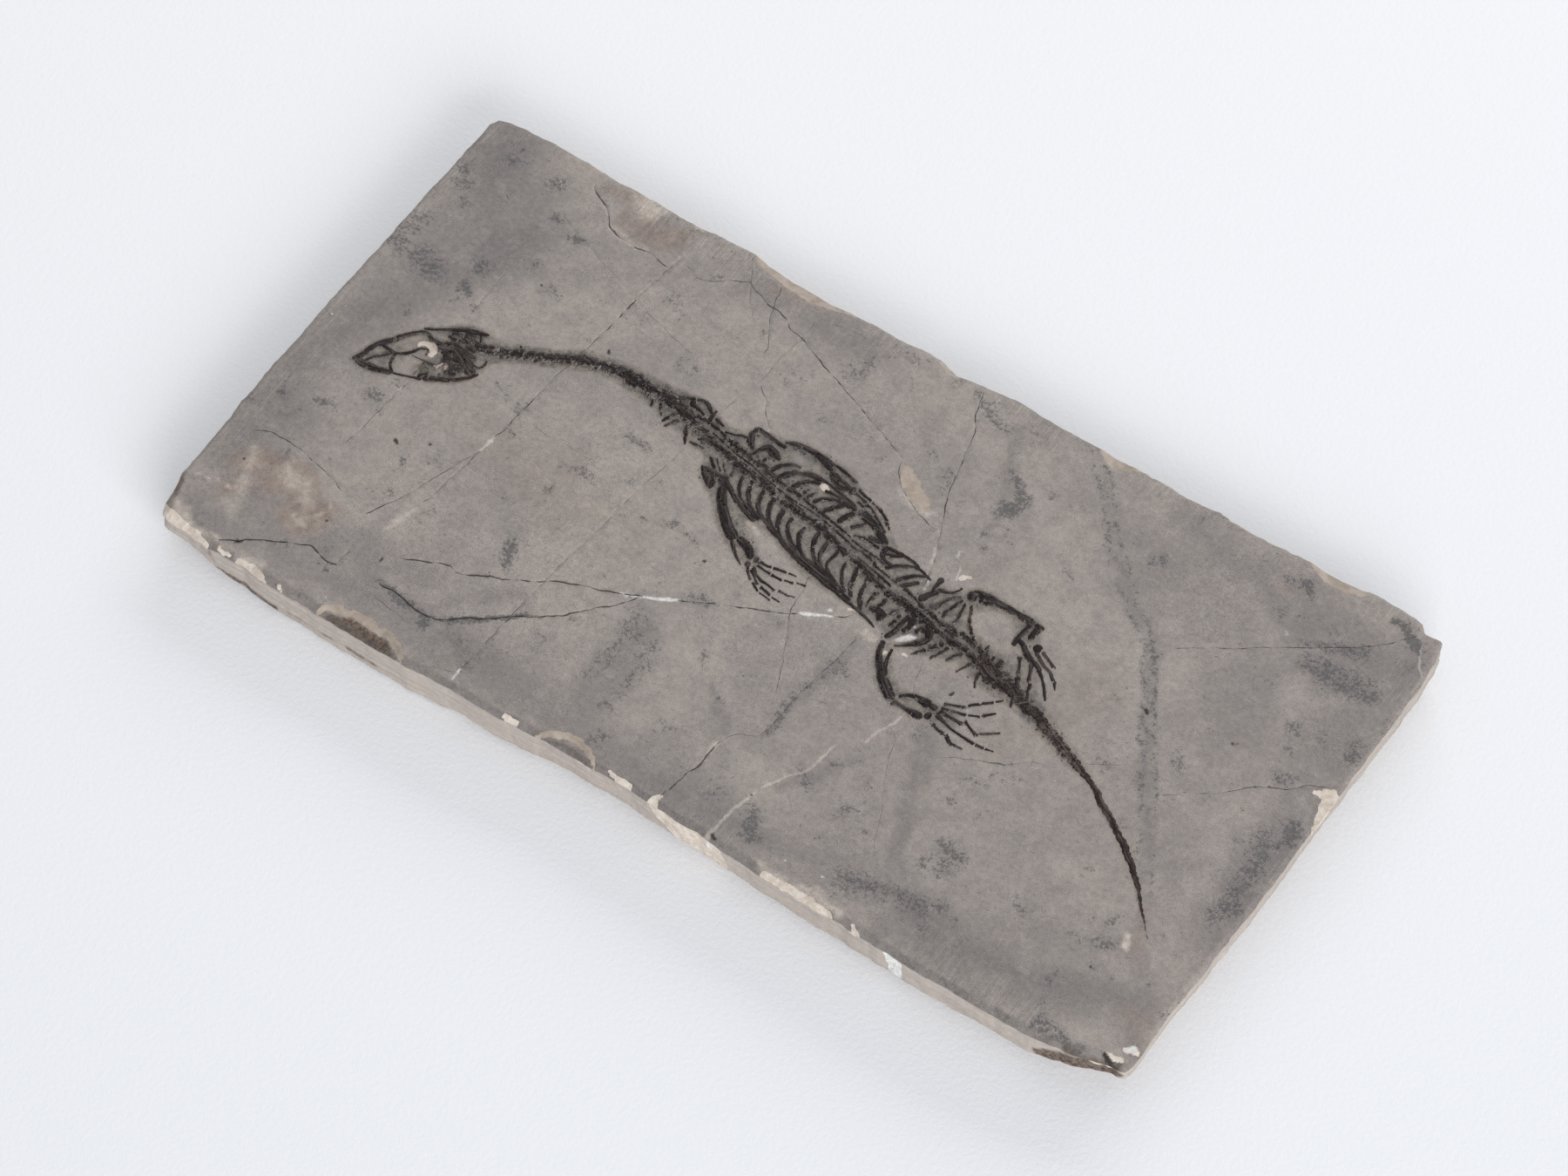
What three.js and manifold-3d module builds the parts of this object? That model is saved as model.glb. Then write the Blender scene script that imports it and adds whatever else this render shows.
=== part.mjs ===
// A Keichousaurus fossil: the dark skeleton of a small long-necked sea reptile, about 28 cm long,
// lying belly down in low relief on the split face of a thin slab of grey limestone.
// Units are millimetres. The origin is the middle of the slab's underside, +X runs along the slab
// towards the tail, +Y towards the animal's right side and +Z is up.
import * as THREE from 'three';
import Module from 'manifold-3d';

const wasm = await Module();
wasm.setup();

// ---------- driving dimensions ----------

const SLAB_THICKNESS = 12;
const BONE_GAP = 0.3; // matrix left between two bones that lie against each other
const CUTTER_MARGIN = 1; // how far a cutting solid reaches past the bones, above and below
const THIN_BONE = 1.2; // half-width under which a bone is a simple ridge
const END_BLUNTNESS = 0.8; // how far a bone's rounded end reaches, in half-widths
const WAIST = { width: 0.8, rise: 0.68 }; // a vertebral row between two vertebrae, against its middle

// How far each kind of bone stands above the split face.
const RELIEF = {
  skull: 1.1,
  jaw: 0.8,
  vertebra: 1.3,
  tail: 1.1,
  rib: 0.6,
  girdle: 0.8,
  limb: 1.4,
  forearm: 1.0,
  wrist: 0.7,
  digit: 0.5,
};

const MATRIX_LOOK = { color: 0x8f8784, roughness: 0.85 };
const BONE_LOOK = { color: 0x383031, roughness: 0.6 };
const SKULL_LOOK = { color: 0x46393a, roughness: 0.55 };
const COLUMN_LOOK = { color: 0x443839, roughness: 0.6 };

// ---------- the slab ----------

// The arris of the split face, from the front left corner round anticlockwise. Each point is
// [x, y, bevel, side, undercut]: how far the broken arris slopes out and down, how deep the side
// is from the split face to its lower arris, and how far the underside is set in from there.
const SLAB_EDGE = [
  [-137.2, -68.7, 2.0, 6.6, 5], [-130, -68.8, 2.4, 6.6, 5], [-124, -69.8, 2.2, 7.6, 4.5],
  [-120, -70.3, 1.4, 9.8, 2.5], [-113, -70, 1.7, 10.8, 1.5], [-107, -71, 1.6, 11, 1.5],
  [-98, -71.2, 1.6, 11, 1.2], [-91, -71.7, 1.5, 11.2, 1.2], [-80, -71.8, 1.5, 11.4, 1],
  [-70, -72, 1.3, 11.4, 1], [-60, -72.1, 1.2, 11.4, 1], [-53, -72.1, 1.1, 11.2, 1],
  [-49, -72.1, 1.1, 9.9, 2], [-44, -72, 1.1, 9.7, 2.2], [-38, -72, 1, 10.4, 1.8],
  [-30, -71.6, 1.2, 10.3, 2], [-25, -71.2, 1.3, 10, 2], [-18, -71.2, 1.2, 9, 3],
  [-9, -71.3, 1.2, 9, 3], [0, -71.6, 1, 8.9, 3], [7, -71.8, 1, 8.8, 3], [15, -72.5, 1, 8.7, 3],
  [22, -72.7, 1, 8.8, 3], [30, -73.2, 1.2, 8.6, 3], [38, -73.6, 1.4, 8.7, 3], [50, -73.6, 1.6, 9.3, 2.5],
  [62, -74.3, 1.3, 9.4, 2.5], [75, -74.9, 1.2, 9.1, 3], [85, -75.2, 1.2, 8.9, 3],
  [95, -75.4, 1.1, 9, 3], [103, -75.2, 1.2, 8, 4], [110, -75, 1.4, 8.6, 3.5],
  [116, -74.5, 1.6, 8.8, 3.5], [121, -73.6, 1.9, 8.5, 4], [127, -72.4, 2.2, 7.4, 5],
  [133, -71.2, 2, 6, 6], [137, -70.9, 1.6, 4.8, 7], [139.4, -71.4, 1.2, 4.4, 7],
  [140.2, -68, 1, 4.6, 6], [140, -62, 0.9, 5, 5], [140.2, -50, 0.9, 5.2, 4.5],
  [140.5, -40, 0.9, 5.4, 4.5], [141.2, -20, 0.8, 5.8, 4], [141.6, 0, 0.7, 5.6, 4],
  [141.8, 20, 0.6, 5.6, 4], [142, 35, 0.5, 6, 3.5], [142, 50, 0.5, 6.4, 3], [141.6, 60, 0.7, 6.8, 3],
  [140.9, 66, 0.8, 7, 3], [139.8, 70.6, 0.6, 7.4, 3], [137, 70.4, 0.6, 8, 2], [135, 70.4, 0.6, 8, 2],
  [133.2, 72.6, 0.6, 8, 2], [127, 73.3, 0.6, 8.4, 2], [120, 73.4, 0.6, 9, 2], [110, 73, 0.6, 9, 2.5],
  [100, 72.8, 0.6, 9.4, 2], [90, 72.2, 0.6, 9.6, 2], [80, 72.2, 0.6, 9.4, 2], [76, 73, 0.6, 9.6, 2],
  [68, 72.4, 0.6, 10, 1.5], [60, 72.8, 0.6, 10, 1.5], [50, 73.1, 0.6, 9.8, 2], [40, 73.1, 0.6, 9.6, 2],
  [28, 72.9, 0.6, 9.6, 2], [18, 73.8, 0.5, 9.8, 2], [8, 73.1, 0.6, 10, 2], [0, 71.9, 0.7, 10, 2],
  [-6, 73.5, 0.6, 10.2, 1.5], [-12, 74, 0.6, 10.4, 1.5], [-18, 73.3, 0.6, 10.4, 1.5],
  [-26, 73.7, 0.6, 10.2, 2], [-35, 73.4, 0.6, 10, 2], [-50, 73.8, 0.6, 10, 2], [-62, 75.2, 0.5, 10.4, 1.5],
  [-68, 75.5, 0.5, 10.6, 1.5], [-76, 74.8, 0.5, 10.6, 1.5], [-90, 75, 0.5, 10.4, 2],
  [-105, 75.3, 0.5, 10, 2], [-120, 76.1, 0.4, 9.6, 2], [-130, 75.9, 0.5, 9, 2.5],
  [-136, 75.4, 0.6, 8.6, 3], [-140.3, 74.6, 0.6, 8, 3.5], [-141.3, 72.5, 0.5, 8, 3.5],
  [-141.4, 60, 0.5, 8.6, 3], [-141.6, 40, 0.5, 9, 2.5], [-141.8, 20, 0.5, 9.4, 2.5],
  [-142, 0, 0.5, 9.6, 2.5], [-142, -15, 0.5, 9.4, 2.5], [-141.6, -35, 0.5, 9, 3],
  [-140.9, -48, 0.6, 8.4, 3.5], [-140.7, -57.6, 0.7, 7.8, 4], [-139.2, -62.4, 1.2, 7.2, 4.5],
  [-138.2, -66, 1.8, 6.8, 5],
];

// Shell-shaped flakes broken off the arris: [x, y, half-length, reach, depth], where reach is how
// far the flake runs in from its centre over the split face.
const ARRIS_CHIPS = [
  [-77.3, -74.4, 13.6, 6.4, 1.7],
  [-17, -74, 8.8, 5.8, 1.5],
  [50.8, -76.4, 10.6, 3.4, 1.1],
  [-114, -74.4, 7.6, 5, 1.3],
  [-46, 76.4, 16.4, 6, 1.8],
  [110.5, 76, 10, 6.2, 1.8],
  [46.8, 75, 6.4, 5.6, 1.3],
  [-1, 74.8, 4.4, 3.6, 1.1],
  [144.4, 13.6, 7.6, 8.6, 1.8],
];
const SLAB_HALF_LENGTH = 142; // a flake centred past this is on the end of the slab
const CHIP_RISE = 0.45; // height of a flake's centre over the split face
const CHIP_FACETS = [14, 6];

// ---------- the skeleton ----------
// A bone is a set of strokes, each a list of [x, y, half-width] along its middle.

const SKULL = {
  skull: [
    [[-126.6, -6.4, 0.9], [-124.5, -6.8, 1.1], [-121.5, -6.5, 1.15], [-118.5, -5.9, 0.9],
      [-116.4, -5.2, 0.6]],
    [[-126.3, -6.2, 0.85], [-125, -1.2, 0.8], [-123.8, 0.9, 0.95], [-121, 5, 0.85], [-119.2, 7.4, 0.75],
      [-117.2, 9.2, 0.75], [-115.5, 9.4, 0.6], [-113.8, 8.6, 0.7]],
    [[-124.2, 0.7, 0.5], [-118.9, 0.2, 0.5]],
    [[-120.3, 0, 0.45], [-122.7, -3.4, 0.4], [-123.9, -6, 0.4]],
    [[-118.9, 0.2, 0.5], [-118, -3.5, 0.45], [-116.6, -5, 0.5]],
    [[-118.9, 0.2, 0.5], [-115.8, 3, 0.5], [-113.9, 5.2, 0.4], [-112.8, 5.3, 0.35], [-112.5, 2.2, 0.3]],
    [[-116.4, 2.2, 0.3], [-112.5, 2.2, 0.3], [-108.3, 2.6, 0.35]],
    [[-111.6, 2.2, 0.3], [-111.5, -0.5, 0.3], [-111.7, -3.8, 0.3]],
    [[-110.4, 1.8, 0.8], [-109.8, -0.8, 1.2], [-110.2, -2.6, 0.6]],
    [[-116.6, -5.2, 0.4], [-109.5, -2.8, 0.5]],
    [[-108.2, 2.5, 0.5], [-107.8, 4.4, 0.5], [-108.1, 6.3, 0.7], [-109.8, 7.8, 0.9]],
    [[-114.2, 8.7, 0.7], [-111, 8.2, 1.5], [-108.6, 9, 2.2], [-106, 8.6, 2.6], [-103.5, 7.5, 2.4],
      [-101.3, 6.5, 1.8], [-99.9, 6, 0.9]],
    [[-110.5, 13.1, 0.7], [-108, 12.8, 1.6], [-105.8, 12, 2], [-103.8, 11.8, 1.2]],
    [[-104.8, 3.2, 0.6], [-103.2, 4.9, 0.9]],
  ],
};

const JAWS = {
  jaw_right: [
    [[-117.4, 10.6, 0.35], [-112, 13.9, 0.5], [-109.6, 15.5, 0.7], [-107.2, 16.4, 0.9], [-103.2, 17.6, 0.4]],
  ],
  jaw_left: [
    [[-107.8, -1.6, 0.9], [-105.2, -0.1, 0.75], [-103.2, 1, 0.6], [-101.2, 2.6, 0.65], [-98.4, 6.2, 0.3]],
  ],
};

// The vertebral column, one entry for each region. Rows are strung with vertebrae of the given
// length, and strokes are the rib heads and short ribs that are still joined to them.
const COLUMN = {
  neck_vertebrae: {
    relief: RELIEF.vertebra,
    pitch: 2.3,
    rows: [
      [[-102, 13.3, 1.5], [-98, 14.7, 1.8], [-92, 18, 1.65], [-87.5, 19.9, 1.55], [-83, 22.2, 1.6],
        [-78.5, 25, 2], [-74.8, 25.6, 1.5], [-69, 26.8, 1.9], [-64, 26.6, 2.2], [-59.5, 26.3, 2],
        [-55.4, 26.5, 2.2]],
    ],
    strokes: [
      [[-57.8, 25.2, 0.45], [-57.5, 22.6, 0.4]],
      [[-55.7, 25.2, 0.6], [-54.8, 22.6, 0.6], [-53.8, 21.5, 0.35]],
    ],
  },
  back_vertebrae: {
    relief: RELIEF.vertebra,
    pitch: 2.6,
    rows: [
      [[-53.6, 26.2, 2.2], [-50, 25.5, 2], [-46, 24.2, 1.7], [-42, 22.6, 1.9], [-38.4, 22.2, 1.6]],
      [[-39.4, 24.4, 1.1], [-33.5, 23.9, 1.5], [-28.5, 22.9, 1.5], [-21.5, 21.4, 1.5], [-14, 20.2, 1.3],
        [-5, 18.6, 1], [4.5, 16.8, 0.8]],
      [[-39.4, 21.4, 1.4], [-31, 20, 1.6], [-23.5, 18.5, 1.6], [-17, 17.1, 1.5], [-9.5, 16, 1.5],
        [-2, 15.2, 1.6], [5, 13.1, 1.4], [11.5, 11.5, 1.1], [18, 9.3, 1.1], [26, 8.1, 1.45],
        [32.5, 6.7, 1.3], [36.3, 5.9, 0.9]],
    ],
    strokes: [
      [[-8, 17.6, 0.5], [2, 16.2, 0.5], [8, 14.8, 0.5], [16, 13, 0.5], [25, 11.6, 0.5], [30, 10, 0.5]],
      [[-45.6, 26, 0.9], [-42, 25.4, 0.8], [-37.8, 25, 0.6]],
      [[-51.3, 24.4, 0.55], [-52, 21.6, 0.5], [-52.5, 20.2, 0.4]],
      [[-49.2, 24, 0.55], [-50.4, 20.9, 0.55], [-51.1, 19.3, 0.35]],
      [[-46.6, 23.4, 0.5], [-45.9, 20.6, 0.6], [-44.9, 18.8, 0.5], [-44.1, 17.5, 0.3]],
      [[-43.1, 18.6, 0.4], [-39.6, 18.9, 0.4], [-38.6, 20.6, 0.4]],
      [[-37.6, 20.6, 0.4], [-36.4, 17.6, 0.4], [-35.2, 16.6, 0.55], [-34.3, 15.9, 0.4]],
      [[-34.8, 20.2, 0.4], [-33.8, 17.6, 0.35]],
      [[-32.2, 20, 0.4], [-31.8, 16.7, 0.35]],
      [[-29.6, 19.4, 0.4], [-29.3, 16, 0.4]],
      [[-28.5, 23, 0.4], [-28, 25.2, 0.45]],
      [[-24.9, 22.8, 0.6], [-24.6, 25.4, 0.6]],
      [[-11.5, 20, 0.5], [-11, 22.6, 0.4]],
      [[-10, 20, 0.5], [-9.3, 22.4, 0.5]],
      [[4, 16.6, 0.5], [8, 18.1, 0.6], [12.5, 18, 0.5]],
      [[6, 16.4, 0.4], [12, 15.6, 0.4], [16.8, 14.4, 0.4]],
      [[19.6, 6.6, 0.7], [19.4, 3.6, 0.4]],
      [[22.5, 7.4, 0.7], [22.2, 2.8, 0.6]],
      [[26.2, 7, 0.6], [25.4, 3.4, 0.5], [24.6, 1.8, 0.5]],
      [[27.9, 7, 0.6], [27.4, 1, 0.55]],
    ],
  },
  sacrum: {
    relief: RELIEF.vertebra,
    pitch: 2.4,
    rows: [
      [[38.4, 5.7, 1], [41.5, 5.2, 1.1], [46.4, 4.6, 1.3], [50.6, 3.7, 1.2]],
      [[37.6, 8, 1.2], [42.5, 7.4, 1.3], [46.5, 7, 1.3], [50.8, 6, 1.3]],
    ],
    strokes: [
      [[36.6, 12.6, 0.6], [36.7, 10.4, 0.75], [37.8, 7.6, 0.7]],
      [[37.8, 16.2, 0.5], [36.9, 13.4, 0.5], [36.7, 10.4, 0.6]],
      [[39, 16, 0.35], [39.5, 13.5, 0.45], [39.8, 7.6, 0.5]],
      [[40.6, 16.5, 0.4], [41.8, 13.9, 0.4], [43, 11.7, 0.5], [46.4, 7, 0.45]],
      [[40.4, 5, 0.85], [39.1, 0.5, 0.75], [37.9, -1.2, 0.6]],
      [[42.6, 5, 0.5], [41.7, 0.6, 0.5], [40.6, -1.7, 0.4]],
      [[46.4, 4, 0.6], [45.1, 1.7, 0.5], [43.9, -0.6, 0.3]],
      [[50, 4, 0.5], [49, 1, 0.45], [47.9, -1.6, 0.35]],
    ],
  },
  // A toe of the right foot lies across the tail and parts it in two.
  tail_base: {
    relief: RELIEF.tail,
    pitch: 2.3,
    rows: [[[52.6, 4, 2], [56, 2.4, 2.8], [58.5, 2.3, 2.7], [60.4, 2.1, 2.4], [63, 1, 1.9]]],
    strokes: [
      [[55.3, 6.2, 1], [55.4, 4.4, 1.1]],
      [[53.2, 1.8, 0.5], [53.3, -1.2, 0.4], [54, -2.8, 0.35]],
    ],
  },
  tail: {
    relief: RELIEF.tail,
    pitch: 2.3,
    rows: [
      [[62.6, 1.1, 1.9], [65, 0.2, 1.8], [70, -1.3, 1.65], [75, -3.4, 1.5], [82, -6.3, 1.4],
        [88, -8.8, 1.1], [92.3, -10.7, 0.8]],
      [[92, -10.5, 0.8], [96, -13.4, 0.8], [101.5, -16.6, 0.75], [107, -20.4, 0.8], [111.8, -24.3, 0.8],
        [115.7, -28, 0.6], [119.8, -32.9, 0.4], [122.4, -35.6, 0.25], [125.6, -39.2, 0.18]],
    ],
    strokes: [],
  },
};

const SHOULDERS = {
  clavicle_right: [
    [[-52.6, 29.4, 0.6], [-50, 30.3, 0.45], [-47.9, 30.8, 0.5], [-46, 30.6, 0.55], [-44, 28.9, 0.4]],
  ],
  clavicle_left: [[[-49.2, 28.6, 0.7], [-47.2, 28.2, 0.6], [-45.4, 27.8, 0.4]]],
  interclavicle: [[[-43, 29.9, 0.4], [-43.1, 28, 0.5], [-41.6, 27.9, 0.4], [-39.1, 27.2, 0.35]]],
  scapula_right: [
    [[-31.5, 31, 0.95], [-32, 29.5, 0.8], [-31.5, 28, 1.05], [-30.4, 26.3, 0.9]],
    [[-31.4, 31.2, 0.85], [-27, 30.8, 0.75], [-24.2, 30.4, 0.6]],
    [[-32, 27.7, 0.35], [-35.1, 26.6, 0.3], [-37.6, 26.3, 0.3]],
  ],
  coracoid_right: [[[-27.6, 26.4, 0.65], [-26.4, 27.8, 1.1], [-24.8, 27.5, 1.3], [-22.6, 26.7, 0.7]]],
  scapula_left: [
    [[-36.4, 14.1, 0.5], [-35.2, 13.4, 1], [-33.8, 12.7, 1.6], [-32.3, 11.5, 1.4], [-31.7, 10.2, 0.7]],
    [[-35.6, 14.2, 0.5], [-31.5, 14.4, 0.5], [-29.7, 14.7, 0.3]],
  ],
  coracoid_left: [[[-30.1, 12.9, 0.9], [-28.8, 12.8, 1], [-27.8, 12.5, 0.7]]],
};

const HIPS = {
  ilium_right: [
    [[30.4, 18.6, 0.9], [30.2, 15.6, 0.45], [30.6, 14.3, 0.7], [30, 12.8, 0.95], [29.5, 11.9, 1]],
  ],
  pubis_right: [
    [[35.8, 19.2, 0.35], [33.8, 16.6, 0.4], [32.3, 16.1, 0.65], [31.7, 14.8, 0.4]],
    [[37, 17.2, 0.3], [34.6, 14.5, 0.45], [33.4, 11.4, 0.8]],
    [[33.6, 16.4, 0.35], [35.2, 15.4, 0.35]],
  ],
  ilium_left: [
    [[29.6, 5, 0.6], [29.3, 2.6, 0.75], [29.1, 0, 0.7], [28.6, -1.9, 0.8]],
  ],
  ischium_left: [
    [[31.3, 4.6, 1], [31.4, 2.8, 0.8], [33.4, 2.7, 0.7], [34.8, 3.6, 1], [36.9, 3, 1], [36.2, 0.6, 0.9],
      [34.6, -1, 0.7], [31.7, -3.3, 0.35]],
  ],
};

const LONG_BONES = {
  humerus_right: [
    [[-23.2, 31.7, 0.75], [-19.5, 32.8, 0.85], [-14.5, 32.8, 1], [-12.3, 32.3, 1.35], [-10.6, 31.9, 1.3]],
  ],
  humerus_left: [
    [[-28.6, 11.1, 1.2], [-27.3, 9, 1.35], [-23.2, 4.5, 1.45], [-21, 2.6, 1.55], [-19.3, 1.5, 1.7]],
  ],
  femur_right: [
    [[39.2, 19.6, 1.3], [41, 20.3, 1.1], [42.6, 20.3, 1.5], [46.5, 20.5, 1.05], [52, 20.5, 1],
      [55, 20.4, 1.15]],
  ],
  femur_left: [
    [[28.6, -4.5, 0.8], [29.6, -7.5, 0.9], [31.6, -10.2, 1], [34, -12.7, 1.4], [36.5, -14.8, 1.5],
      [38.3, -16.1, 1.4]],
    [[31.6, -5, 0.4], [32.2, -8, 0.5], [34, -12, 0.8]],
  ],
};

const LOWER_LIMBS = {
  radius_right: [[[-9.2, 32.6, 0.5], [-6.7, 32.3, 0.5], [-2.5, 31.2, 0.4]]],
  ulna_right: [[[-8.5, 30, 1.15], [-7, 29.2, 1.45], [-5, 28.7, 1.45], [-3.7, 28.7, 1.2]]],
  radius_left: [[[-16.5, 1.4, 1.2], [-15, 1, 1.3], [-13.2, 0, 1.25], [-12, -1.1, 1]]],
  ulna_left: [[[-17.8, -0.5, 0.65], [-16.7, -1.5, 0.55], [-12.6, -4.6, 0.35]]],
  tibia_right: [[[55.4, 18.6, 0.6], [55.3, 17.6, 0.75], [54.9, 15.6, 0.65], [55, 12.9, 0.75]]],
  fibula_right: [[[57.9, 20.3, 1], [57.6, 19, 1], [57.4, 16.5, 0.8]]],
  tibia_left: [[[40.6, -15, 0.45], [42, -13.7, 0.55], [43.6, -13.1, 0.75], [46.9, -13.1, 1.35]]],
  fibula_left: [[[40.5, -17.6, 0.6], [43.1, -17.3, 0.5], [45.3, -17.3, 0.95], [47, -17.3, 1.2]]],
};

const WRISTS_AND_ANKLES = {
  carpal_right: [[[-2, 29.3, 0.6], [-2, 28.2, 0.6]]],
  carpal_left_1: [[[-10.3, -0.9, 0.6], [-10.3, -1.7, 0.6]]],
  carpal_left_2: [[[-11.2, -3.4, 0.7], [-10.8, -3.9, 0.7]]],
  tarsals_right: [
    [[56, 14.3, 0.6], [58.6, 12.5, 0.75], [60, 11.6, 0.85], [62.8, 10.7, 0.55], [64.2, 9.9, 0.5]],
  ],
  tarsal_left_1: [[[48.9, -13.2, 0.85], [49.4, -13.2, 0.8]]],
  tarsal_left_2: [[[49.2, -15.6, 0.8], [49.2, -16.3, 0.8]]],
};

// Fingers and toes. Each stroke narrows at the joints between the phalanges.
const DIGITS = {
  right_hand_digit_1: [
    [[-0.8, 29.9, 0.35], [1, 29.2, 0.3], [3.7, 28.6, 0.22], [6.8, 27.7, 0.32], [9.9, 25.8, 0.26],
      [11.9, 23.9, 0.2]],
  ],
  right_hand_digit_2: [
    [[-0.9, 28.4, 0.28], [0.5, 28.2, 0.25], [2.8, 27.3, 0.24], [6.1, 26, 0.28], [9.8, 23.8, 0.22],
      [11.4, 22.7, 0.16]],
  ],
  right_hand_digit_3: [[[1, 26.7, 0.25], [3.4, 25.8, 0.22], [6.6, 24.9, 0.2]]],
  left_hand_digit_1: [
    [[-9.2, -1.2, 0.4], [-6.9, -1.4, 0.25], [-5.5, -1.1, 0.24], [-3.2, -0.6, 0.35], [-1.6, -0.5, 0.2],
      [0.7, 0, 0.15]],
  ],
  left_hand_digit_2: [
    [[-9.1, -2.6, 0.35], [-6.9, -2.8, 0.22], [-4.8, -2.95, 0.32], [-1.4, -2.7, 0.22], [1.4, -1.9, 0.24],
      [3.8, -1.1, 0.18]],
  ],
  left_hand_digit_3: [
    [[-9.3, -3.7, 0.4], [-7.5, -5, 0.3], [-5.4, -5.8, 0.26], [-3.2, -6, 0.32], [-1, -6.2, 0.24],
      [1.9, -5.8, 0.2],
      [3.8, -5.3, 0.15]],
  ],
  left_hand_digit_4: [
    [[-9.4, -5, 0.3], [-7.7, -6, 0.25], [-5.3, -7.35, 0.32], [-3.2, -7.7, 0.28], [-1.2, -8.3, 0.2],
      [1.5, -8.5, 0.15]],
  ],
  left_hand_digit_5: [
    [[-10.3, -5.2, 0.25], [-9.1, -6.2, 0.25], [-7.6, -7.2, 0.26], [-5.8, -8.2, 0.25], [-4.4, -8.9, 0.18],
      [-0.7, -9.4, 0.15]],
  ],
  right_foot_digit_1: [
    [[58.2, 10.3, 0.5], [59.1, 9.1, 0.35], [60.6, 6.2, 0.3], [61.2, 4.9, 0.45], [62.6, 1.9, 0.35],
      [63.3, -0.8, 0.25],
      [64.3, -3.1, 0.16]],
  ],
  right_foot_digit_2: [
    [[61.8, 9.5, 0.42], [63.1, 7.2, 0.35], [64.1, 5.6, 0.3], [65.2, 3.2, 0.3], [66.8, 0.7, 0.2]],
  ],
  right_foot_digit_3: [[[64.6, 9.2, 0.38], [67, 7.2, 0.35], [69.3, 4.3, 0.28], [70.1, 3.2, 0.16]]],
  right_foot_digit_4: [
    [[61.4, 13.4, 0.4], [63.1, 12.3, 0.4], [67, 10.6, 0.35], [68.8, 9, 0.26], [70.3, 7.1, 0.16]],
  ],
  right_foot_digit_5: [[[60.5, 14.9, 0.8], [62, 14.7, 0.45], [64.1, 13.7, 0.35], [66.6, 12.4, 0.35]]],
  left_foot_digit_1: [
    [[50.6, -11, 0.35], [53.2, -9.9, 0.3], [55.3, -8.9, 0.28], [57.7, -6.3, 0.28], [60.3, -3.9, 0.25],
      [61.7, -2.4, 0.16]],
  ],
  left_foot_digit_2: [
    [[50.9, -12.4, 0.4], [53.7, -11.5, 0.3], [56.9, -10.6, 0.28], [59.8, -9, 0.26], [61.3, -7.5, 0.28],
      [62.4, -6.3, 0.16]],
  ],
  left_foot_digit_3: [
    [[50.9, -13.5, 0.45], [53.7, -13.4, 0.4], [57.2, -13, 0.3], [59.6, -13.4, 0.3], [61.9, -13.9, 0.26],
      [64.1, -12.2, 0.28], [66.1, -10.6, 0.16]],
  ],
  left_foot_digit_4: [
    [[50.9, -14.8, 0.45], [55.4, -16, 0.3], [60.5, -16.5, 0.3], [62.8, -16.6, 0.28], [65.2, -16.4, 0.3],
      [67.8, -15.8, 0.16]],
  ],
  left_foot_digit_5: [
    [[51.4, -17.3, 0.45], [52.9, -17.9, 0.3], [55.6, -18.4, 0.38], [58.4, -19.6, 0.28], [61.2, -19.4, 0.16]],
  ],
};

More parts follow.
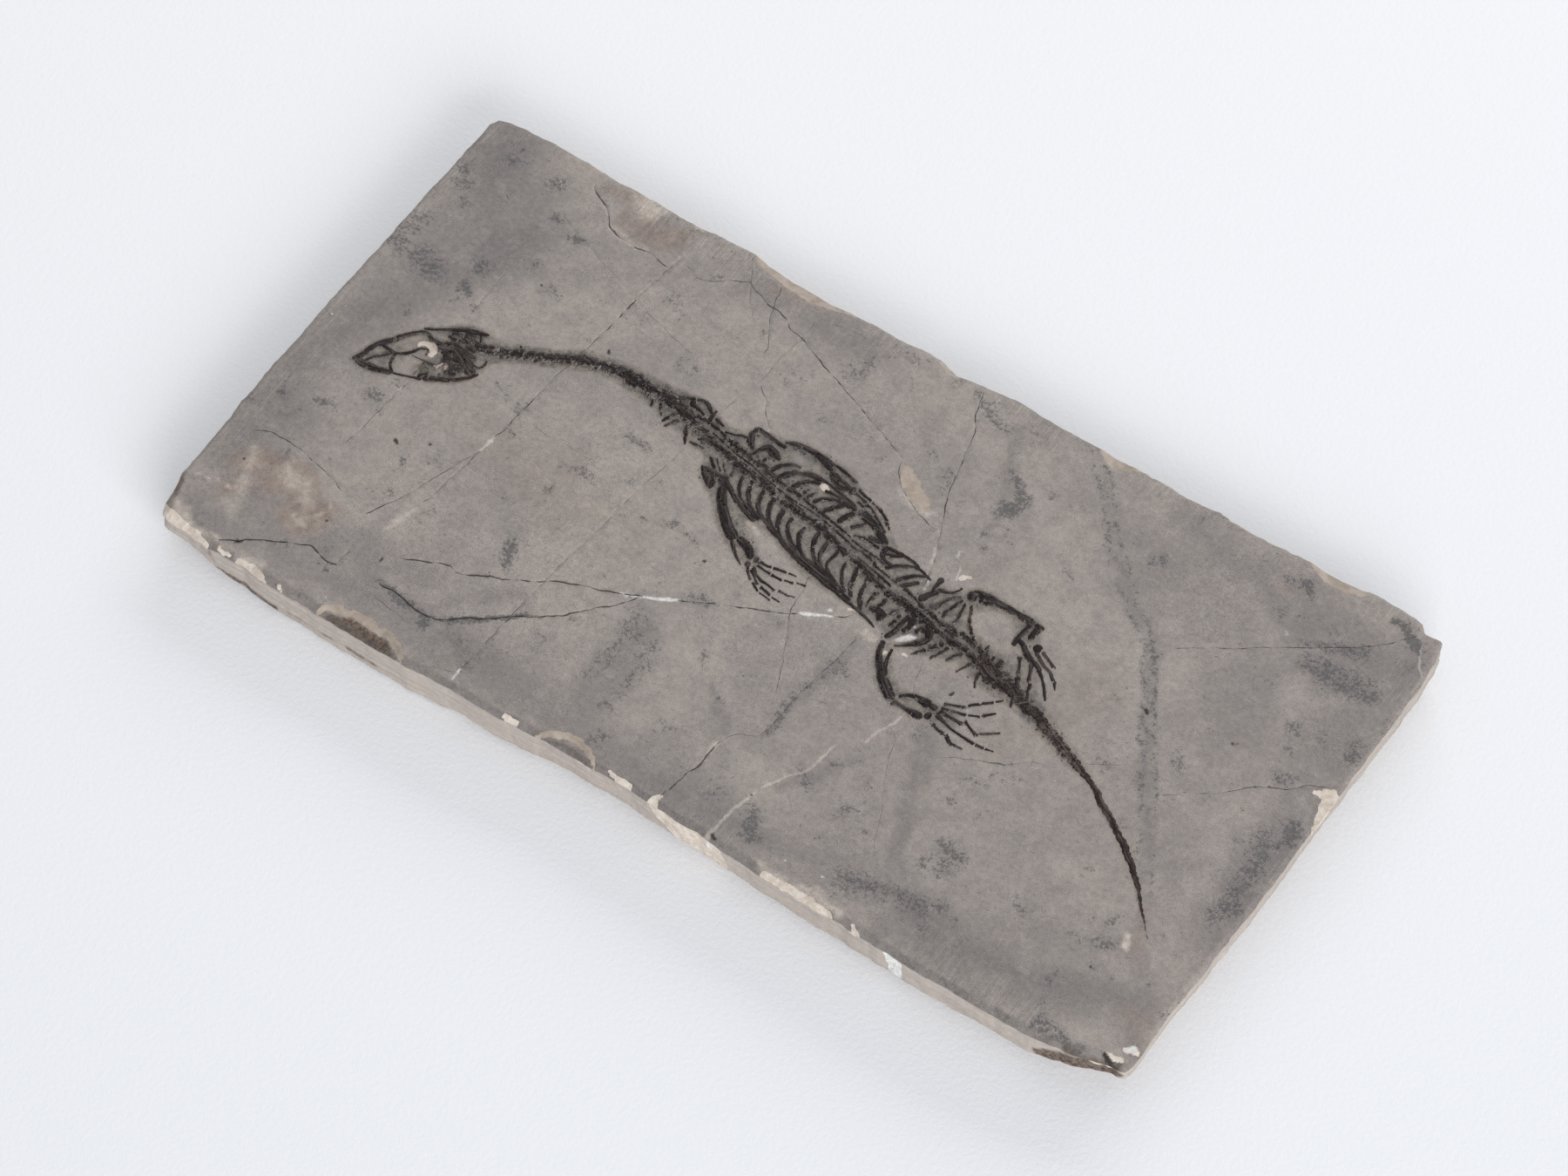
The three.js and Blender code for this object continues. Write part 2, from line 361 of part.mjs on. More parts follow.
// Each side's ribs lie pressed together with the belly ribs, which run along the flank.
const RIBS = {
  ribs_left: [
    [[-29.2, 14, 0.45], [-26.6, 12.2, 0.6], [-22, 9.7, 0.6], [-17.2, 7.8, 0.45], [-13, 7.6, 0.4]],
    [[-26.4, 16.2, 0.45], [-24.8, 13, 0.4], [-21.6, 10.8, 0.35], [-16.4, 8.3, 0.35]],
    [[-23.6, 16.4, 0.6], [-22.7, 13.9, 0.6], [-20.4, 11.3, 0.4], [-15.8, 9, 0.35]],
    [[-20, 16, 0.5], [-19, 12.6, 0.6], [-17.5, 10.8, 0.5], [-13.2, 8.2, 0.4]],
    [[-16.5, 15.2, 0.5], [-15.7, 12.4, 0.6], [-12.9, 9.1, 0.45], [-10.5, 7.7, 0.4]],
    [[-12.5, 14.2, 0.6], [-11.5, 9.9, 0.55], [-8.4, 7, 0.4]],
    [[-9.5, 14, 0.5], [-8.1, 9.5, 0.5], [-3.8, 6.2, 0.4]],
    [[-5.5, 13.4, 0.5], [-4.5, 8.8, 0.5], [-1.2, 5.7, 0.4]],
    [[-1.8, 13, 0.5], [-0.9, 9.5, 0.55], [1.6, 6.6, 0.45], [6.8, 3.8, 0.4]],
    [[1.3, 12.6, 0.45], [1.8, 8.6, 0.45], [4.4, 5.5, 0.4], [7.3, 4.3, 0.35]],
    [[4.8, 11, 0.4], [4.8, 7.4, 0.35], [9.3, 3.8, 0.35]],
    [[8.6, 9.6, 0.4], [9.8, 6.1, 0.4], [12.7, 2.8, 0.35]],
    [[12, 9, 0.55], [12.7, 6, 0.55], [14.9, 1.9, 0.4]],
    [[15.4, 8, 0.55], [16.1, 5.4, 0.55], [17.7, 2.2, 0.6], [18.6, 0.2, 0.45]],
    [[-13.2, 7.8, 0.4], [-6, 5.6, 0.42], [-2, 4.2, 0.45], [1.5, 3.4, 0.5], [8, 2, 0.5], [17, 0.3, 0.42],
      [22.4, -1, 0.38], [24.4, -1.8, 0.25]],
    [[-10.4, 7.5, 0.4], [-2, 5.1, 0.4], [6, 3.4, 0.45], [15, 1.5, 0.4]],
    [[-1.5, 5.6, 0.4], [6, 4.1, 0.4], [12.5, 2.8, 0.35]],
  ],
  ribs_right: [
    [[-21.2, 23.4, 0.6], [-20.5, 25.2, 0.5], [-16, 27.2, 0.4], [-14.6, 26.9, 0.4]],
    [[-18.8, 22.8, 0.75], [-16.8, 25.2, 0.7], [-12.9, 26.6, 0.45], [-9.9, 26.9, 0.4]],
    [[-14.4, 22.2, 0.75], [-12.7, 24.7, 0.6], [-9.7, 26.6, 0.4]],
    [[-14.8, 26.8, 0.4], [-10.1, 27.3, 0.4], [-4.3, 26.5, 0.4], [1.2, 25.1, 0.45]],
    [[-7.4, 25, 0.35], [-2, 25.1, 0.4], [0.8, 24.7, 0.5]],
    [[-7.7, 21.6, 0.5], [-5.5, 23.3, 0.5], [-1.4, 24.3, 0.5], [1, 24.4, 0.55]],
    [[-3.9, 20.9, 0.6], [-2.6, 22.6, 0.6], [-0.8, 24.1, 0.45]],
    [[0.4, 20.2, 0.7], [1.9, 24, 0.7]],
    [[4.2, 20, 0.45], [6.3, 22.9, 0.45]],
    [[0.5, 24.5, 0.8], [3, 24.3, 1], [7.6, 23.3, 1.1], [11.2, 21.4, 0.9], [13.7, 19.2, 0.75],
      [14.7, 16.8, 0.7]],
    [[9.3, 19.8, 0.5], [14, 19.5, 0.5], [20.8, 19.5, 0.4], [23.9, 18.8, 0.3]],
    [[14.4, 17.5, 0.5], [16.8, 18.2, 0.5], [18.6, 19.3, 0.45]],
    [[17.4, 14.3, 0.4], [18.7, 15.7, 0.45], [22.1, 17.8, 0.4], [26, 18, 0.35], [28.2, 17.2, 0.25]],
    [[14.8, 16.4, 0.45], [18.8, 15.7, 0.35]],
    [[21.5, 12.8, 0.45], [24.1, 15.8, 0.5], [26.9, 17.7, 0.35]],
    [[23.4, 12.6, 0.45], [24.7, 13.9, 0.5], [26.6, 16.4, 0.45], [27.6, 17.6, 0.35]],
  ],
};

// ---------- geometry helpers ----------

function makeGeometry(points, faces) {
  const geometry = new THREE.BufferGeometry();
  geometry.setAttribute('position', new THREE.Float32BufferAttribute(points.flatMap((p) => p.toArray()), 3));
  geometry.setIndex(faces.flat());
  return geometry;
}

// Closed solid through a list of rings, which all have the same number of points and are in order
// from one end to the other, each anticlockwise seen from the last ring's end.
function loft(rings, capFaces) {
  const count = rings[0].length;
  const faces = [];
  for (let r = 0; r + 1 < rings.length; r += 1) {
    for (let i = 0; i < count; i += 1) {
      const next = (i + 1) % count;
      const low = r * count;
      const high = low + count;
      faces.push([low + i, low + next, high + next]);
      faces.push([low + i, high + next, high + i]);
    }
  }
  const last = (rings.length - 1) * count;
  for (const [a, b, c] of capFaces) {
    faces.push([a, c, b]);
    faces.push([last + a, last + b, last + c]);
  }
  return makeGeometry(rings.flat(), faces);
}

function fanFaces(count) {
  return Array.from({ length: count - 2 }, (_, i) => [0, i + 1, i + 2]);
}

function toManifold(geometry) {
  const mesh = new wasm.Mesh({
    numProp: 3,
    vertProperties: new Float32Array(geometry.attributes.position.array),
    triVerts: new Uint32Array(geometry.index.array),
  });
  return new wasm.Manifold(mesh);
}

function fromManifold(solid) {
  const mesh = solid.getMesh();
  const geometry = new THREE.BufferGeometry();
  geometry.setAttribute('position', new THREE.BufferAttribute(new Float32Array(mesh.vertProperties), 3));
  geometry.setIndex(new THREE.BufferAttribute(new Uint32Array(mesh.triVerts), 1));
  return geometry;
}

function union(solids) {
  return solids.reduce((whole, solid) => whole.add(solid));
}

function largestPiece(solid) {
  return solid.decompose().reduce((a, b) => (a.volume() > b.volume() ? a : b));
}

// ---------- slab ----------

// The outline moved outwards by offset(i), at height(i).
function slabRing(offset, height) {
  const count = SLAB_EDGE.length;
  return SLAB_EDGE.map(([x, y], i) => {
    const before = SLAB_EDGE[(i + count - 1) % count];
    const after = SLAB_EDGE[(i + 1) % count];
    const along = new THREE.Vector2(after[0] - before[0], after[1] - before[1]).normalize();
    return new THREE.Vector3(x + along.y * offset(i), y - along.x * offset(i), height(i));
  });
}

function chipCutter([x, y, halfLength, reach, depth]) {
  const flake = new THREE.SphereGeometry(1, ...CHIP_FACETS);
  const onEnd = Math.abs(x) > SLAB_HALF_LENGTH;
  flake.scale(onEnd ? reach : halfLength, onEnd ? halfLength : reach, depth + CHIP_RISE);
  flake.translate(x, y, SLAB_THICKNESS + CHIP_RISE);
  return toManifold(weld(flake));
}

// Rebuilds a three.js geometry with one vertex for each place.
function weld(geometry) {
  const source = geometry.attributes.position;
  const places = new Map();
  const points = [];
  const renamed = [];
  for (let i = 0; i < source.count; i += 1) {
    const point = new THREE.Vector3().fromBufferAttribute(source, i);
    const key = point.toArray().map((value) => value.toFixed(4)).join();
    if (!places.has(key)) {
      places.set(key, points.length);
      points.push(point);
    }
    renamed.push(places.get(key));
  }
  const faces = [];
  const index = geometry.index.array;
  for (let i = 0; i < index.length; i += 3) {
    const [a, b, c] = [renamed[index[i]], renamed[index[i + 1]], renamed[index[i + 2]]];
    if (a !== b && b !== c && c !== a) faces.push([a, b, c]);
  }
  return makeGeometry(points, faces);
}

function slab() {
  const bevel = (i) => SLAB_EDGE[i][2];
  const side = (i) => SLAB_EDGE[i][3];
  const undercut = (i) => SLAB_EDGE[i][4];
  const rings = [
    slabRing((i) => bevel(i) - undercut(i), () => 0),
    slabRing((i) => bevel(i), (i) => SLAB_THICKNESS - side(i)),
    slabRing((i) => bevel(i), (i) => SLAB_THICKNESS - bevel(i)),
    slabRing(() => 0, () => SLAB_THICKNESS),
  ];
  const outline = SLAB_EDGE.map(([x, y]) => new THREE.Vector2(x, y));
  const block = toManifold(loft(rings, THREE.ShapeUtils.triangulateShape(outline, [])));
  return block.subtract(union(ARRIS_CHIPS.map(chipCutter)));
}

// ---------- bones ----------

function strokeFrames(stroke) {
  return stroke.map(([x, y, halfWidth], i) => {
    const before = stroke[Math.max(i - 1, 0)];
    const after = stroke[Math.min(i + 1, stroke.length - 1)];
    const along = new THREE.Vector2(after[0] - before[0], after[1] - before[1]).normalize();
    return { x, y, halfWidth, along, rise: 1 };
  });
}

// Adds the rounded ends: a lower, narrower section past each end of the stroke.
function withEnds(frames) {
  const end = (frame, direction) => ({
    x: frame.x + frame.along.x * frame.halfWidth * END_BLUNTNESS * direction,
    y: frame.y + frame.along.y * frame.halfWidth * END_BLUNTNESS * direction,
    halfWidth: frame.halfWidth * 0.5,
    along: frame.along,
    rise: frame.rise * 0.55,
  });
  return [end(frames[0], -1), ...frames, end(frames[frames.length - 1], 1)];
}

// Cross-section of a bone as [across, up], in half-widths and in relief.
const RIDGE_SECTION = [[-1, 0], [1, 0], [0, 1]];
const ARCH_SECTION = [[-1, 0], [1, 0], [0.72, 0.78], [0, 1], [-0.72, 0.78]];
const VERTEBRA_SECTION = [[-1, 0], [1, 0], [0.55, 1], [-0.55, 1]];

function sweep(frames, section, relief) {
  const rings = frames.map(({ x, y, halfWidth, along, rise }) =>
    section.map(([across, up]) => new THREE.Vector3(
      x + along.y * across * halfWidth,
      y - along.x * across * halfWidth,
      SLAB_THICKNESS + up * rise * relief,
    )));
  return toManifold(loft(rings.reverse(), fanFaces(section.length)));
}

function sectionFor(stroke) {
  const widest = Math.max(...stroke.map(([, , halfWidth]) => halfWidth));
  return widest < THIN_BONE ? RIDGE_SECTION : ARCH_SECTION;
}

function boneFromStroke(stroke, relief) {
  return sweep(withEnds(strokeFrames(stroke)), sectionFor(stroke), relief);
}

// A row of vertebrae: the stroke is smoothed and swells at the middle of each vertebra.
function vertebraRow(stroke, pitch, relief) {
  const path = new THREE.CatmullRomCurve3(stroke.map((point) => new THREE.Vector3(...point)));
  const count = Math.max(2, Math.round(path.getLength() / pitch));
  const points = path.getSpacedPoints(2 * count);
  const frames = strokeFrames(points.map((p) => p.toArray()));
  frames.forEach((frame, i) => {
    if (i % 2 === 0) {
      frame.halfWidth *= WAIST.width;
      frame.rise = WAIST.rise;
    }
  });
  return sweep(frames, VERTEBRA_SECTION, relief);
}

// The space kept clear round a stroke: a straight-walled ribbon, wider and longer by the gap.
// bluntness is that of the bone's own ends, and 0 for a row of vertebrae, which is cut off square.
function clearance(stroke, relief, bluntness) {
  const frames = strokeFrames(stroke);
  const end = (frame, direction) => {
    const reach = (frame.halfWidth * bluntness + BONE_GAP) * direction;
    return { ...frame, x: frame.x + frame.along.x * reach, y: frame.y + frame.along.y * reach };
  };
  const ribbon = [end(frames[0], -1), ...frames, end(frames[frames.length - 1], 1)];
  for (const frame of ribbon) {
    frame.halfWidth += BONE_GAP;
  }
  const low = -CUTTER_MARGIN / relief;
  const high = 1 + CUTTER_MARGIN / relief;
  return sweep(ribbon, [[-1, low], [1, low], [1, high], [-1, high]], relief);
}

// ---------- assembly ----------

const fossil = new THREE.Group();
fossil.name = 'keichousaurus_fossil';

function addPiece(name, solid, look) {
  const mesh = new THREE.Mesh(fromManifold(solid), new THREE.MeshStandardMaterial({ ...look, metalness: 0 }));
  mesh.name = name;
  fossil.add(mesh);
}

const clearances = [];

function boxesMeet(a, b) {
  return [0, 1].every((axis) => a.min[axis] < b.max[axis] && b.min[axis] < a.max[axis]);
}

// Adds a bone, cut back where it would run into the bones already placed.
function addBone(name, solid, look) {
  const box = solid.boundingBox();
  const near = clearances.filter((space) => boxesMeet(box, space.boundingBox()));
  const bone = near.reduce((rest, space) => rest.subtract(space), solid);
  addPiece(name, largestPiece(bone), look);
}

function addBones(set, relief, look = BONE_LOOK) {
  for (const [name, strokes] of Object.entries(set)) {
    addBone(name, union(strokes.map((stroke) => boneFromStroke(stroke, relief))), look);
    clearances.push(...strokes.map((stroke) => clearance(stroke, relief, END_BLUNTNESS)));
  }
}

function addColumn(look) {
  for (const [name, { relief, pitch, rows, strokes }] of Object.entries(COLUMN)) {
    const vertebrae = rows.map((row) => vertebraRow(row, pitch, relief));
    const ribs = strokes.map((stroke) => boneFromStroke(stroke, RELIEF.rib));
    addBone(name, union([...vertebrae, ...ribs]), look);
    clearances.push(...rows.map((row) => clearance(row, relief, 0)));
    clearances.push(...strokes.map((stroke) => clearance(stroke, relief, END_BLUNTNESS)));
  }
}

addPiece('matrix_slab', slab(), MATRIX_LOOK);
addBones(SKULL, RELIEF.skull, SKULL_LOOK);
addBones(JAWS, RELIEF.jaw, SKULL_LOOK);
addBones(LONG_BONES, RELIEF.limb);
addBones(LOWER_LIMBS, RELIEF.forearm);
addBones(WRISTS_AND_ANKLES, RELIEF.wrist);
addBones(DIGITS, RELIEF.digit);
addColumn(COLUMN_LOOK);
addBones(SHOULDERS, RELIEF.girdle);
addBones(HIPS, RELIEF.girdle);
addBones(RIBS, RELIEF.rib);

export default fossil;
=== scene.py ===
"""The looks of the keichousaurus fossil: a slab of grey limestone with the dark, flattened skeleton
of a small long-necked sea reptile on its split face.

First come the tables of what was traced or placed, then the materials, the slab, the bones, and
last the floor, light and camera. Lengths are in millimetres until a mesh is made.
"""

import math
from typing import NamedTuple

import bpy
import numpy as np
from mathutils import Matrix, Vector
from mathutils.geometry import delaunay_2d_cdt
from mathutils.kdtree import KDTree


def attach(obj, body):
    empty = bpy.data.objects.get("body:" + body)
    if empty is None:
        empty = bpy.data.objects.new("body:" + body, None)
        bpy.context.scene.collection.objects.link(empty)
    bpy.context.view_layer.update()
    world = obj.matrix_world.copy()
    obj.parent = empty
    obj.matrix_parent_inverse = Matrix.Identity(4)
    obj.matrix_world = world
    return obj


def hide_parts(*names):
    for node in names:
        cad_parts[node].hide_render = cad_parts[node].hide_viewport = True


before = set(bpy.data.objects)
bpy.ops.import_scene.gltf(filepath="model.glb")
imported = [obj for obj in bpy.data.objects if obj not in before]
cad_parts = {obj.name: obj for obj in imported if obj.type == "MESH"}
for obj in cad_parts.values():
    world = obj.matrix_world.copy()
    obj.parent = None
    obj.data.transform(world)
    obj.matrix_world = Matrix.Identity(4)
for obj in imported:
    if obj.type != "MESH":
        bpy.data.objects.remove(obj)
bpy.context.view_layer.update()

MM = 0.001
SPLIT_FACE = 12.0  # height of the slab's upper face in the CAD part
STONE_LEVEL = SPLIT_FACE - .04  # mean height of the stone between its waves
HALF_LENGTH, HALF_WIDTH = 142.45, 76.45  # the furthest that the stone reaches from its middle

# ---------- the slab's edge ----------

# The arris of the split face, anticlockwise from the front left corner. Each point is
# (x, y, bevel, side, undercut), as in the CAD part.
SLAB_EDGE = (
    (-137.2, -68.7, 2, 6.6, 5), (-130, -68.8, 2.4, 6.6, 5), (-124, -69.8, 2.2, 7.6, 4.5),
    (-120, -70.3, 1.4, 9.8, 2.5), (-113, -70, 1.7, 10.8, 1.5), (-107, -71, 1.6, 11, 1.5),
    (-98, -71.2, 1.6, 11, 1.2), (-91, -71.7, 1.5, 11.2, 1.2), (-80, -71.8, 1.5, 11.4, 1),
    (-70, -72, 1.3, 11.4, 1), (-60, -72.1, 1.2, 11.4, 1), (-53, -72.1, 1.1, 11.2, 1),
    (-49, -72.1, 1.1, 9.9, 2), (-44, -72, 1.1, 9.7, 2.2), (-38, -72, 1, 10.4, 1.8),
    (-30, -71.6, 1.2, 10.3, 2), (-25, -71.2, 1.3, 10, 2), (-18, -71.2, 1.2, 9, 3), (-9, -71.3, 1.2, 9, 3),
    (0, -71.6, 1, 8.9, 3), (7, -71.8, 1, 8.8, 3), (15, -72.5, 1, 8.7, 3), (22, -72.7, 1, 8.8, 3),
    (30, -73.2, 1.2, 8.6, 3), (38, -73.6, 1.4, 8.7, 3), (50, -73.6, 1.6, 9.3, 2.5),
    (62, -74.3, 1.3, 9.4, 2.5), (75, -74.9, 1.2, 9.1, 3), (85, -75.2, 1.2, 8.9, 3), (95, -75.4, 1.1, 9, 3),
    (103, -75.2, 1.2, 8, 4), (110, -75, 1.4, 8.6, 3.5), (116, -74.5, 1.6, 8.8, 3.5),
    (121, -73.6, 1.9, 8.5, 4), (127, -72.4, 2.2, 7.4, 5), (133, -71.2, 2, 6, 6), (137, -70.9, 1.6, 4.8, 7),
    (139.4, -71.4, 1.2, 4.4, 7), (140.2, -68, 1, 4.6, 6), (140, -62, .9, 5, 5), (140.2, -50, .9, 5.2, 4.5),
    (140.5, -40, .9, 5.4, 4.5), (141.2, -20, .8, 5.8, 4), (141.6, 0, .7, 5.6, 4), (141.8, 20, .6, 5.6, 4),
    (142, 35, .5, 6, 3.5), (142, 50, .5, 6.4, 3), (141.6, 60, .7, 6.8, 3), (140.9, 66, .8, 7, 3),
    (139.8, 70.6, .6, 7.4, 3), (137, 70.4, .6, 8, 2), (135, 70.4, .6, 8, 2), (133.2, 72.6, .6, 8, 2),
    (127, 73.3, .6, 8.4, 2), (120, 73.4, .6, 9, 2), (110, 73, .6, 9, 2.5), (100, 72.8, .6, 9.4, 2),
    (90, 72.2, .6, 9.6, 2), (80, 72.2, .6, 9.4, 2), (76, 73, .6, 9.6, 2), (68, 72.4, .6, 10, 1.5),
    (60, 72.8, .6, 10, 1.5), (50, 73.1, .6, 9.8, 2), (40, 73.1, .6, 9.6, 2), (28, 72.9, .6, 9.6, 2),
    (18, 73.8, .5, 9.8, 2), (8, 73.1, .6, 10, 2), (0, 71.9, .7, 10, 2), (-6, 73.5, .6, 10.2, 1.5),
    (-12, 74, .6, 10.4, 1.5), (-18, 73.3, .6, 10.4, 1.5), (-26, 73.7, .6, 10.2, 2), (-35, 73.4, .6, 10, 2),
    (-50, 73.8, .6, 10, 2), (-62, 75.2, .5, 10.4, 1.5), (-68, 75.5, .5, 10.6, 1.5),
    (-76, 74.8, .5, 10.6, 1.5), (-90, 75, .5, 10.4, 2), (-105, 75.3, .5, 10, 2), (-120, 76.1, .4, 9.6, 2),
    (-130, 75.9, .5, 9, 2.5), (-136, 75.4, .6, 8.6, 3), (-140.3, 74.6, .6, 8, 3.5),
    (-141.3, 72.5, .5, 8, 3.5), (-141.4, 60, .5, 8.6, 3), (-141.6, 40, .5, 9, 2.5),
    (-141.8, 20, .5, 9.4, 2.5), (-142, 0, .5, 9.6, 2.5), (-142, -15, .5, 9.4, 2.5), (-141.6, -35, .5, 9, 3),
    (-140.9, -48, .6, 8.4, 3.5), (-140.7, -57.6, .7, 7.8, 4), (-139.2, -62.4, 1.2, 7.2, 4.5),
    (-138.2, -66, 1.8, 6.8, 5),
)

# Flakes broken off the arris: (x, y, half-length, reach, depth), as in the CAD part.
ARRIS_CHIPS = (
    (-77.3, -74.4, 13.6, 6.4, 1.7), (-17, -74, 8.8, 5.8, 1.5), (50.8, -76.4, 10.6, 3.4, 1.1),
    (-114, -74.4, 7.6, 5, 1.3), (-46, 76.4, 16.4, 6, 1.8), (110.5, 76, 10, 6.2, 1.8),
    (46.8, 75, 6.4, 5.6, 1.3), (-1, 74.8, 4.4, 3.6, 1.1), (144.4, 13.6, 7.6, 8.6, 1.8),
)
CHIP_RISE = 0.45  # how far over the split face a flake's bowl would end

# ---------- cracks of the split face ----------

# Open cracks and hairlines: (half-width, ((x, y), (x, y), ...)).
CRACKS = (
    (.26, ((-82, -49.5), (-76, -46.3), (-73, -45), (-70.5, -44.3), (-68, -44.8), (-65, -43.6), (-62, -41.8),
          (-58, -40.3), (-54, -38.3), (-50, -36), (-47.5, -34), (-44, -32.6), (-40, -31), (-36, -29.5),
          (-32, -28), (-28, -26.2), (-26.6, -25.6))),
    (.24, ((-19.5, -21.8), (-16.5, -20.3), (-10, -17), (-5, -14.7), (0, -12.3), (4, -10.7), (7, -9))),
    (.26, ((14.6, -4.6), (15.4, -4.1), (17, -3.2), (17.8, -1.9))),
    (.22, ((-27.2, -25.9), (-29, -29), (-31.5, -32), (-34.5, -35), (-36.5, -37.5), (-40, -41), (-43.5, -44),
           (-47, -46.5))),
    (.42, ((-42, -42.9), (-45, -45), (-50, -48.3), (-53, -50.8), (-57, -53.5), (-60, -55.5),
           (-62.5, -57.8))),
    (.26, ((-62.5, -57.8), (-64, -58.5), (-68, -59.6), (-73, -59), (-77, -58), (-82, -58.2))),
    (.24, ((-122.6, -69.6), (-120, -68), (-117.5, -67.2), (-115.5, -65), (-110, -62), (-106, -60.2),
           (-102.5, -58.3), (-99, -59.2), (-96, -59.8), (-93.5, -59))),
    (.07, ((-94, -58.6), (-93.4, -55), (-93.9, -52))),
    (.1, ((-77, 65), (-77.8, 60), (-78.3, 54), (-79, 48))),
    (.24, ((-79.1, 47), (-79.3, 43))),
    (.3, ((-79.3, 42), (-79.5, 39.8))),
    (.12, ((-79.6, 38), (-80.3, 30.5), (-81.5, 22), (-82.3, 14), (-82.8, 5), (-83.2, 0), (-83.3, -4),
           (-84, -7))),
    (.1, ((-84.6, -12), (-85, -18), (-86, -25), (-86.3, -30), (-87.5, -33))),
    (.1, ((-84.6, -12.5), (-87, -19), (-90, -28), (-92, -33.5))),
    (.15, ((-92, -33.5), (-94, -38), (-96.5, -43.5))),
    (.05, ((-38.2, 67), (-38, 60), (-38.8, 54), (-39, 50), (-39.3, 42))),
    (.07, ((-41, 38), (-41.6, 31.5))),
    (.09, ((-43.2, 17.4), (-44, 10), (-45, 4), (-45.6, 0), (-46.3, -8), (-47, -16), (-48, -24),
           (-48.6, -30), (-49.2, -38), (-50, -50), (-50.5, -60), (-51, -67))),
    (.06, ((-110.8, 36), (-111, 28), (-110.9, 22))),
    (.1, ((-111.2, -4.5), (-111.5, -8), (-112, -13), (-112.6, -20), (-113.2, -29))),
    (.04, ((-99, 3.7), (-90, 2.9), (-82, 1.6), (-75, 1), (-60, .6))),
    (.05, ((-110, 59), (-103, 56), (-95, 53), (-85, 49.3), (-75, 45.6), (-66, 43), (-58, 41))),
    (.04, ((-81, 55.5), (-75, 54.3), (-65, 54.5), (-60, 54.8))),
    (.2, ((-108.2, 71.6), (-107.7, 70.3), (-106, 69.2), (-104, 68), (-102, 67), (-100.5, 65.8), (-99, 63.9),
          (-97.8, 62.7), (-94.5, 61.2), (-91, 61), (-88, 60.7), (-83.5, 61.1), (-81, 60.3), (-78, 60))),
    (.14, ((-71, 61), (-67, 62.4), (-63, 65.5), (-60, 66.8), (-58.5, 67.5), (-55.5, 66), (-52.5, 65),
           (-50, 64.3), (-47.5, 64), (-44, 62.6))),
    (.2, ((-44, 62.6), (-42, 61.2), (-38, 60.3), (-34, 58.5), (-30, 56.8), (-26, 55.2))),
    (.13, ((-26, 55.2), (-20, 53), (-15, 51), (-10, 48.8), (-5, 46.8), (0, 44.8), (3, 43.4))),
    (.12, ((3, 43.2), (3.6, 40.5), (6, 37.5), (10, 34.5), (15, 32), (20.5, 30.2))),
    (.07, ((-2, 30.3), (3, 31.3), (9.6, 34.2))),
    (.09, ((-38.5, 42.6), (-35, 39.5), (-33, 36.5), (-30, 33.5), (-28.8, 32.4))),
    (.1, ((-51.5, 71), (-50, 66.5), (-48.6, 62), (-46.5, 58), (-44, 54), (-43, 51))),
    (.05, ((-62.3, 74.3), (-58.3, 67.8), (-56, 63.5), (-53, 60), (-50.5, 57))),
    (.05, ((-34, 68), (-31, 69), (-26, 69.3), (-22, 69.5), (-17, 70))),
    (.13, ((8.6, 71.6), (9.2, 68), (11, 63.5), (13, 60), (14.3, 55), (15.5, 50), (17, 44), (18.5, 39),
           (21, 33.5))),
    (.1, ((21, 33.5), (23, 29), (24.8, 25), (26.4, 20.6), (28, 15))),
    (.12, ((87.5, 33), (92, 36.5), (99, 41), (106, 46), (113, 50.5), (121, 56), (128, 61.5), (132, 66),
           (134.5, 69))),
    (.1, ((107, -4.2), (109, -2.7), (111, -.6))),
    (.3, ((111, -.6), (112, .2))),
    (.13, ((112, .2), (118, 4), (124, 10), (127, 12.3), (131, 14), (135, 18), (139, 20), (141, 21.4))),
    (.09, ((3, 2), (4.2, -3), (5, -9), (7.5, -14), (10, -19), (12, -23), (14, -28), (15.3, -31))),
    (.09, ((22.8, -7), (22.5, -10), (22, -16), (21, -22), (20, -30), (19.8, -38), (19, -43), (16.5, -44.5),
           (13.5, -46.5), (12.3, -49))),
    (.28, ((12.2, -49.5), (11.9, -53), (11.5, -58.5), (10.8, -61), (10.3, -64), (9.7, -68))),
    (.2, ((9.5, -68), (8.9, -71))),
    (.08, ((56.5, -25.5), (60, -23), (63, -21.3), (66, -20), (70.7, -18), (73.5, -16), (77, -12.8))),
    (.12, ((66, -20), (70.7, -18), (73.5, -16), (77, -12.8), (81, -12), (84, -9.3))),
    (.06, ((87.2, -6.7), (91, -4.5), (95, -2))),
    (.05, ((39.5, -3), (41.5, -10), (43.5, -15))),
    (.05, ((46, -24), (47.5, -29), (50, -36), (55, -45), (58, -52), (60.5, -56))),
    (.15, ((-134.6, -38.5), (-132, -37), (-128, -36.2), (-121, -36.6), (-116, -37.6), (-110, -39),
           (-105, -41.2))),
    (.06, ((-60, -72.1), (-59, -71.6), (-56.5, -70.3), (-53.5, -69.5), (-51.5, -68.8))),
    (.05, ((131, 6.5), (136, 5), (140.6, 3.6))),
    (.05, ((-81, -62), (-75, -62.5), (-70, -63.5), (-67, -63.3))),
)

# ---------- markings of the stone ----------

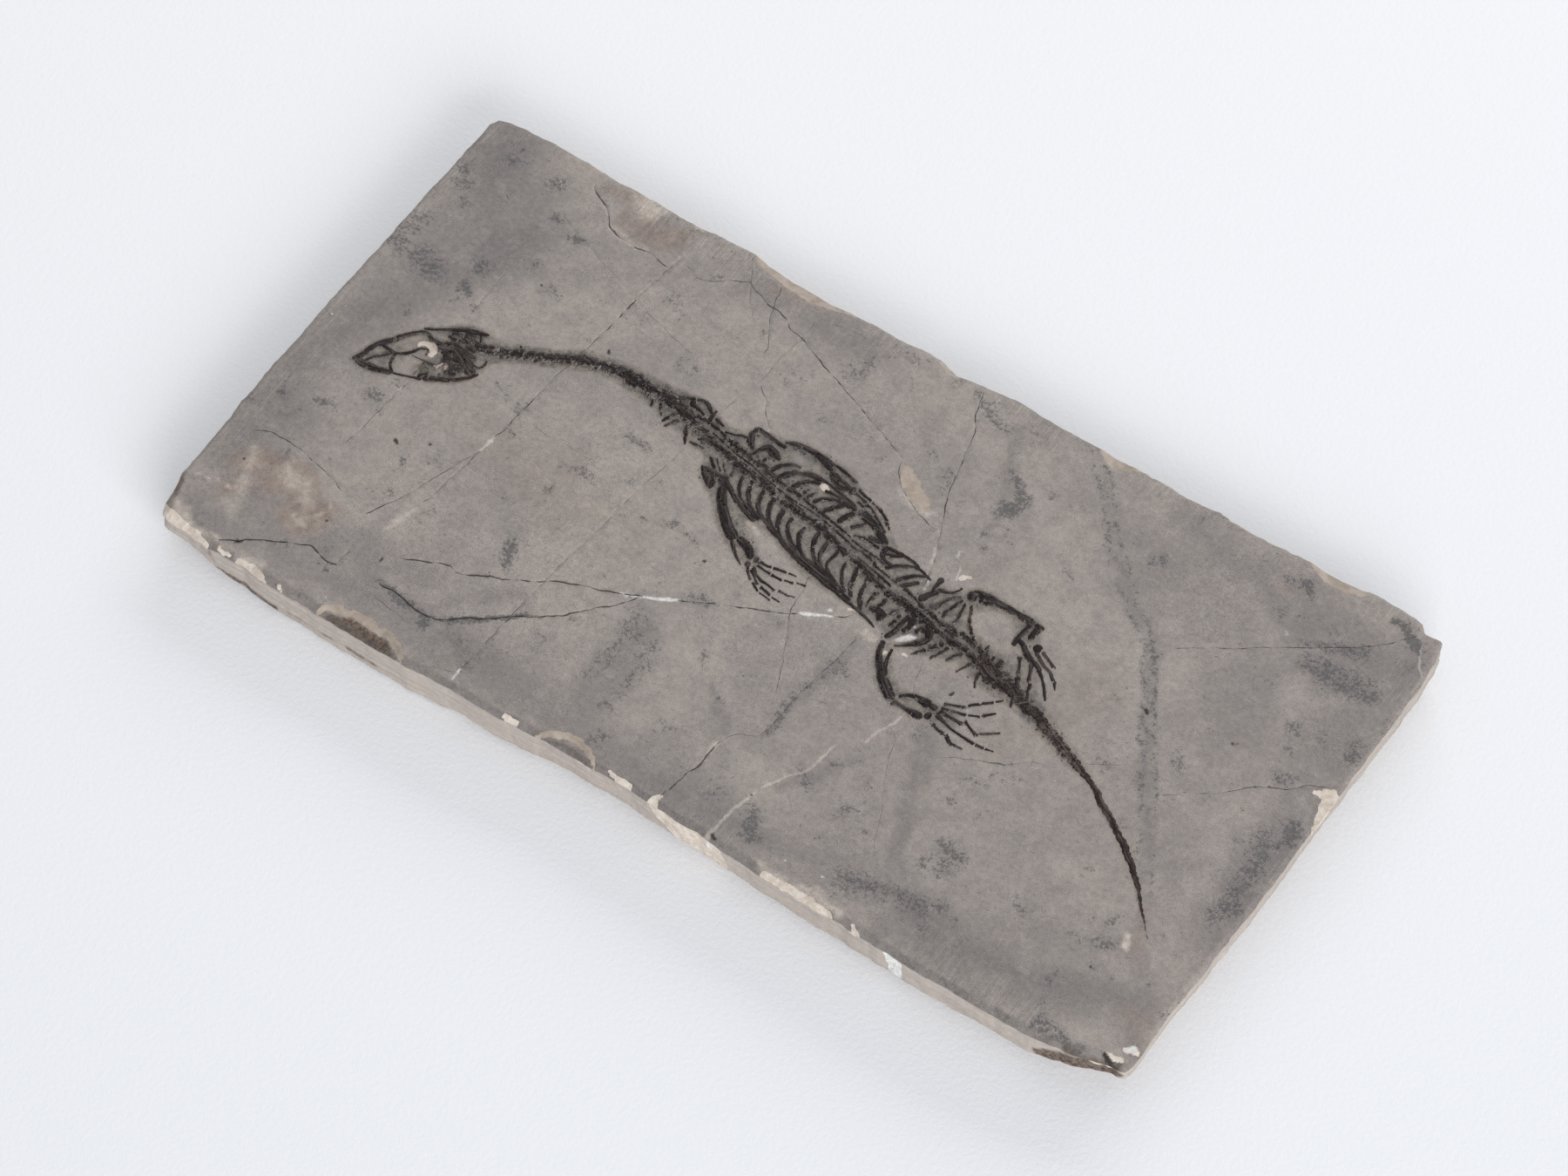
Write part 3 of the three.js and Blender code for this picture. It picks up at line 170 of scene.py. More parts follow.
# Each is (softness of its border, strength, stroke, stroke, ...). A stroke is a band that runs through
# its points, ((x, y, half-width), ...), and one point alone is a dot.
MARKINGS = {
    # chipped or filled places, cream
    "cream": (
        (.5, 1, ((-140, -67.6, .6), (-138.4, -69, 1.3), (-134, -70, 1.4), (-129, -71, 1.5),
                 (-124.6, -71.8, 1.2)), ((-120.8, -71, .4), (-117, -71.4, .5)),
                ((-114.8, -71, .7), (-110, -71.6, 1.4), (-106.4, -72.6, 1.1))),
        (.4, 1, ((-102, -71.6, .35), (-101, -72.6, .4)), (-90, -68.6, .25)),
        (.5, 1, ((-35, -72.2, .5), (-31.5, -72.2, .6)), ((-4.7, -71.4, .4), (-2.7, -71.4, .4)),
                ((-1.8, -71.8, .8), (1.5, -72.4, 1))),
        (.5, 1, ((9.4, -69.9, .45), (8.7, -71.6, 1.1), (8.4, -73.4, 1.7))),
        (.5, 1, ((41.2, -74.2, .7), (45, -74.6, 1.2), (50, -74.8, 1.4), (55, -75, 1.3), (60.4, -75.4, .8)),
                ((66.8, -74.6, .4), (68.8, -76, .7))),
        (.6, 1, ((134.6, -71.2, .6), (138, -70.6, .7)), ((137.4, -67.6, .8), (139.6, -66.6, .8))),
        (.6, 1, ((136.4, 17, .3), (140.8, 18, 2), (142.8, 14, 3), (142.8, 8, 1.4))),
        (.5, .9, ((-9.4, 25.9, .3), (-8.3, 25.8, .95), (-7.3, 25.6, .3)),
                 ((34.6, -4.2, .55), (35.3, -4.5, .5))),
        (.5, 1, ((16.4, -.9, .4), (18.2, -.2, .5)), ((34.2, 22.2, .9), (35.6, 23, .6))),
        (.4, 1, ((-115.6, 5.4, .4), (-115.4, 6.5, .6), (-114.2, 7.1, .75), (-112.8, 6.9, .8),
                 (-111.6, 5.9, .9), (-111.6, 4.7, .6))),
    ),
    # chipped or cut through to paler, tan stone
    "rim": (
        (.5, 1, ((3.4, 42.6, .2), (6.4, 40, 1.9), (10.4, 37, 2.3), (13.4, 35.4, 1.9), (16.8, 34, .5))),
        (.5, 1, ((-89.6, -72.6, .5), (-88, -70.8, .8), (-85, -69.4, .9), (-80, -68.7, .9), (-75, -68.7, .9),
                 (-70, -69.4, .9), (-66.6, -71, .8), (-64.6, -73, .5))),
        (.5, .8, ((-25, -72.5, .5), (-23, -70.6, .8), (-20, -68.9, .9), (-17, -68.3, .9), (-14, -68.8, .9),
                  (-11, -70.2, .8), (-9, -72.2, .5))),
        (.6, 1, ((101.6, 74, .8), (104.5, 73, 1.6), (110.5, 72.8, 3), (115.5, 73, 2.2), (119.2, 74, .7))),
        (.5, 1, ((79, 73, .5), (94, 73.2, .4)), ((64.5, 73.2, .4), (73, 73.4, .3)),
                ((59, 73, .4), (62, 73, .4))),
        (.6, 1, ((42, 73.4, .6), (46, 72, 1.8), (49.6, 72.6, 1.5), (53.6, 73.4, .6))),
        (.6, 1, ((-5, 73, .6), (-1.5, 72.4, .9), (2, 73, .6))),
        (.6, 1, ((-61.6, 75, .8), (-57, 74, 1.1), (-50, 73.4, 1.8), (-43, 73, 2.2), (-36, 73.4, 1.4),
                 (-31.4, 74, .7))),
        (.8, .9, ((-113, 75.6, .5), (-109.5, 75.6, .6)), ((-80, 74.4, .6), (-77.5, 74.2, .6)),
                 ((134, 71.4, .7), (139, 71.4, .7))),
    ),
    # pale veins and washes
    "pale": (
        (1.2, .4, ((9, 34.6, .6), (13, 34, 1.6), (17.3, 33.6, .9))),
        (18, .09, ((-94, -6, 8), (-64, 8, 8), (-46, -14, 6))),
        (1, .55, ((-87, -35.5, .4), (-88.5, -40, .8), (-90.2, -44.5, .3))),
        (2.5, .5, ((-138, -66.5, 1.5), (-133, -68, 1.6), (-126, -69.4, 1.2), (-119, -70, .6))),
        (2, .5, ((-115, -69.6, 1), (-108, -70, 1.2))),
        (.4, .45, ((12.3, -50.5, .35), (11.9, -53.6, .5)), ((30, -51, .3), (27.6, -55, .35)),
                  ((27, -56.4, .3), (26.3, -61, .35), (25.3, -65, .35), (25, -70, .45), (24.7, -74, .6))),
        (.35, .4, ((44.3, -18, .25), (43.8, -22, .3), (42, -26, .3), (41, -30.5, .2)),
                  ((35.5, -35, .2), (34.8, -40, .35), (34, -44.5, .3), (31.5, -48, .25), (30, -51, .25))),
        (2.2, .5, ((40, -73, .8), (50, -73.4, 1.2), (62, -74, .8))),
        (4, .5, ((-98, 74, 1), (-92, 71.6, 2.6), (-85, 74.5, 1.2))),
        (3, .35, ((-98, 62.5, .6), (-93, 62, 1.2), (-84, 61.8, .8))),
        (4, .38, ((-132, -43, .6), (-129, -48, 1), (-126.5, -53, 1.2), (-126, -60, .6)),
                 ((-119, -40.5, 1.2), (-115, -45, 2.2), (-111, -50, 1))),
        (.8, .55, ((-111.5, -53.6, .3), (-108.5, -54.4, .9), (-106.8, -54, .4)),
                  ((-104.6, -45.5, .15), (-106, -50, .2), (-108.4, -53, .3)),
                  ((-138, -56.6, .15), (-132, -55.2, .15), (-127, -55.6, .2))),
        (.6, .7, ((122.6, -44, .8), (121.4, -41.4, .8))),
        (.3, .7, (-29, 32.4, .35), ((30.5, -6.9, .6), (30.7, -6.3, .5))),
        (1.5, .45, ((24.5, -4.4, 1.2), (26.3, -4, .8)), ((-18, 6.2, .8), (-14, 5, .6))),
    ),
    # white calcite and filler
    "white": (
        (.5, .55, ((-83.8, -7, .2), (-84.1, -9.5, .4), (-84.2, -11.8, .2)),
                  ((-111.6, -7.4, .25), (-111.5, -8.3, .25))),
        (.35, 1, ((-33, -28.2, .2), (-30, -27, .22), (-27, -25.8, .3), (-24, -24.5, .32), (-21, -22.7, .48),
                  (-19.3, -21.8, .3))),
        (.35, 1, ((7.6, -8.2, .45), (9.4, -7.3, .5), (11.4, -6.2, .35), (14.2, -5, .3))),
        (.3, .9, ((-51, -67.6, .25), (-51.1, -70.8, .3)), ((-50.4, -73.4, .3), (-50, -74.4, .3))),
        (.4, .5, ((24, 26, .25), (25.6, 21.6, .3)), ((27.6, 17.6, .35), (28.4, 14.4, .4)),
                 ((29.5, 28, .25), (30.2, 26.6, .2)), ((32, 24.6, .2), (33.4, 20.6, .25))),
        (.6, .9, ((30.9, -2, .4), (32.6, -.4, .9), (34, 1.2, .5)), ((32.2, 3.9, .35), (32.8, 3.9, .3))),
        (.3, .9, ((12.7, -3.7, .4), (13.3, -3.6, .35)), ((9.2, 22.6, .3), (9.8, 22.2, .25)),
                 (59.8, -54.7, .25), (53.2, -67.7, .2), (43.5, -68.8, .2), (-139.3, 1.2, .25)),
        (.5, .9, ((138, -67.4, .7), (139, -66.4, .8))),
        (.4, .45, ((136.6, 67, .15), (139, 62, .2), (141, 59.6, .15)),
                  ((107, 52.4, .12), (108.6, 51.8, .12), (107.4, 51.4, .1))),
    ),
    # bluish-grey cleaned or sheared bands, and broad bluish-grey washes
    "cool": (
        (1.8, .42, ((41, 73, 1), (47, 65.5, 1.5), (55, 56, 1.6), (64, 46.5, 1.6), (73, 38, 1.8),
                    (82, 31, 2), (89, 20, 1.7), (96, 8, 1.7), (103, -3, 1.5), (112, -18, 1.6),
                    (120, -32, 1.6), (126, -44, 2), (133, -57, 2.4), (139, -67, 2))),
        (2.4, .45, ((46, -4, .8), (50, -14, 1.4), (54, -26, 2.2), (58.5, -38, 2.6), (64, -52, 3),
                    (72, -72, 3.2))),
        (2.5, .4, ((21.5, 68, .8), (26, 57, 1.4), (30, 45, 1.4), (33.6, 35, .8))),
        (2, .4, ((22.8, -7, .8), (22.6, -18, 1.6), (20.6, -32, 1.4), (19.6, -42, 1)),
                ((12, -46, 1), (2, -38, 1.2)), ((30, -52, 1.4), (36, -46, 1.6), (42, -36, 1))),
        # broad washes that make the stone darker towards its edges, over the front left and at the right
        # rear
        (10, .6, ((-20, -34, 3), (-20, -50, 6), (-18, -66, 5))),
        (14, .62, ((-132, -66, 5), (-100, -64, 5), (-60, -64, 7), (-10, -66, 5), (40, -68, 4), (64, -64, 6),
                   (100, -66, 5), (132, -54, 6))),
        (14, .6, ((136, 62, 5), (134, 30, 8), (138, 0, 7), (138, -30, 7)),
                 ((70, 66, 4), (104, 62, 9), (130, 52, 12))),
        (16, .6, ((-132, 66, 8), (-122, 46, 14), (-128, 24, 10), (-137, -10, 4), (-132, -30, 6)),
                 ((-60, 66, 3), (-20, 66, 3))),
        (7, .6, ((-64, -66, 2), (-84, -58, 4), (-94, -48, 3)), ((-66, -52, 2.4), (-52, -43, 2))),
        (18, .58, ((-136, -40, 4), (-118, -56, 7), (-92, -54, 6), (-70, -46, 4))),
        (20, .34, ((50, 62, 4), (74, 52, 10), (100, 44, 10), (112, 20, 6)),
                  ((120, -20, 5), (124, -42, 6), (100, -60, 5))),
    ),
    # clusters of dark specks
    "stain": (
        (1.2, 1, ((-44, -44.4, .5), (-51, -48.8, .9), (-54, -51.8, 1.3), (-60.6, -57, 1), (-63, -58.4, .8)),
                 ((-63, -58.4, .5), (-68, -59.4, .7), (-73, -59.4, 1.2), (-77, -58.8, 1.1),
                  (-82.4, -57.1, .4)), ((-67.4, -61, .5), (-64.9, -62.4, 1.1))),
        (1.4, .85, ((39.8, 72, .3), (45.8, 64.5, .4), (53.8, 55, .4), (62.8, 45.5, .3), (71.8, 37, .4),
                    (80.8, 30, .5), (87.5, 19.4, .5), (94.4, 7.4, .5), (101.4, -3.6, .4),
                    (110.4, -18.6, .3), (118.4, -32.6, .2)), ((42.2, 74, .3), (48.2, 66.5, .5),
                    (56.2, 57, .4), (65.2, 47.5, .3), (74.2, 39, .3), (83.4, 31.8, .6), (90.5, 20.8, .6),
                    (97.6, 8.8, .4), (104.6, -2.2, .4), (113.6, -17.2, .3), (121.6, -31.2, .2))),
        (7, .75, ((-131, 27, 3.4), (-124, 27, 2.4)), ((-137, 38, 2), (-138, 30, 2.4)),
                 ((118, 47, 3), (130, 47, 3.6)), ((72, -44, 2), (74, -50, 2.4)),
                 ((30, -64, 2.4), (32, -68, 2)), ((-22, -33, 1.6), (-25, -46, 1.6)),
                 ((-15, -36, 1.4), (-15, -50, 1.4)), ((60, -66, 3), (80, -60, 3)),
                 ((134, 0, 3), (137, -24, 3))),
        (3, .8, ((47, 65, .4), (56, 54.5, .5), (66, 44, .3)),
                ((83, 29, .8), (90, 17.6, .5), (97, 4.6, .4), (108, -12, .3)),
                ((22, -12, .4), (21, -22, .7), (19.6, -34, 1), (19.6, -42, .6))),
        (5, .8, (-137, 57, 2.5), (-134, 53, 2), (-117, 66, 3), (-105, 43, 2), (-118, 35, 2.6),
                ((-139, 30, 1.6), (-139, 25, 1.6)), (-128, 27, 3.6), (-114, -12.6, 2.6), (-130, 65, 2)),
        (3, 1, (-109, 57, 1.6), ((-102.5, 54.2, 1.5), (-100, 53.8, .8)), ((-117, 26, 1.8), (-114, 24.4, 1)),
               (-111.5, 21.8, .8), (-124, 12, .9), ((-137, -21, .8), (-135.4, -25.4, 1)),
               ((-127, -22.4, 1), (-123, -22.2, 1)), (-112.6, -17, .9), (-97, -26, 1.2), (-94.4, -34, 1.4),
               (-85.6, -52, .5), (-63, -12.6, .9), (-49, 1.3, .6), ((-66, 63, 1.2), (-64.4, 64, .8)),
               (-8, -12.4, .8), (-131.2, 69.8, .4)),
        (3, 1, ((-57, 12, .8), (-54.6, 12, .9), (-51, 11, .7)), (-39.4, -6.6, 1.2),
               ((-33, -2.6, .5), (-29, -4.6, .5), (-25, -6.4, .4)), (-33, -5.4, 1.4),
               ((-60.6, -31, 1.6), (-59, -36, 1)), (-62, -41, .8), (-78, -32, .6), (-38.6, -26, .8),
               (-13, -22.4, .8), (-4.5, -33, 1.4), ((-2, -52, 1), (2, -51.6, .8)), (-14, -66, 1.6),
               ((-18, -57.6, 1), (-16, -58, .8))),
        (6, .7, ((-24, -32, 1.6), (-20, -36, 1.6)), ((-27, -45, 1.4), (-25, -54, 1.6)),
                ((-14, -40, 1.4), (-14.6, -48, 1.4)), (-6, -40, 1), (-20, 60, 2.4), (-34, 51, 1.6),
                (-48, 58, 1.4), (-20, 42, 1.4), (-5.5, 62, .8)),
        (3.5, 1, ((26, 56, .8), (29, 53, 2), (32, 48, 2.2), (29, 44, 1.2)),
                 ((31.4, 37.6, .8), (32.4, 34.6, .8)), (35, 31.2, .9), (38, 56, 1.2), (71.6, 54.6, 1.6),
                 (70, 51, 1), ((104, 67, 2.4), (106.6, 65, 1)), (101, 65, 1)),
        (4, .9, (84, 28.4, 1), (113.6, 18, .4), ((122, 28.6, 1.2), (124, 26, .8)),
                ((104, 7.4, 1.2), (107, 5, 1.2)), (141, 42, 1), (102, -32, 1.2), (75, -33, 1),
                (67, -35, 1.4), (113.4, -41.4, .8), (119, -53.4, .6), (96, 7, .8)),
        (6, .9, ((112, 53, 1), (120, 55, 2), (128, 58, 2)), ((116, 46, 2), (126, 46, 3), (134, 48, 2)),
                (128, 30, 1.2), (138, 32, 2.4), ((138, 3, 2.6), (134, -4, 1.6)), (138, -22, 3),
                (139, -54.6, 1.2)),
        (5, .9, ((72, -46, 2), (78, -48, 2)), (71, -52, 1.4), (85.6, -60, 1.4), (78.6, -64, 1.2),
                ((114, -46, 1.4), (118, -47, 1.4)), ((29, -60, 1.4), (31, -65, 2.2), (33, -67, 2)),
                ((37.6, -49, 1.4), (34, -47, 1)), (39.6, -40, 1.2), (48.6, -20, 1.2)),
        (4, .9, ((19.4, -34, .9), (19.8, -40, .7)), ((23, -15, 1), (26, -18, .9)),
                ((116, -71, 1.6), (127, -71, 1.4)), (19, -52, .8), (62, -25, .7), (47, -60, .8),
                (9, 50.4, .9), (46.6, 30, .8), ((6, 71, .6), (18, 66, 1.4))),
        (5, .8, ((-20, 30.4, 1.6), (-15.4, 30.6, 1.8))),
        (2, 1, ((-67.6, -60.4, .3), (-65, -62.6, 1.2)), ((128, 69.6, 1.6), (136, 66, 2.4))),
    ),
    # single dark pits and spots
    "pit": (
        (.35, 1, (-101.3, 37.6, .35), (-95.8, -17.6, .45), ((-103.6, -21.2, .5), (-102.6, -22, .4)),
                 (-20.4, -8.7, .5), ((-85.6, -51.6, .3), (-85.6, -52.6, .3)),
                 ((91.4, 14.4, .4), (92.2, 13.8, .4)), (-129.8, 70.2, .35), (-131.2, -46.6, .4),
                 (-126.8, 30, .2), (113.6, 17.8, .4), (119, -53.3, .4), (-103.4, -50.2, .35),
                 (26.8, -58, .3), ((25.6, -72.4, .5), (26.6, -72.9, .4)),
                 ((-75.3, 29.6, .4), (-75.6, 30.6, .25))),
        (.3, 1, ((-117.9, -67.4, .5), (-116.8, -66.8, .4)), ((50.3, -7.8, .5), (50.5, -7, .3)),
                (51, -1.4, .25), (-22, -10.4, .2), ((134.2, -71.2, .6), (138.4, -72.8, .5)),
                (124.6, 10.4, .3), (127.2, 12.4, .3)),
    ),
    # stone stained a warm tan
    "tan": (
        (.6, .45, ((-99.2, 9.6, .5), (-100, 10, .5))),
        (3.5, 1, ((-131, -46, 3), (-124, -47, 5.4), (-114, -46, 5.6), (-105, -48, 3.6)),
                 ((-112, -54, 3), (-105, -52, 3)), ((-129, -58, 2), (-126, -52, 2.4))),
        (3, .8, ((-96, 67, 3), (-88, 67, 4.6), (-81, 68, 3.4)), ((-104, 72, 1.4), (-96, 72, 2))),
        (4, .6, ((135, -58, 2), (138, -64, 1.6)), ((122, -34, 1), (124, -44, 2)), (34, 25, 1.4)),
        (3, .6, ((103, 65, 1.4), (98, 65, 1.2)), (60.6, -26.6, .8), (113.6, 19, .6),
                ((-52, 71, 2), (-40, 71, 2))),
        (9, .35, ((-40, -12, 8), (-62, -10, 10), (-90, -6, 6)), ((78, 12, 7), (70, -10, 6))),
    ),
    # dark brown rough stone
    "brown": (
        (.5, 1, ((-87.4, -73.6, .8), (-84, -72.4, 1.8), (-78, -71.9, 2.2), (-71, -72.4, 1.9),
                 (-66.6, -73.6, .8))),
        (.6, .55, ((-22.6, -72.6, .4), (-20, -71.2, .5), (-16, -70.8, .5), (-12.6, -71.6, .4),
                   (-10, -73, .4))),
        (1, 1, ((-140.6, -58.6, .5), (-139.6, -63, .7), (-138.2, -66.6, .6))),
        (1.2, .9, ((125, -74.6, .8), (133, -73.4, 1), (138.5, -72.6, 1))),
    ),
}

# Markings on the sides: (side, stroke), with places along the side and down from the split face.
SIDE_MARKINGS = {
    "side_cream": (
        ("front", ((9.6, 1, 2), (12, 3, 3.4), (16, 4.4, 4.4), (21, 5.4, 5), (25.4, 6, 4.6), (28, 8, 2.4))),
        ("front", ((-138, 2, 1), (-132, 2, .9), (-125, 2.2, .9))), ("front", ((42, 1.4, 1), (60, 1.6, 1))),
        ("front", ((66, 1.4, .8), (69, 2, .8))), ("front", ((-114, 1.6, .6), (-106, 1.8, .6))),
        ("front", ((-14, 1.4, .8), (-10, 1.6, .8))), ("front", ((131, 2, .8), (136, 2, .8))),
        ("right", ((9, 1.4, 1.2), (14, 2, 2), (18, 1.4, 1))), ("back", ((-58, 1.4, 1), (-36, 1.4, 1))),
        ("back", ((104, 1.6, 1.2), (117, 1.6, 1))), ("back", ((43, 1.4, 1), (52, 1.4, 1))),
        ("front", ((24.6, 0, .4), (24.8, 5, .4))),
    ),
    "side_white": (
        ("front", ((78.4, 1, 2.2), (79, 4.4, 2.3), (79.4, 8, 1.8))),
        ("front", ((24.8, 1, .5), (25.4, 4, .4))),
    ),
    "side_brown": (
        ("front", ((119, 7.4, 1.4), (124, 5.6, 2.2), (131, 4.6, 2.2), (138, 3.6, 1.6))),
        ("front", ((-121, 9.6, 1), (-104, 10.6, .8))), ("front", ((-100, 8.9, .25), (-86, 9.2, .25))),
        ("front", ((-81, 9.2, .3), (-73, 9.4, .3))), ("front", ((-123.4, 0, .2), (-122.6, 7, .3))),
        ("front", ((9, 1, .3), (9.8, 5, .2))), ("left", ((62, 2, 2), (66, 3, 2))),
    ),
}

# Colours within the skull: (colour, softness of its border, stroke, stroke, ...).
SKULL_MARKINGS = (
    ("cream", .35, ((-115.6, 5.4, .5), (-115.2, 6.6, .7), (-114, 7.2, .85), (-112.6, 7, .9),
                    (-111.4, 5.9, .9), (-111.4, 4.6, .6))),
    ("pink", .5, ((-108.4, 1.8, .8), (-106.8, 3.4, 1.1))),
    ("olive", .7, ((-111.4, -2, .8), (-110, .6, 1.3)), ((-117.6, 7.9, .5), (-115.8, 9, .5)),
     ((-114, 10, .7), (-112.6, 10.6, .6))),
)

# ---------- the skeleton ----------

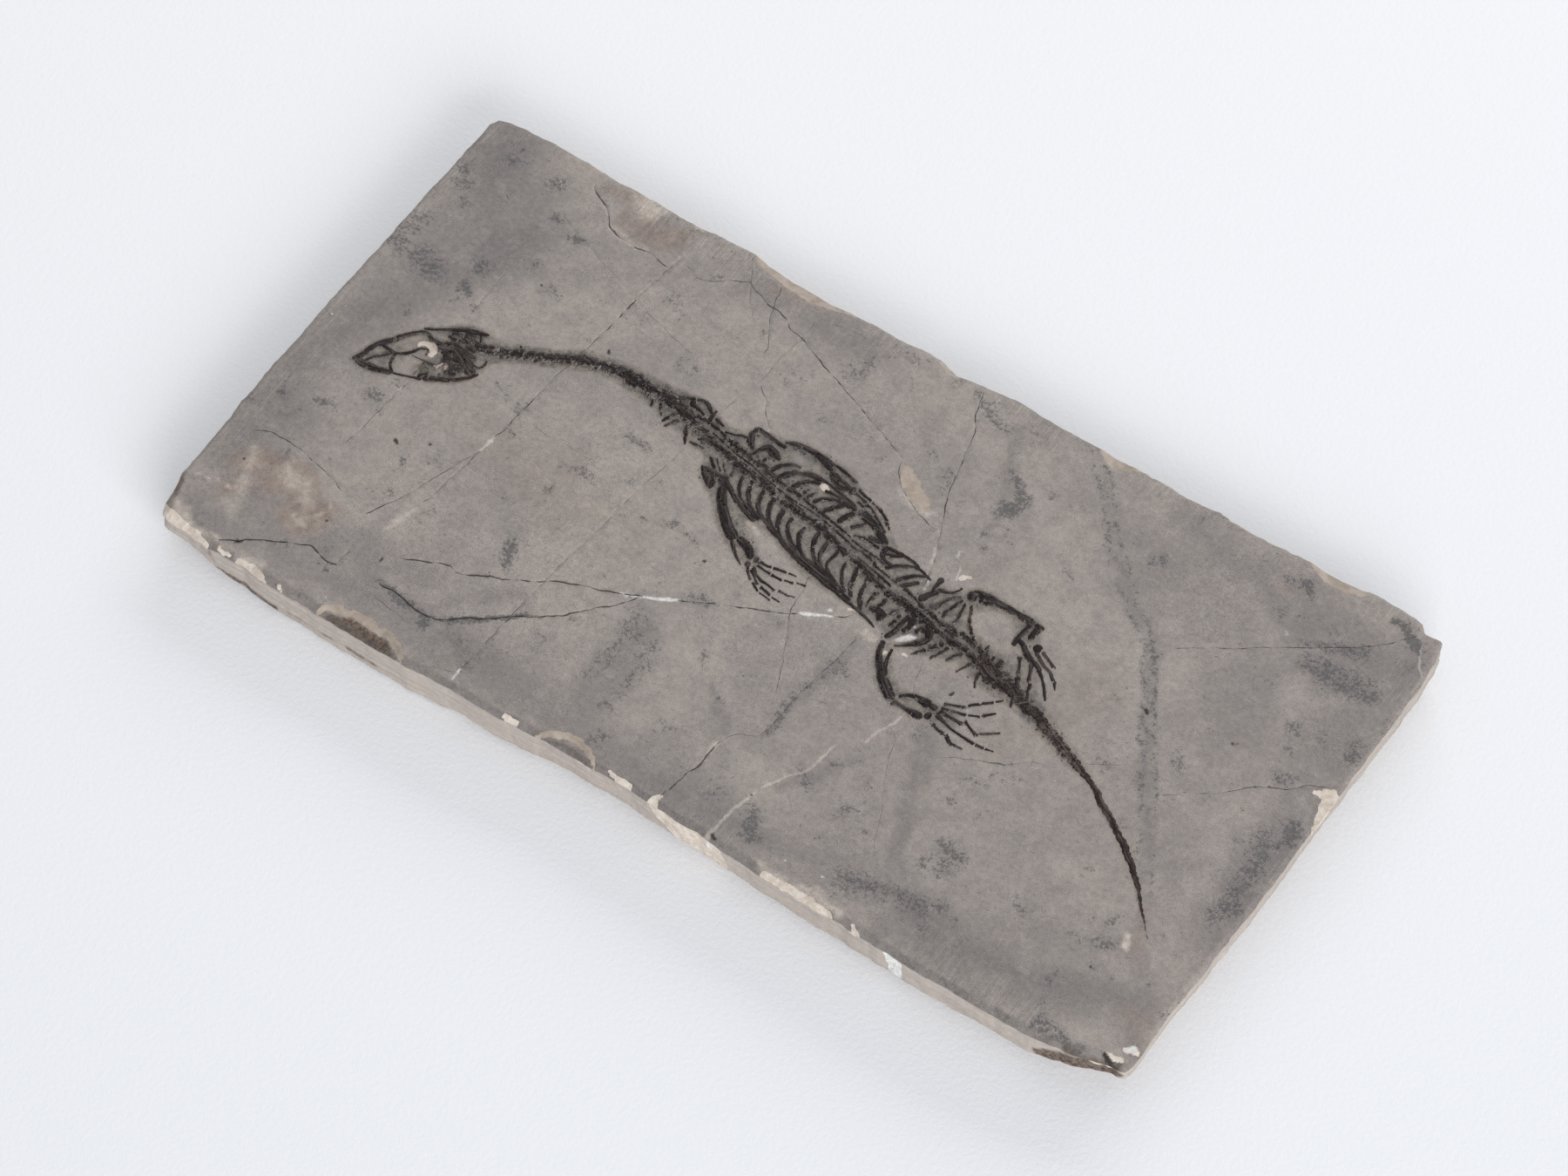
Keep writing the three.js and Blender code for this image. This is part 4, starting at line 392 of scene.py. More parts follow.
# {name of the CAD node: (kind of bone, stroke, stroke, ...)}, with strokes as above.
BONES = {
    "skull": ("skull",
        ((-126.6, -6.5, .8), (-124.5, -6.8, 1.1), (-121.5, -6.5, 1.15), (-118.5, -5.9, .9),
         (-116.4, -5.2, .6)),
        ((-126.3, -6.2, .85), (-125.6, -3.8, .85), (-125, -1.2, .8), (-123.8, .9, .95), (-122.3, 2.8, 1),
         (-121, 5, .85), (-119.2, 7.4, .75), (-117.2, 9.2, .75), (-115.5, 9.4, .6), (-113.8, 8.6, .7)),
        ((-124.2, .7, .5), (-121.6, .4, .5), (-118.9, .2, .5)),
        ((-120.3, -.6, .45), (-121.5, -2.2, .4), (-122.7, -3.4, .4), (-123.9, -5.3, .4)),
        ((-118.9, .1, .5), (-118.7, -1.8, .5), (-118, -3.5, .45), (-116.6, -4.8, .5)),
        ((-118.9, .2, .5), (-117.1, 1.4, .55), (-115.8, 3, .5), (-115.1, 4.4, .45), (-113.9, 5.4, .35),
         (-112.9, 5.5, .3), (-112.6, 4, .25)),
        ((-115.3, 2, .2), (-112.5, 2.2, .25), (-110.5, 2.4, .3), (-108.3, 2.6, .35)),
        ((-111.7, 1.8, .2), (-111.5, -.5, .2), (-111.6, -2.8, .2)),
        ((-110.4, 1.2, .8), (-109.8, -.8, 1.2), (-110.2, -2.4, .5)),
        ((-116.4, -5.1, .4), (-114, -4.4, .35), (-111.8, -3.6, .4), (-109.5, -2.8, .5)),
        ((-108.2, 2.5, .5), (-107.8, 4.4, .5), (-108.1, 6.3, .7), (-109.8, 7.6, .9)),
        ((-110.9, 11.9, .5), (-109.2, 12.2, 1), (-108, 13.4, 1), (-106.9, 14.7, .8), (-105.6, 15.2, .5)),
        ((-107.6, 5, .5), (-105.6, 4.7, .9), (-103.6, 5, 1.1), (-101.6, 6.2, .9), (-100.7, 7.8, .6)),
        ((-106.4, 17.2, .3), (-104.6, 16.4, .3), (-103.6, 14.8, .25)),
        ((-101, 8.2, .3), (-99.5, 7.9, .3), (-98.7, 9.2, .35), (-98.9, 10.8, .3)),
        ((-113.8, 8.7, .7), (-111, 8.2, 1.5), (-108.6, 9, 2.2), (-106, 8.6, 2.6), (-103.5, 7.5, 2.4),
         (-101.3, 6.5, 1.8), (-99.9, 6, .9)),
        ((-110.5, 13.2, .7), (-108, 13, 1.6), (-105.8, 12, 2), (-103.8, 11.8, 1.2)),
        ((-104.8, 3.2, .6), (-103.2, 4.6, .9)),
        ((-108.6, 10.7, .9), (-106.2, 10.5, 1.3), (-103.6, 9.7, 1.2), (-102, 9.9, .7)),
        ((-108.2, 6.9, .8), (-105.8, 6.6, 1.2), (-103.4, 6.3, 1)),
        ((-105.8, 14.5, .7), (-104.4, 13.8, .9), (-102.8, 12.8, .8)),
        ((-106.6, 3.8, .5), (-105.2, 2.4, .7), (-103.4, 3, .6)),
    ),
    "jaw_right": ("jaw",
        ((-117.4, 10.5, .35), (-114.8, 12, .45), (-112, 13.7, .5), (-109.6, 15.2, .7), (-107.2, 16.2, .9),
         (-105, 17, .7), (-103.2, 17.6, .4)),
    ),
    "jaw_left": ("jaw",
        ((-108.4, -1.9, .9), (-107, -1.1, .9), (-105.2, -.1, .75), (-103.2, 1, .6), (-101.2, 2.6, .65),
         (-99.5, 4.4, .5), (-98.4, 6.2, .3)),
    ),
    "neck_vertebrae": ("neck",
        ((-102.3, 13, 1.5), (-100, 14, 1.75), (-98, 14.7, 1.85), (-95, 16.3, 1.75), (-92, 18, 1.6),
         (-90, 18.6, 1.75), (-87.5, 19.9, 1.5), (-85, 21, 1.6), (-83, 22.2, 1.6), (-80.5, 23.8, 1.8),
         (-78.5, 25, 2.1), (-76.5, 24.7, 1.8), (-74.8, 25.6, 1.1), (-73, 26.4, 1.75), (-71, 26.3, 1.65),
         (-69, 26.8, 1.9), (-67, 26.7, 2.1), (-65, 26.7, 2.1), (-64, 26.6, 2.4), (-62.5, 26.6, 1.9),
         (-61, 26, 2.1), (-59.5, 26.3, 1.9), (-58, 26.5, 2.2), (-56, 26.6, 2.3), (-54.5, 26.4, 2.2)),
        ((-57.8, 23.8, .45), (-57.5, 22.6, .4)),
        ((-55.5, 24, .6), (-54.8, 22.6, .6), (-53.8, 21.5, .3)),
    ),
    "back_vertebrae": ("back",
        ((-54.5, 26.4, 2.2), (-52, 26, 2.2), (-50, 25.5, 2), (-48, 24.9, 1.9), (-46, 24.2, 1.7),
         (-44, 23.4, 1.6), (-42, 22.4, 1.9), (-40, 21.8, 1.7), (-38, 21.4, 1.4)),
        ((-46, 26, .8), (-44, 26, .9), (-42, 26, .6), (-40, 25.8, .6), (-37.8, 25.3, .4)),
        ((-38, 25.2, .5), (-36, 24.4, 1.1), (-33.5, 23.9, 1.1), (-31, 23.3, 1.2), (-28.5, 22.9, 1.1),
         (-26, 22.6, 1), (-23.5, 22.3, 1.1), (-21.5, 21.4, 1), (-19, 21, 1.1), (-16.5, 20.6, .9),
         (-14, 20.5, .8), (-11.5, 20.1, .7), (-9, 19.8, .6), (-5, 18.9, .5), (0, 18.1, .45), (3, 17.4, .4),
         (5, 17, .3)),
        ((-38.5, 21.2, 1), (-36, 21.1, 1.1), (-33.5, 20.4, 1.15), (-31, 19.9, 1.15), (-28.5, 19.4, 1.15),
         (-26, 18.8, 1.1), (-23.5, 18.5, 1.1), (-21, 18.1, 1.2), (-19, 17.6, 1.2), (-17, 16.9, .9),
         (-14.5, 16.3, 1), (-12, 16.2, 1), (-9.5, 15.9, 1), (-7, 15.6, 1.1), (-4.5, 15.6, 1.2),
         (-2, 15.3, 1.5), (.5, 14.4, 1.4), (3, 13.6, 1.2), (5, 12.9, 1.1), (7, 12.3, 1.1), (9, 12, .9),
         (11.5, 11.5, .8), (13.5, 10.6, 1), (15.5, 10.1, 1.1), (18, 9.2, 1), (20, 8.6, .9), (22, 8.2, 1),
         (24, 8, 1.3), (26, 8.1, 1.5), (28, 7.8, 1.5), (30, 7.2, 1.5), (32.5, 6.7, 1.3), (35, 6.2, 1.2),
         (37, 5.7, .8)),
        ((-40, 24, .22), (-35.7, 23, .25), (-32, 22, .25), (-27, 21.3, .3), (-22, 20, .25),
         (-17, 18.9, .25), (-11.8, 18.2, .25), (-6, 17.9, .25), (-2, 17.1, .3), (1, 16.6, .35),
         (5, 15.6, .35), (8, 14.7, .4), (11, 14.6, .5), (13.5, 13.8, .65), (16, 13, .4), (19, 12.4, .35),
         (22, 11.9, .4), (25, 11.6, .5), (28, 10.6, .45), (30, 10, .4)),
        ((5.8, 17.8, .35), (8, 18.4, .6), (10.5, 18.3, .55), (12.5, 18, .5)),
        ((6, 16.4, .3), (9, 15.9, .35), (12, 15.6, .35), (15, 15.2, .35), (17.5, 14.2, .4)),
        ((10, 13, .3), (13, 12.3, .35), (16, 11.7, .35), (19, 10.9, .4), (21, 10.4, .4)),
        ((-30, 20.9, .2), (-25, 19.9, .2), (-20, 19.1, .2), (-14, 17.9, .2), (-8, 17, .2)),
        ((-51.3, 23.4, .55), (-52, 21.6, .5), (-52.5, 20.2, .4)),
        ((-49.4, 22.3, .55), (-50.4, 20.9, .55), (-51.1, 19.3, .35)),
        ((-46.6, 22.3, .5), (-45.9, 20.6, .6), (-44.9, 18.8, .5), (-44.1, 17.5, .3)),
        ((-43.1, 18.6, .4), (-41.4, 18.7, .45), (-39.6, 18.8, .4)),
        ((-36.4, 17.6, .4), (-35.2, 16.6, .55), (-33.9, 15.5, .4)),
        ((-34.8, 18.2, .25), (-33.6, 16.8, .3), (-32.2, 15.6, .25)),
        ((-32.8, 17.8, .35), (-31.8, 16.7, .3), (-30.6, 15.7, .3), (-29.4, 15.3, .2)),
        ((-29.6, 18, .4), (-29.2, 15.8, .4)),
        ((-28.5, 24.2, .3), (-27.8, 25.8, .45), (-27.4, 27.2, .5)),
        ((-24.9, 24.2, .6), (-24.6, 25.6, .6)),
        ((-11.5, 21.6, .5), (-11, 22.8, .4)),
        ((-10, 21.2, .6), (-9.2, 22.8, .5)),
        ((19.5, 7, .75), (19.4, 5.4, .65), (19.2, 4, .4), (19.5, 2.2, .3)),
        ((22.5, 6.1, .7), (22.2, 4.1, .65), (22.2, 2.3, .6)),
        ((26.7, 5.4, .45), (25.4, 3.4, .5), (24.4, 1.2, .5)),
        ((27.8, 4.5, .6), (27.6, 2.4, .65), (27.3, .6, .5)),
    ),
    "sacrum": ("back",
        ((30, 9.8, .6), (32, 9.2, .75), (34, 8.9, .75), (36, 8.3, .6)),
        ((36.8, 8, .9), (38.5, 7.7, .8)),
        ((39.5, 8.3, .8), (41.5, 7.8, .8)),
        ((39.5, 6.8, .6), (42.5, 6.9, .6)),
        ((37.4, 5.7, .7), (39.6, 5.3, .75), (41.5, 4.9, .8), (43.9, 4.9, 1.1), (46.4, 4.7, 1.1),
         (48.8, 4.1, 1), (51.2, 3.4, 1)),
        ((43.2, 8.2, .8), (46.1, 7.4, .8), (49, 6.6, .8), (51.4, 6, .8)),
        ((47.2, 8, .6), (47.6, 7.2, .6)),
        ((50.4, 9, .3), (50.2, 7.6, .35)),
        ((50.8, 8.4, .25), (51, 7, .3)),
        ((37.8, 16.2, .5), (37.1, 14, .5), (36.6, 12, .6), (36.5, 10.4, .75)),
        ((39, 16, .35), (39.5, 13.5, .45), (39.8, 11.2, .5), (39.6, 9.9, .5)),
        ((40.6, 16.5, .4), (41.8, 13.9, .4), (43, 11.7, .5), (44.8, 10, .5), (46.4, 8.4, .45)),
        ((40.4, 3.2, .85), (39.1, .5, .75), (37.8, -1.4, .65), (36.2, -3.3, .3)),
        ((42.5, 2.8, .45), (41.7, .6, .5), (40.6, -1.7, .4)),
        ((46.1, 3.2, .6), (45.1, 1.7, .5), (43.9, -.6, .3)),
        ((49.8, 2.7, .5), (49, 1, .45), (47.9, -1.6, .35)),
    ),
    "tail_base": ("tail",
        ((51.5, 4.4, 1.9), (53.5, 3.6, 2.5), (56, 2.3, 2.9), (58.5, 2.3, 2.8), (61, 2, 2.2), (63, 1, 1.9)),
        ((55.3, 6.6, 1), (55.3, 5, 1.1)),
        ((53.1, 6.9, .4), (53.3, 5.6, .5)),
        ((52.6, 1, .5), (53.1, -1.2, .4), (54, -2.9, .35)),
    ),
    "tail": ("tail",
        ((63, 1, 1.9), (65, .2, 1.8), (67, -.8, 1.5), (68.5, -1, 1.8), (70, -1.3, 1.6), (71.8, -1.8, 1.7),
         (73.5, -2.9, 1.4), (75, -3.4, 1.5), (77, -4.1, 1.5), (79.5, -5.1, 1.5), (82, -6.3, 1.4),
         (85, -7.5, 1.35), (88, -8.8, 1.1), (90, -9.5, .9), (92.3, -10.7, .75), (93.6, -11.4, .7),
         (94.8, -12.1, 1), (96, -13.4, .9), (97.5, -14.3, 1), (99.5, -15.4, .95), (101.5, -16.6, .95),
         (103.4, -18.1, .8), (104.9, -19.1, 1), (106.3, -19.9, .9), (107.8, -20.8, 1),
         (108.9, -22, .9), (110.2, -23.1, .95), (111.8, -24.1, .9), (113, -25.6, .8),
         (114.3, -26.8, .75), (115.7, -28, .7), (117, -29.4, .6), (118.4, -31.1, .52), (119.8, -32.9, .45),
         (121.2, -34.4, .38), (122.4, -35.6, .3), (123.7, -37.1, .18), (124.8, -38.5, .16),
         (125.9, -39.4, .1)),
    ),
    "clavicle_right": ("girdle",
        ((-52.8, 28.3, .6), (-51.3, 29.3, .6), (-49.8, 30.1, .45)),
        ((-48.7, 30.2, .35), (-47.9, 30.7, .5), (-46.1, 30.6, .55), (-44.9, 29.8, .5), (-44, 28.8, .4)),
    ),
    "clavicle_left": ("girdle",
        ((-49.5, 29.2, .7), (-48.9, 28.4, .8), (-47.2, 28.2, .6), (-45.2, 27.4, .35)),
    ),
    "interclavicle": ("girdle",
        ((-43.1, 29.8, .4), (-43.1, 27.8, .55), (-42.9, 26.2, .5)),
        ((-41.9, 28, .4), (-40.8, 27.6, .5), (-39.1, 27.1, .35)),
    ),
    "scapula_right": ("girdle",
        ((-31.5, 31, .95), (-32, 29.5, .75), (-31.5, 28, 1.05), (-30.6, 26.6, 1), (-29.4, 25.6, .5)),
        ((-31.4, 31.2, .85), (-29.5, 31.1, .75), (-27, 30.8, .75), (-24.8, 30.4, .65), (-23, 30.3, .5)),
        ((-32.6, 27.6, .3), (-33.8, 27.3, .3), (-35.1, 26.5, .3), (-37.7, 26, .3)),
    ),
    "coracoid_right": ("girdle",
        ((-28.3, 24.6, .3), (-27.6, 26.4, .65), (-26.4, 27.8, 1.1), (-24.8, 27.5, 1.3), (-23.6, 27, 1.1),
         (-22.4, 26.6, .6)),
    ),
    "scapula_left": ("girdle",
        ((-36.6, 14.3, .45), (-35.4, 13.5, .95), (-33.8, 12.7, 1.6), (-32.3, 11.5, 1.4), (-31.7, 10.2, .6)),
        ((-35.8, 14.4, .4), (-33.5, 14.4, .6), (-31.5, 14.4, .55), (-29.5, 14.8, .3)),
    ),
    "coracoid_left": ("girdle",
        ((-30.3, 13.3, 1), (-28.8, 12.9, 1.1), (-27.6, 12.4, .8)),
    ),
    "humerus_right": ("limb",
        ((-23.2, 31.7, .75), (-21.5, 32.4, .8), (-19.5, 32.8, .85), (-17, 33, .9), (-14.5, 32.8, 1),
         (-12.3, 32.3, 1.35), (-10.4, 31.8, 1.35)),
    ),
    "humerus_left": ("limb",
        ((-28.6, 11.1, 1.2), (-27.3, 9, 1.35), (-25.4, 6.7, 1.4), (-23.2, 4.5, 1.45), (-21, 2.6, 1.55),
         (-19.3, 1.5, 1.7)),
    ),
    "radius_right": ("forearm",
        ((-9.2, 32.7, .5), (-6.7, 32.3, .5), (-4.3, 31.7, .45), (-2.5, 31.2, .4)),
    ),
    "ulna_right": ("forearm",
        ((-8.5, 30, 1.15), (-7, 29.2, 1.5), (-5, 28.7, 1.5), (-3.7, 28.7, 1.2)),
    ),
    "radius_left": ("forearm",
        ((-16.5, 1.4, 1.2), (-15, 1, 1.3), (-13.2, 0, 1.25), (-12, -1.1, 1.05)),
    ),
    "ulna_left": ("forearm",
        ((-17.8, -.3, .65), (-16.7, -1.5, .55), (-15, -3, .5), (-12.6, -4.6, .3)),
    ),
    "carpal_right": ("wrist",
        ((-2, 29.3, .6), (-2, 28.2, .6)),
    ),
    "carpal_left_1": ("wrist",
        ((-10.1, -1.1, .6), (-10.1, -1.7, .6)),
    ),
    "carpal_left_2": ("wrist",
        (-11.2, -3.6, .75),
        (-10.4, -4.5, .35),
    ),
    "right_hand_digit_1": ("digit",
        ((-.8, 29.8, .35), (1, 29.2, .3), (3.5, 28.8, .25)),
        ((3.9, 28.5, .25), (6.6, 27.8, .3)),
        ((6.9, 27.6, .35), (9.8, 26, .25)),
        ((10, 25.6, .4), (10.7, 24.9, .3)),
        ((11, 24.7, .2), (11.9, 23.9, .2)),
    ),
    "right_hand_digit_2": ("digit",
        ((-.9, 28.4, .28), (.5, 28.2, .25), (2.4, 27.6, .28)),
        ((3.2, 27, .3), (4.4, 27, .25), (6.1, 26.1, .28)),
        ((6.6, 25.6, .28), (8.3, 24.8, .25), (9.8, 23.8, .22), (11.4, 22.7, .15)),
    ),
    "right_hand_digit_3": ("digit",
        ((1, 26.7, .25), (3, 26.1, .22)),
        ((3.9, 25.5, .22), (6.6, 24.8, .2)),
    ),
    "left_hand_digit_1": ("digit",
        ((-9, -1.4, .4), (-6.9, -1.4, .25), (-5.8, -1.1, .3)),
        ((-5.3, -1.1, .25), (-3.2, -.6, .35), (-1.8, -.5, .2)),
        ((-1.4, -.4, .15), (.7, 0, .1)),
    ),
    "left_hand_digit_2": ("digit",
        ((-9.1, -2.6, .35), (-6.9, -2.8, .2), (-5, -2.9, .3)),
        ((-4.6, -3, .35), (-1.7, -2.9, .25)),
        ((-1.1, -2.6, .2), (1.2, -2.1, .25)),
        ((1.8, -1.6, .15), (3.8, -1.1, .2)),
    ),
    "left_hand_digit_3": ("digit",
        ((-9.3, -3.6, .4), (-7.5, -5, .3), (-5.7, -5.8, .3)),
        ((-5.2, -5.8, .25), (-3.2, -6, .3), (-1.4, -6.5, .25)),
        ((-.6, -5.9, .3), (1.8, -5.8, .2)),
        ((2.1, -5.8, .15), (3.8, -5.3, .12)),
    ),
    "left_hand_digit_4": ("digit",
        ((-9.6, -4.4, .35), (-7.7, -5.8, .25), (-5.8, -7.3, .3)),
        ((-4.9, -7.4, .4), (-3.2, -7.7, .3), (-1.5, -8.2, .25)),
        ((-.9, -8.4, .18), (1.5, -8.5, .12)),
    ),
    "left_hand_digit_5": ("digit",
        ((-10.3, -5, .25), (-9.1, -6.1, .25), (-8, -7, .3)),
        ((-7.2, -7.4, .3), (-5.8, -8.2, .25), (-4.6, -8.9, .2)),
        ((-4.2, -8.9, .15), (-.7, -9.4, .12)),
    ),
    "ribs_left": ("rib",
        ((-29.2, 14, .45), (-26.6, 12.2, .6), (-24.4, 10.7, .6), (-22, 9.7, .6), (-19.4, 8.6, .6),
         (-17.2, 7.8, .4)),
        ((-26.6, 16.9, .4), (-25.9, 14.8, .45), (-24.8, 13, .4), (-23.5, 11.7, .35), (-21.6, 10.8, .35),
         (-19, 9.6, .35), (-16.6, 8.7, .25)),
        ((-24, 17.8, .55), (-23.3, 15.4, .6), (-22.7, 13.9, .6), (-21.6, 12.4, .45), (-20.4, 11.3, .4),
         (-18.5, 10.1, .35), (-16, 9.4, .3)),
        ((-20.1, 17, .45), (-19.6, 14.5, .55), (-19, 12.6, .6), (-17.5, 10.8, .5), (-15.7, 9.8, .45),
         (-13.3, 8.7, .35)),
        ((-16.6, 16.2, .4), (-16.4, 14.3, .6), (-15.7, 12.4, .6), (-14.8, 10.8, .5), (-12.9, 9.1, .45),
         (-10.7, 7.9, .35)),
        ((-12.6, 14.1, .5), (-12.5, 12.3, .7), (-11.5, 9.9, .55), (-10.1, 8.3, .45), (-8.6, 7.2, .35)),
        ((-9.7, 13.4, .5), (-9.3, 11.3, .55), (-8.1, 9.5, .5), (-6.4, 7.9, .45), (-3.8, 6.5, .35)),
        ((-5.5, 12.8, .4), (-5.6, 10.8, .6), (-4.5, 8.8, .5), (-3.1, 7.1, .45), (-1.2, 6, .35)),
        ((-1.9, 13.8, .45), (-1.6, 11.5, .6), (-.9, 9.5, .55), (.1, 8.1, .5), (1.6, 6.6, .45),
         (3.9, 5.3, .4), (6.8, 3.9, .3)),
        ((1.2, 13.1, .4), (1.5, 10.7, .5), (1.8, 8.6, .45), (2.8, 6.9, .4), (4.4, 5.5, .35),
         (7.3, 4.3, .3)),
        ((4.7, 12.3, .35), (5, 10, .45), (4.7, 7.8, .3), (5.2, 6.5, .3), (6.8, 5.2, .35), (9.3, 4, .3)),
        ((8.5, 9.6, .35), (8.8, 7.8, .4), (9.8, 6.1, .35), (11.2, 4.3, .35), (12.7, 3, .3)),
        ((11.5, 10, .5), (12.2, 8.1, .6), (12.7, 6, .55), (13.5, 4.2, .45), (14.8, 2.7, .35)),
        ((15.3, 9.6, .5), (15.7, 7.4, .6), (16.1, 5.4, .55), (16.8, 3.7, .6), (17.7, 2.2, .6),
         (18.6, .8, .4)),
        ((-13, 8.1, .35), (-9.2, 6.9, .4), (-6, 5.6, .4), (-2, 4.2, .45), (1.5, 3.4, .5), (5, 2.7, .5),
         (8, 2, .5), (11, 1.6, .45), (14, .9, .45), (17, .3, .4), (20, -.3, .4), (22.4, -1, .35),
         (24.4, -1.8, .2)),
        ((-10, 7.8, .35), (-6, 6.4, .35), (-2, 5.1, .4), (2, 4.2, .4), (6, 3.4, .45), (9, 2.9, .45),
         (12, 2.2, .4), (15, 1.5, .35)),
        ((-1.5, 5.9, .35), (2, 5.2, .35), (6, 4.3, .4), (9.5, 3.6, .4), (12.5, 2.8, .3)),
        ((21.2, 2.4, .8), (23.4, 2.4, 1.2), (24, 1, .8)),
    ),
    "ribs_right": ("rib",
        ((-21.6, 23.2, .6), (-20.9, 25, .55), (-20, 25.9, .4), (-18.6, 26.9, .4), (-16.6, 27.4, .35)),
        ((-19.2, 22, .7), (-18.1, 23.6, .85), (-16.8, 25.2, .7), (-15.4, 25.9, .45), (-12.9, 26.6, .4),
         (-10.1, 26.8, .3)),
        ((-14.6, 21.8, .7), (-14, 23.2, .75), (-12.7, 24.7, .6), (-11.2, 25.6, .5), (-9.9, 26, .35)),
        ((-14.8, 26.7, .3), (-12.9, 27.3, .35), (-10.1, 27.4, .35), (-6.7, 26.9, .35), (-4.3, 26.5, .35),
         (-1.9, 26, .4), (.5, 25.4, .4)),
        ((-7.4, 25, .3), (-5, 25.2, .3), (-2, 25.1, .35), (.5, 24.7, .45)),
        ((-7.9, 21, .55), (-7.2, 22.1, .5), (-5.5, 23.3, .5), (-3.6, 24, .5), (-1.4, 24.3, .5),
         (1, 24.3, .55)),
        ((-4.2, 20, .55), (-3.4, 21.4, .65), (-2.6, 22.6, .6), (-1.2, 23.8, .4)),
        ((.3, 19.7, .7), (.8, 21.2, .7), (1.75, 23, .7)),
        ((3.9, 19.6, .45), (4.9, 20.8, .4), (6.1, 22.2, .4)),
        ((.5, 24.5, .8), (3, 24.3, 1), (5.4, 23.8, 1.1), (7.6, 23.3, 1.1), (9.4, 22.4, 1),
         (11.2, 21.4, .9), (12.8, 20.4, .8), (13.7, 19.2, .7), (14.3, 17.8, .9), (14.7, 16.6, .7)),
        ((9.3, 19.6, .5), (11.5, 19.6, .5), (14, 19.5, .5), (16, 19.5, .45), (18.7, 19.6, .45),
         (20.8, 19.5, .4), (22.6, 19.2, .35), (23.9, 18.8, .25)),
        ((15.2, 17.6, .5), (16.8, 18.2, .5), (18.6, 19.2, .45)),
        ((17.4, 14.3, .4), (18.7, 15.7, .45), (20.2, 16.7, .4), (22.1, 17.8, .4), (24.1, 18.3, .35),
         (26, 18, .3), (28.2, 17.2, .2)),
        ((15.1, 16.1, .4), (17.2, 15.6, .35), (18.6, 15.7, .3)),
        ((21.5, 12.8, .45), (22.6, 14.3, .5), (24.1, 15.8, .5), (25.5, 16.8, .45), (26.7, 17.4, .3)),
        ((23.4, 12, .45), (24.7, 13.4, .5), (26, 14.8, .5)),
    ),
    "ilium_right": ("girdle",
        ((30.4, 18.6, .9), (30.3, 17.2, .65), (30.2, 15.6, .4), (30.6, 14.3, .7), (30, 12.8, .95),
         (29.4, 11.7, 1.1)),
    ),
    "pubis_right": ("girdle",
        ((35.8, 19.2, .35), (35.2, 17.8, .35), (33.8, 16.6, .4), (32.3, 16.1, .65), (31.4, 15.2, .7),
         (30.9, 14, .5)),
        ((37, 17.2, .25), (35.6, 15.7, .4), (34.6, 14.5, .45), (34, 12.9, .5), (33.4, 11.3, .85),
         (32.6, 11, .6)),
    ),
    "ilium_left": ("girdle",
        ((29.6, 5.2, .6), (29.3, 2.6, .75), (29.1, 0, .7), (28.5, -2.2, .8)),
    ),
    "ischium_left": ("girdle",
        ((31.2, 4.9, 1.1), (31.4, 3, .8), (31, 1.4, .7)),
        ((33.6, 2.9, .7), (34.6, 4.2, 1.2), (36, 4.4, 1.2), (36.9, 3.2, 1)),
        ((37.2, 2.8, .8), (36.2, .6, .9), (34.6, -1, .7), (32.8, -2.7, .35), (31.5, -3.5, .3)),
    ),
    "femur_right": ("limb",
        ((39.1, 19, 1.35), (39.2, 18.6, 1.3)),
        ((39.4, 20.4, .7), (41, 20.5, 1.1), (42.6, 20.3, 1.6), (44.4, 20.4, 1.35), (46.5, 20.5, 1.05),
         (49, 20.6, 1), (52, 20.5, 1), (54, 20.4, 1.15), (55, 20.4, 1.15)),
        ((41.8, 18.8, .7), (43.2, 19.2, .8)),
    ),
    "femur_left": ("limb",
        ((28.6, -4.5, .8), (29.6, -7.5, .9), (31.6, -10.2, 1), (34, -12.7, 1.35), (36.5, -14.8, 1.5),
         (38.5, -16.2, 1.45)),
        ((31.6, -5, .4), (32.2, -8, .5), (33.2, -10.4, .7), (34.5, -12.2, .8)),
    ),
    "tibia_right": ("forearm",
        ((55.4, 19.2, .6), (55.3, 17.6, .75), (54.9, 15.6, .65), (54.9, 14, .8), (55, 12.9, .7)),
    ),
    "fibula_right": ("forearm",
        ((57.1, 20.3, .9), (58, 20.3, .9)),
        ((57.6, 20, 1.15), (57.6, 18.9, .95), (57.4, 17.4, .95), (57.4, 16.5, .75)),
    ),
    "tibia_left": ("forearm",
        ((40.6, -15, .45), (42, -13.7, .55), (43.6, -13.1, .75), (45.3, -13.1, 1), (46.9, -13.1, 1.35)),
    ),
    "fibula_left": ("forearm",
        ((40.3, -17.9, .6), (40.9, -17.1, .7), (43.1, -17.3, .5), (45.3, -17.3, .95), (47.2, -17.3, 1.25)),
    ),
    "tarsals_right": ("wrist",
        ((56, 14.3, .6), (57.3, 13.6, .7), (58.6, 12.5, .75), (60, 11.6, .85), (61.4, 11, .7),
         (62.8, 10.7, .55), (64.2, 9.9, .5)),
    ),
    "tarsal_left_1": ("wrist",
        ((48.8, -13.2, .85), (49.3, -13.2, .8)),
    ),
    "tarsal_left_2": ("wrist",
        ((49.2, -15.7, .8), (49.2, -16.2, .8)),
    ),
    "right_foot_digit_1": ("digit",
        ((58.2, 10.4, .5), (59.1, 9.1, .35), (59.9, 7.5, .3), (60.5, 6.4, .35)),
        ((61, 5.3, .5), (61.8, 3.7, .4), (62.6, 1.9, .35), (63.2, -.4, .3), (63.8, -1.8, .25),
         (64.3, -3.1, .1)),
    ),
    "right_foot_digit_2": ("digit",
        ((61.8, 10.2, .45), (62.4, 8.9, .4), (63.1, 7.2, .35), (63.8, 5.9, .4)),
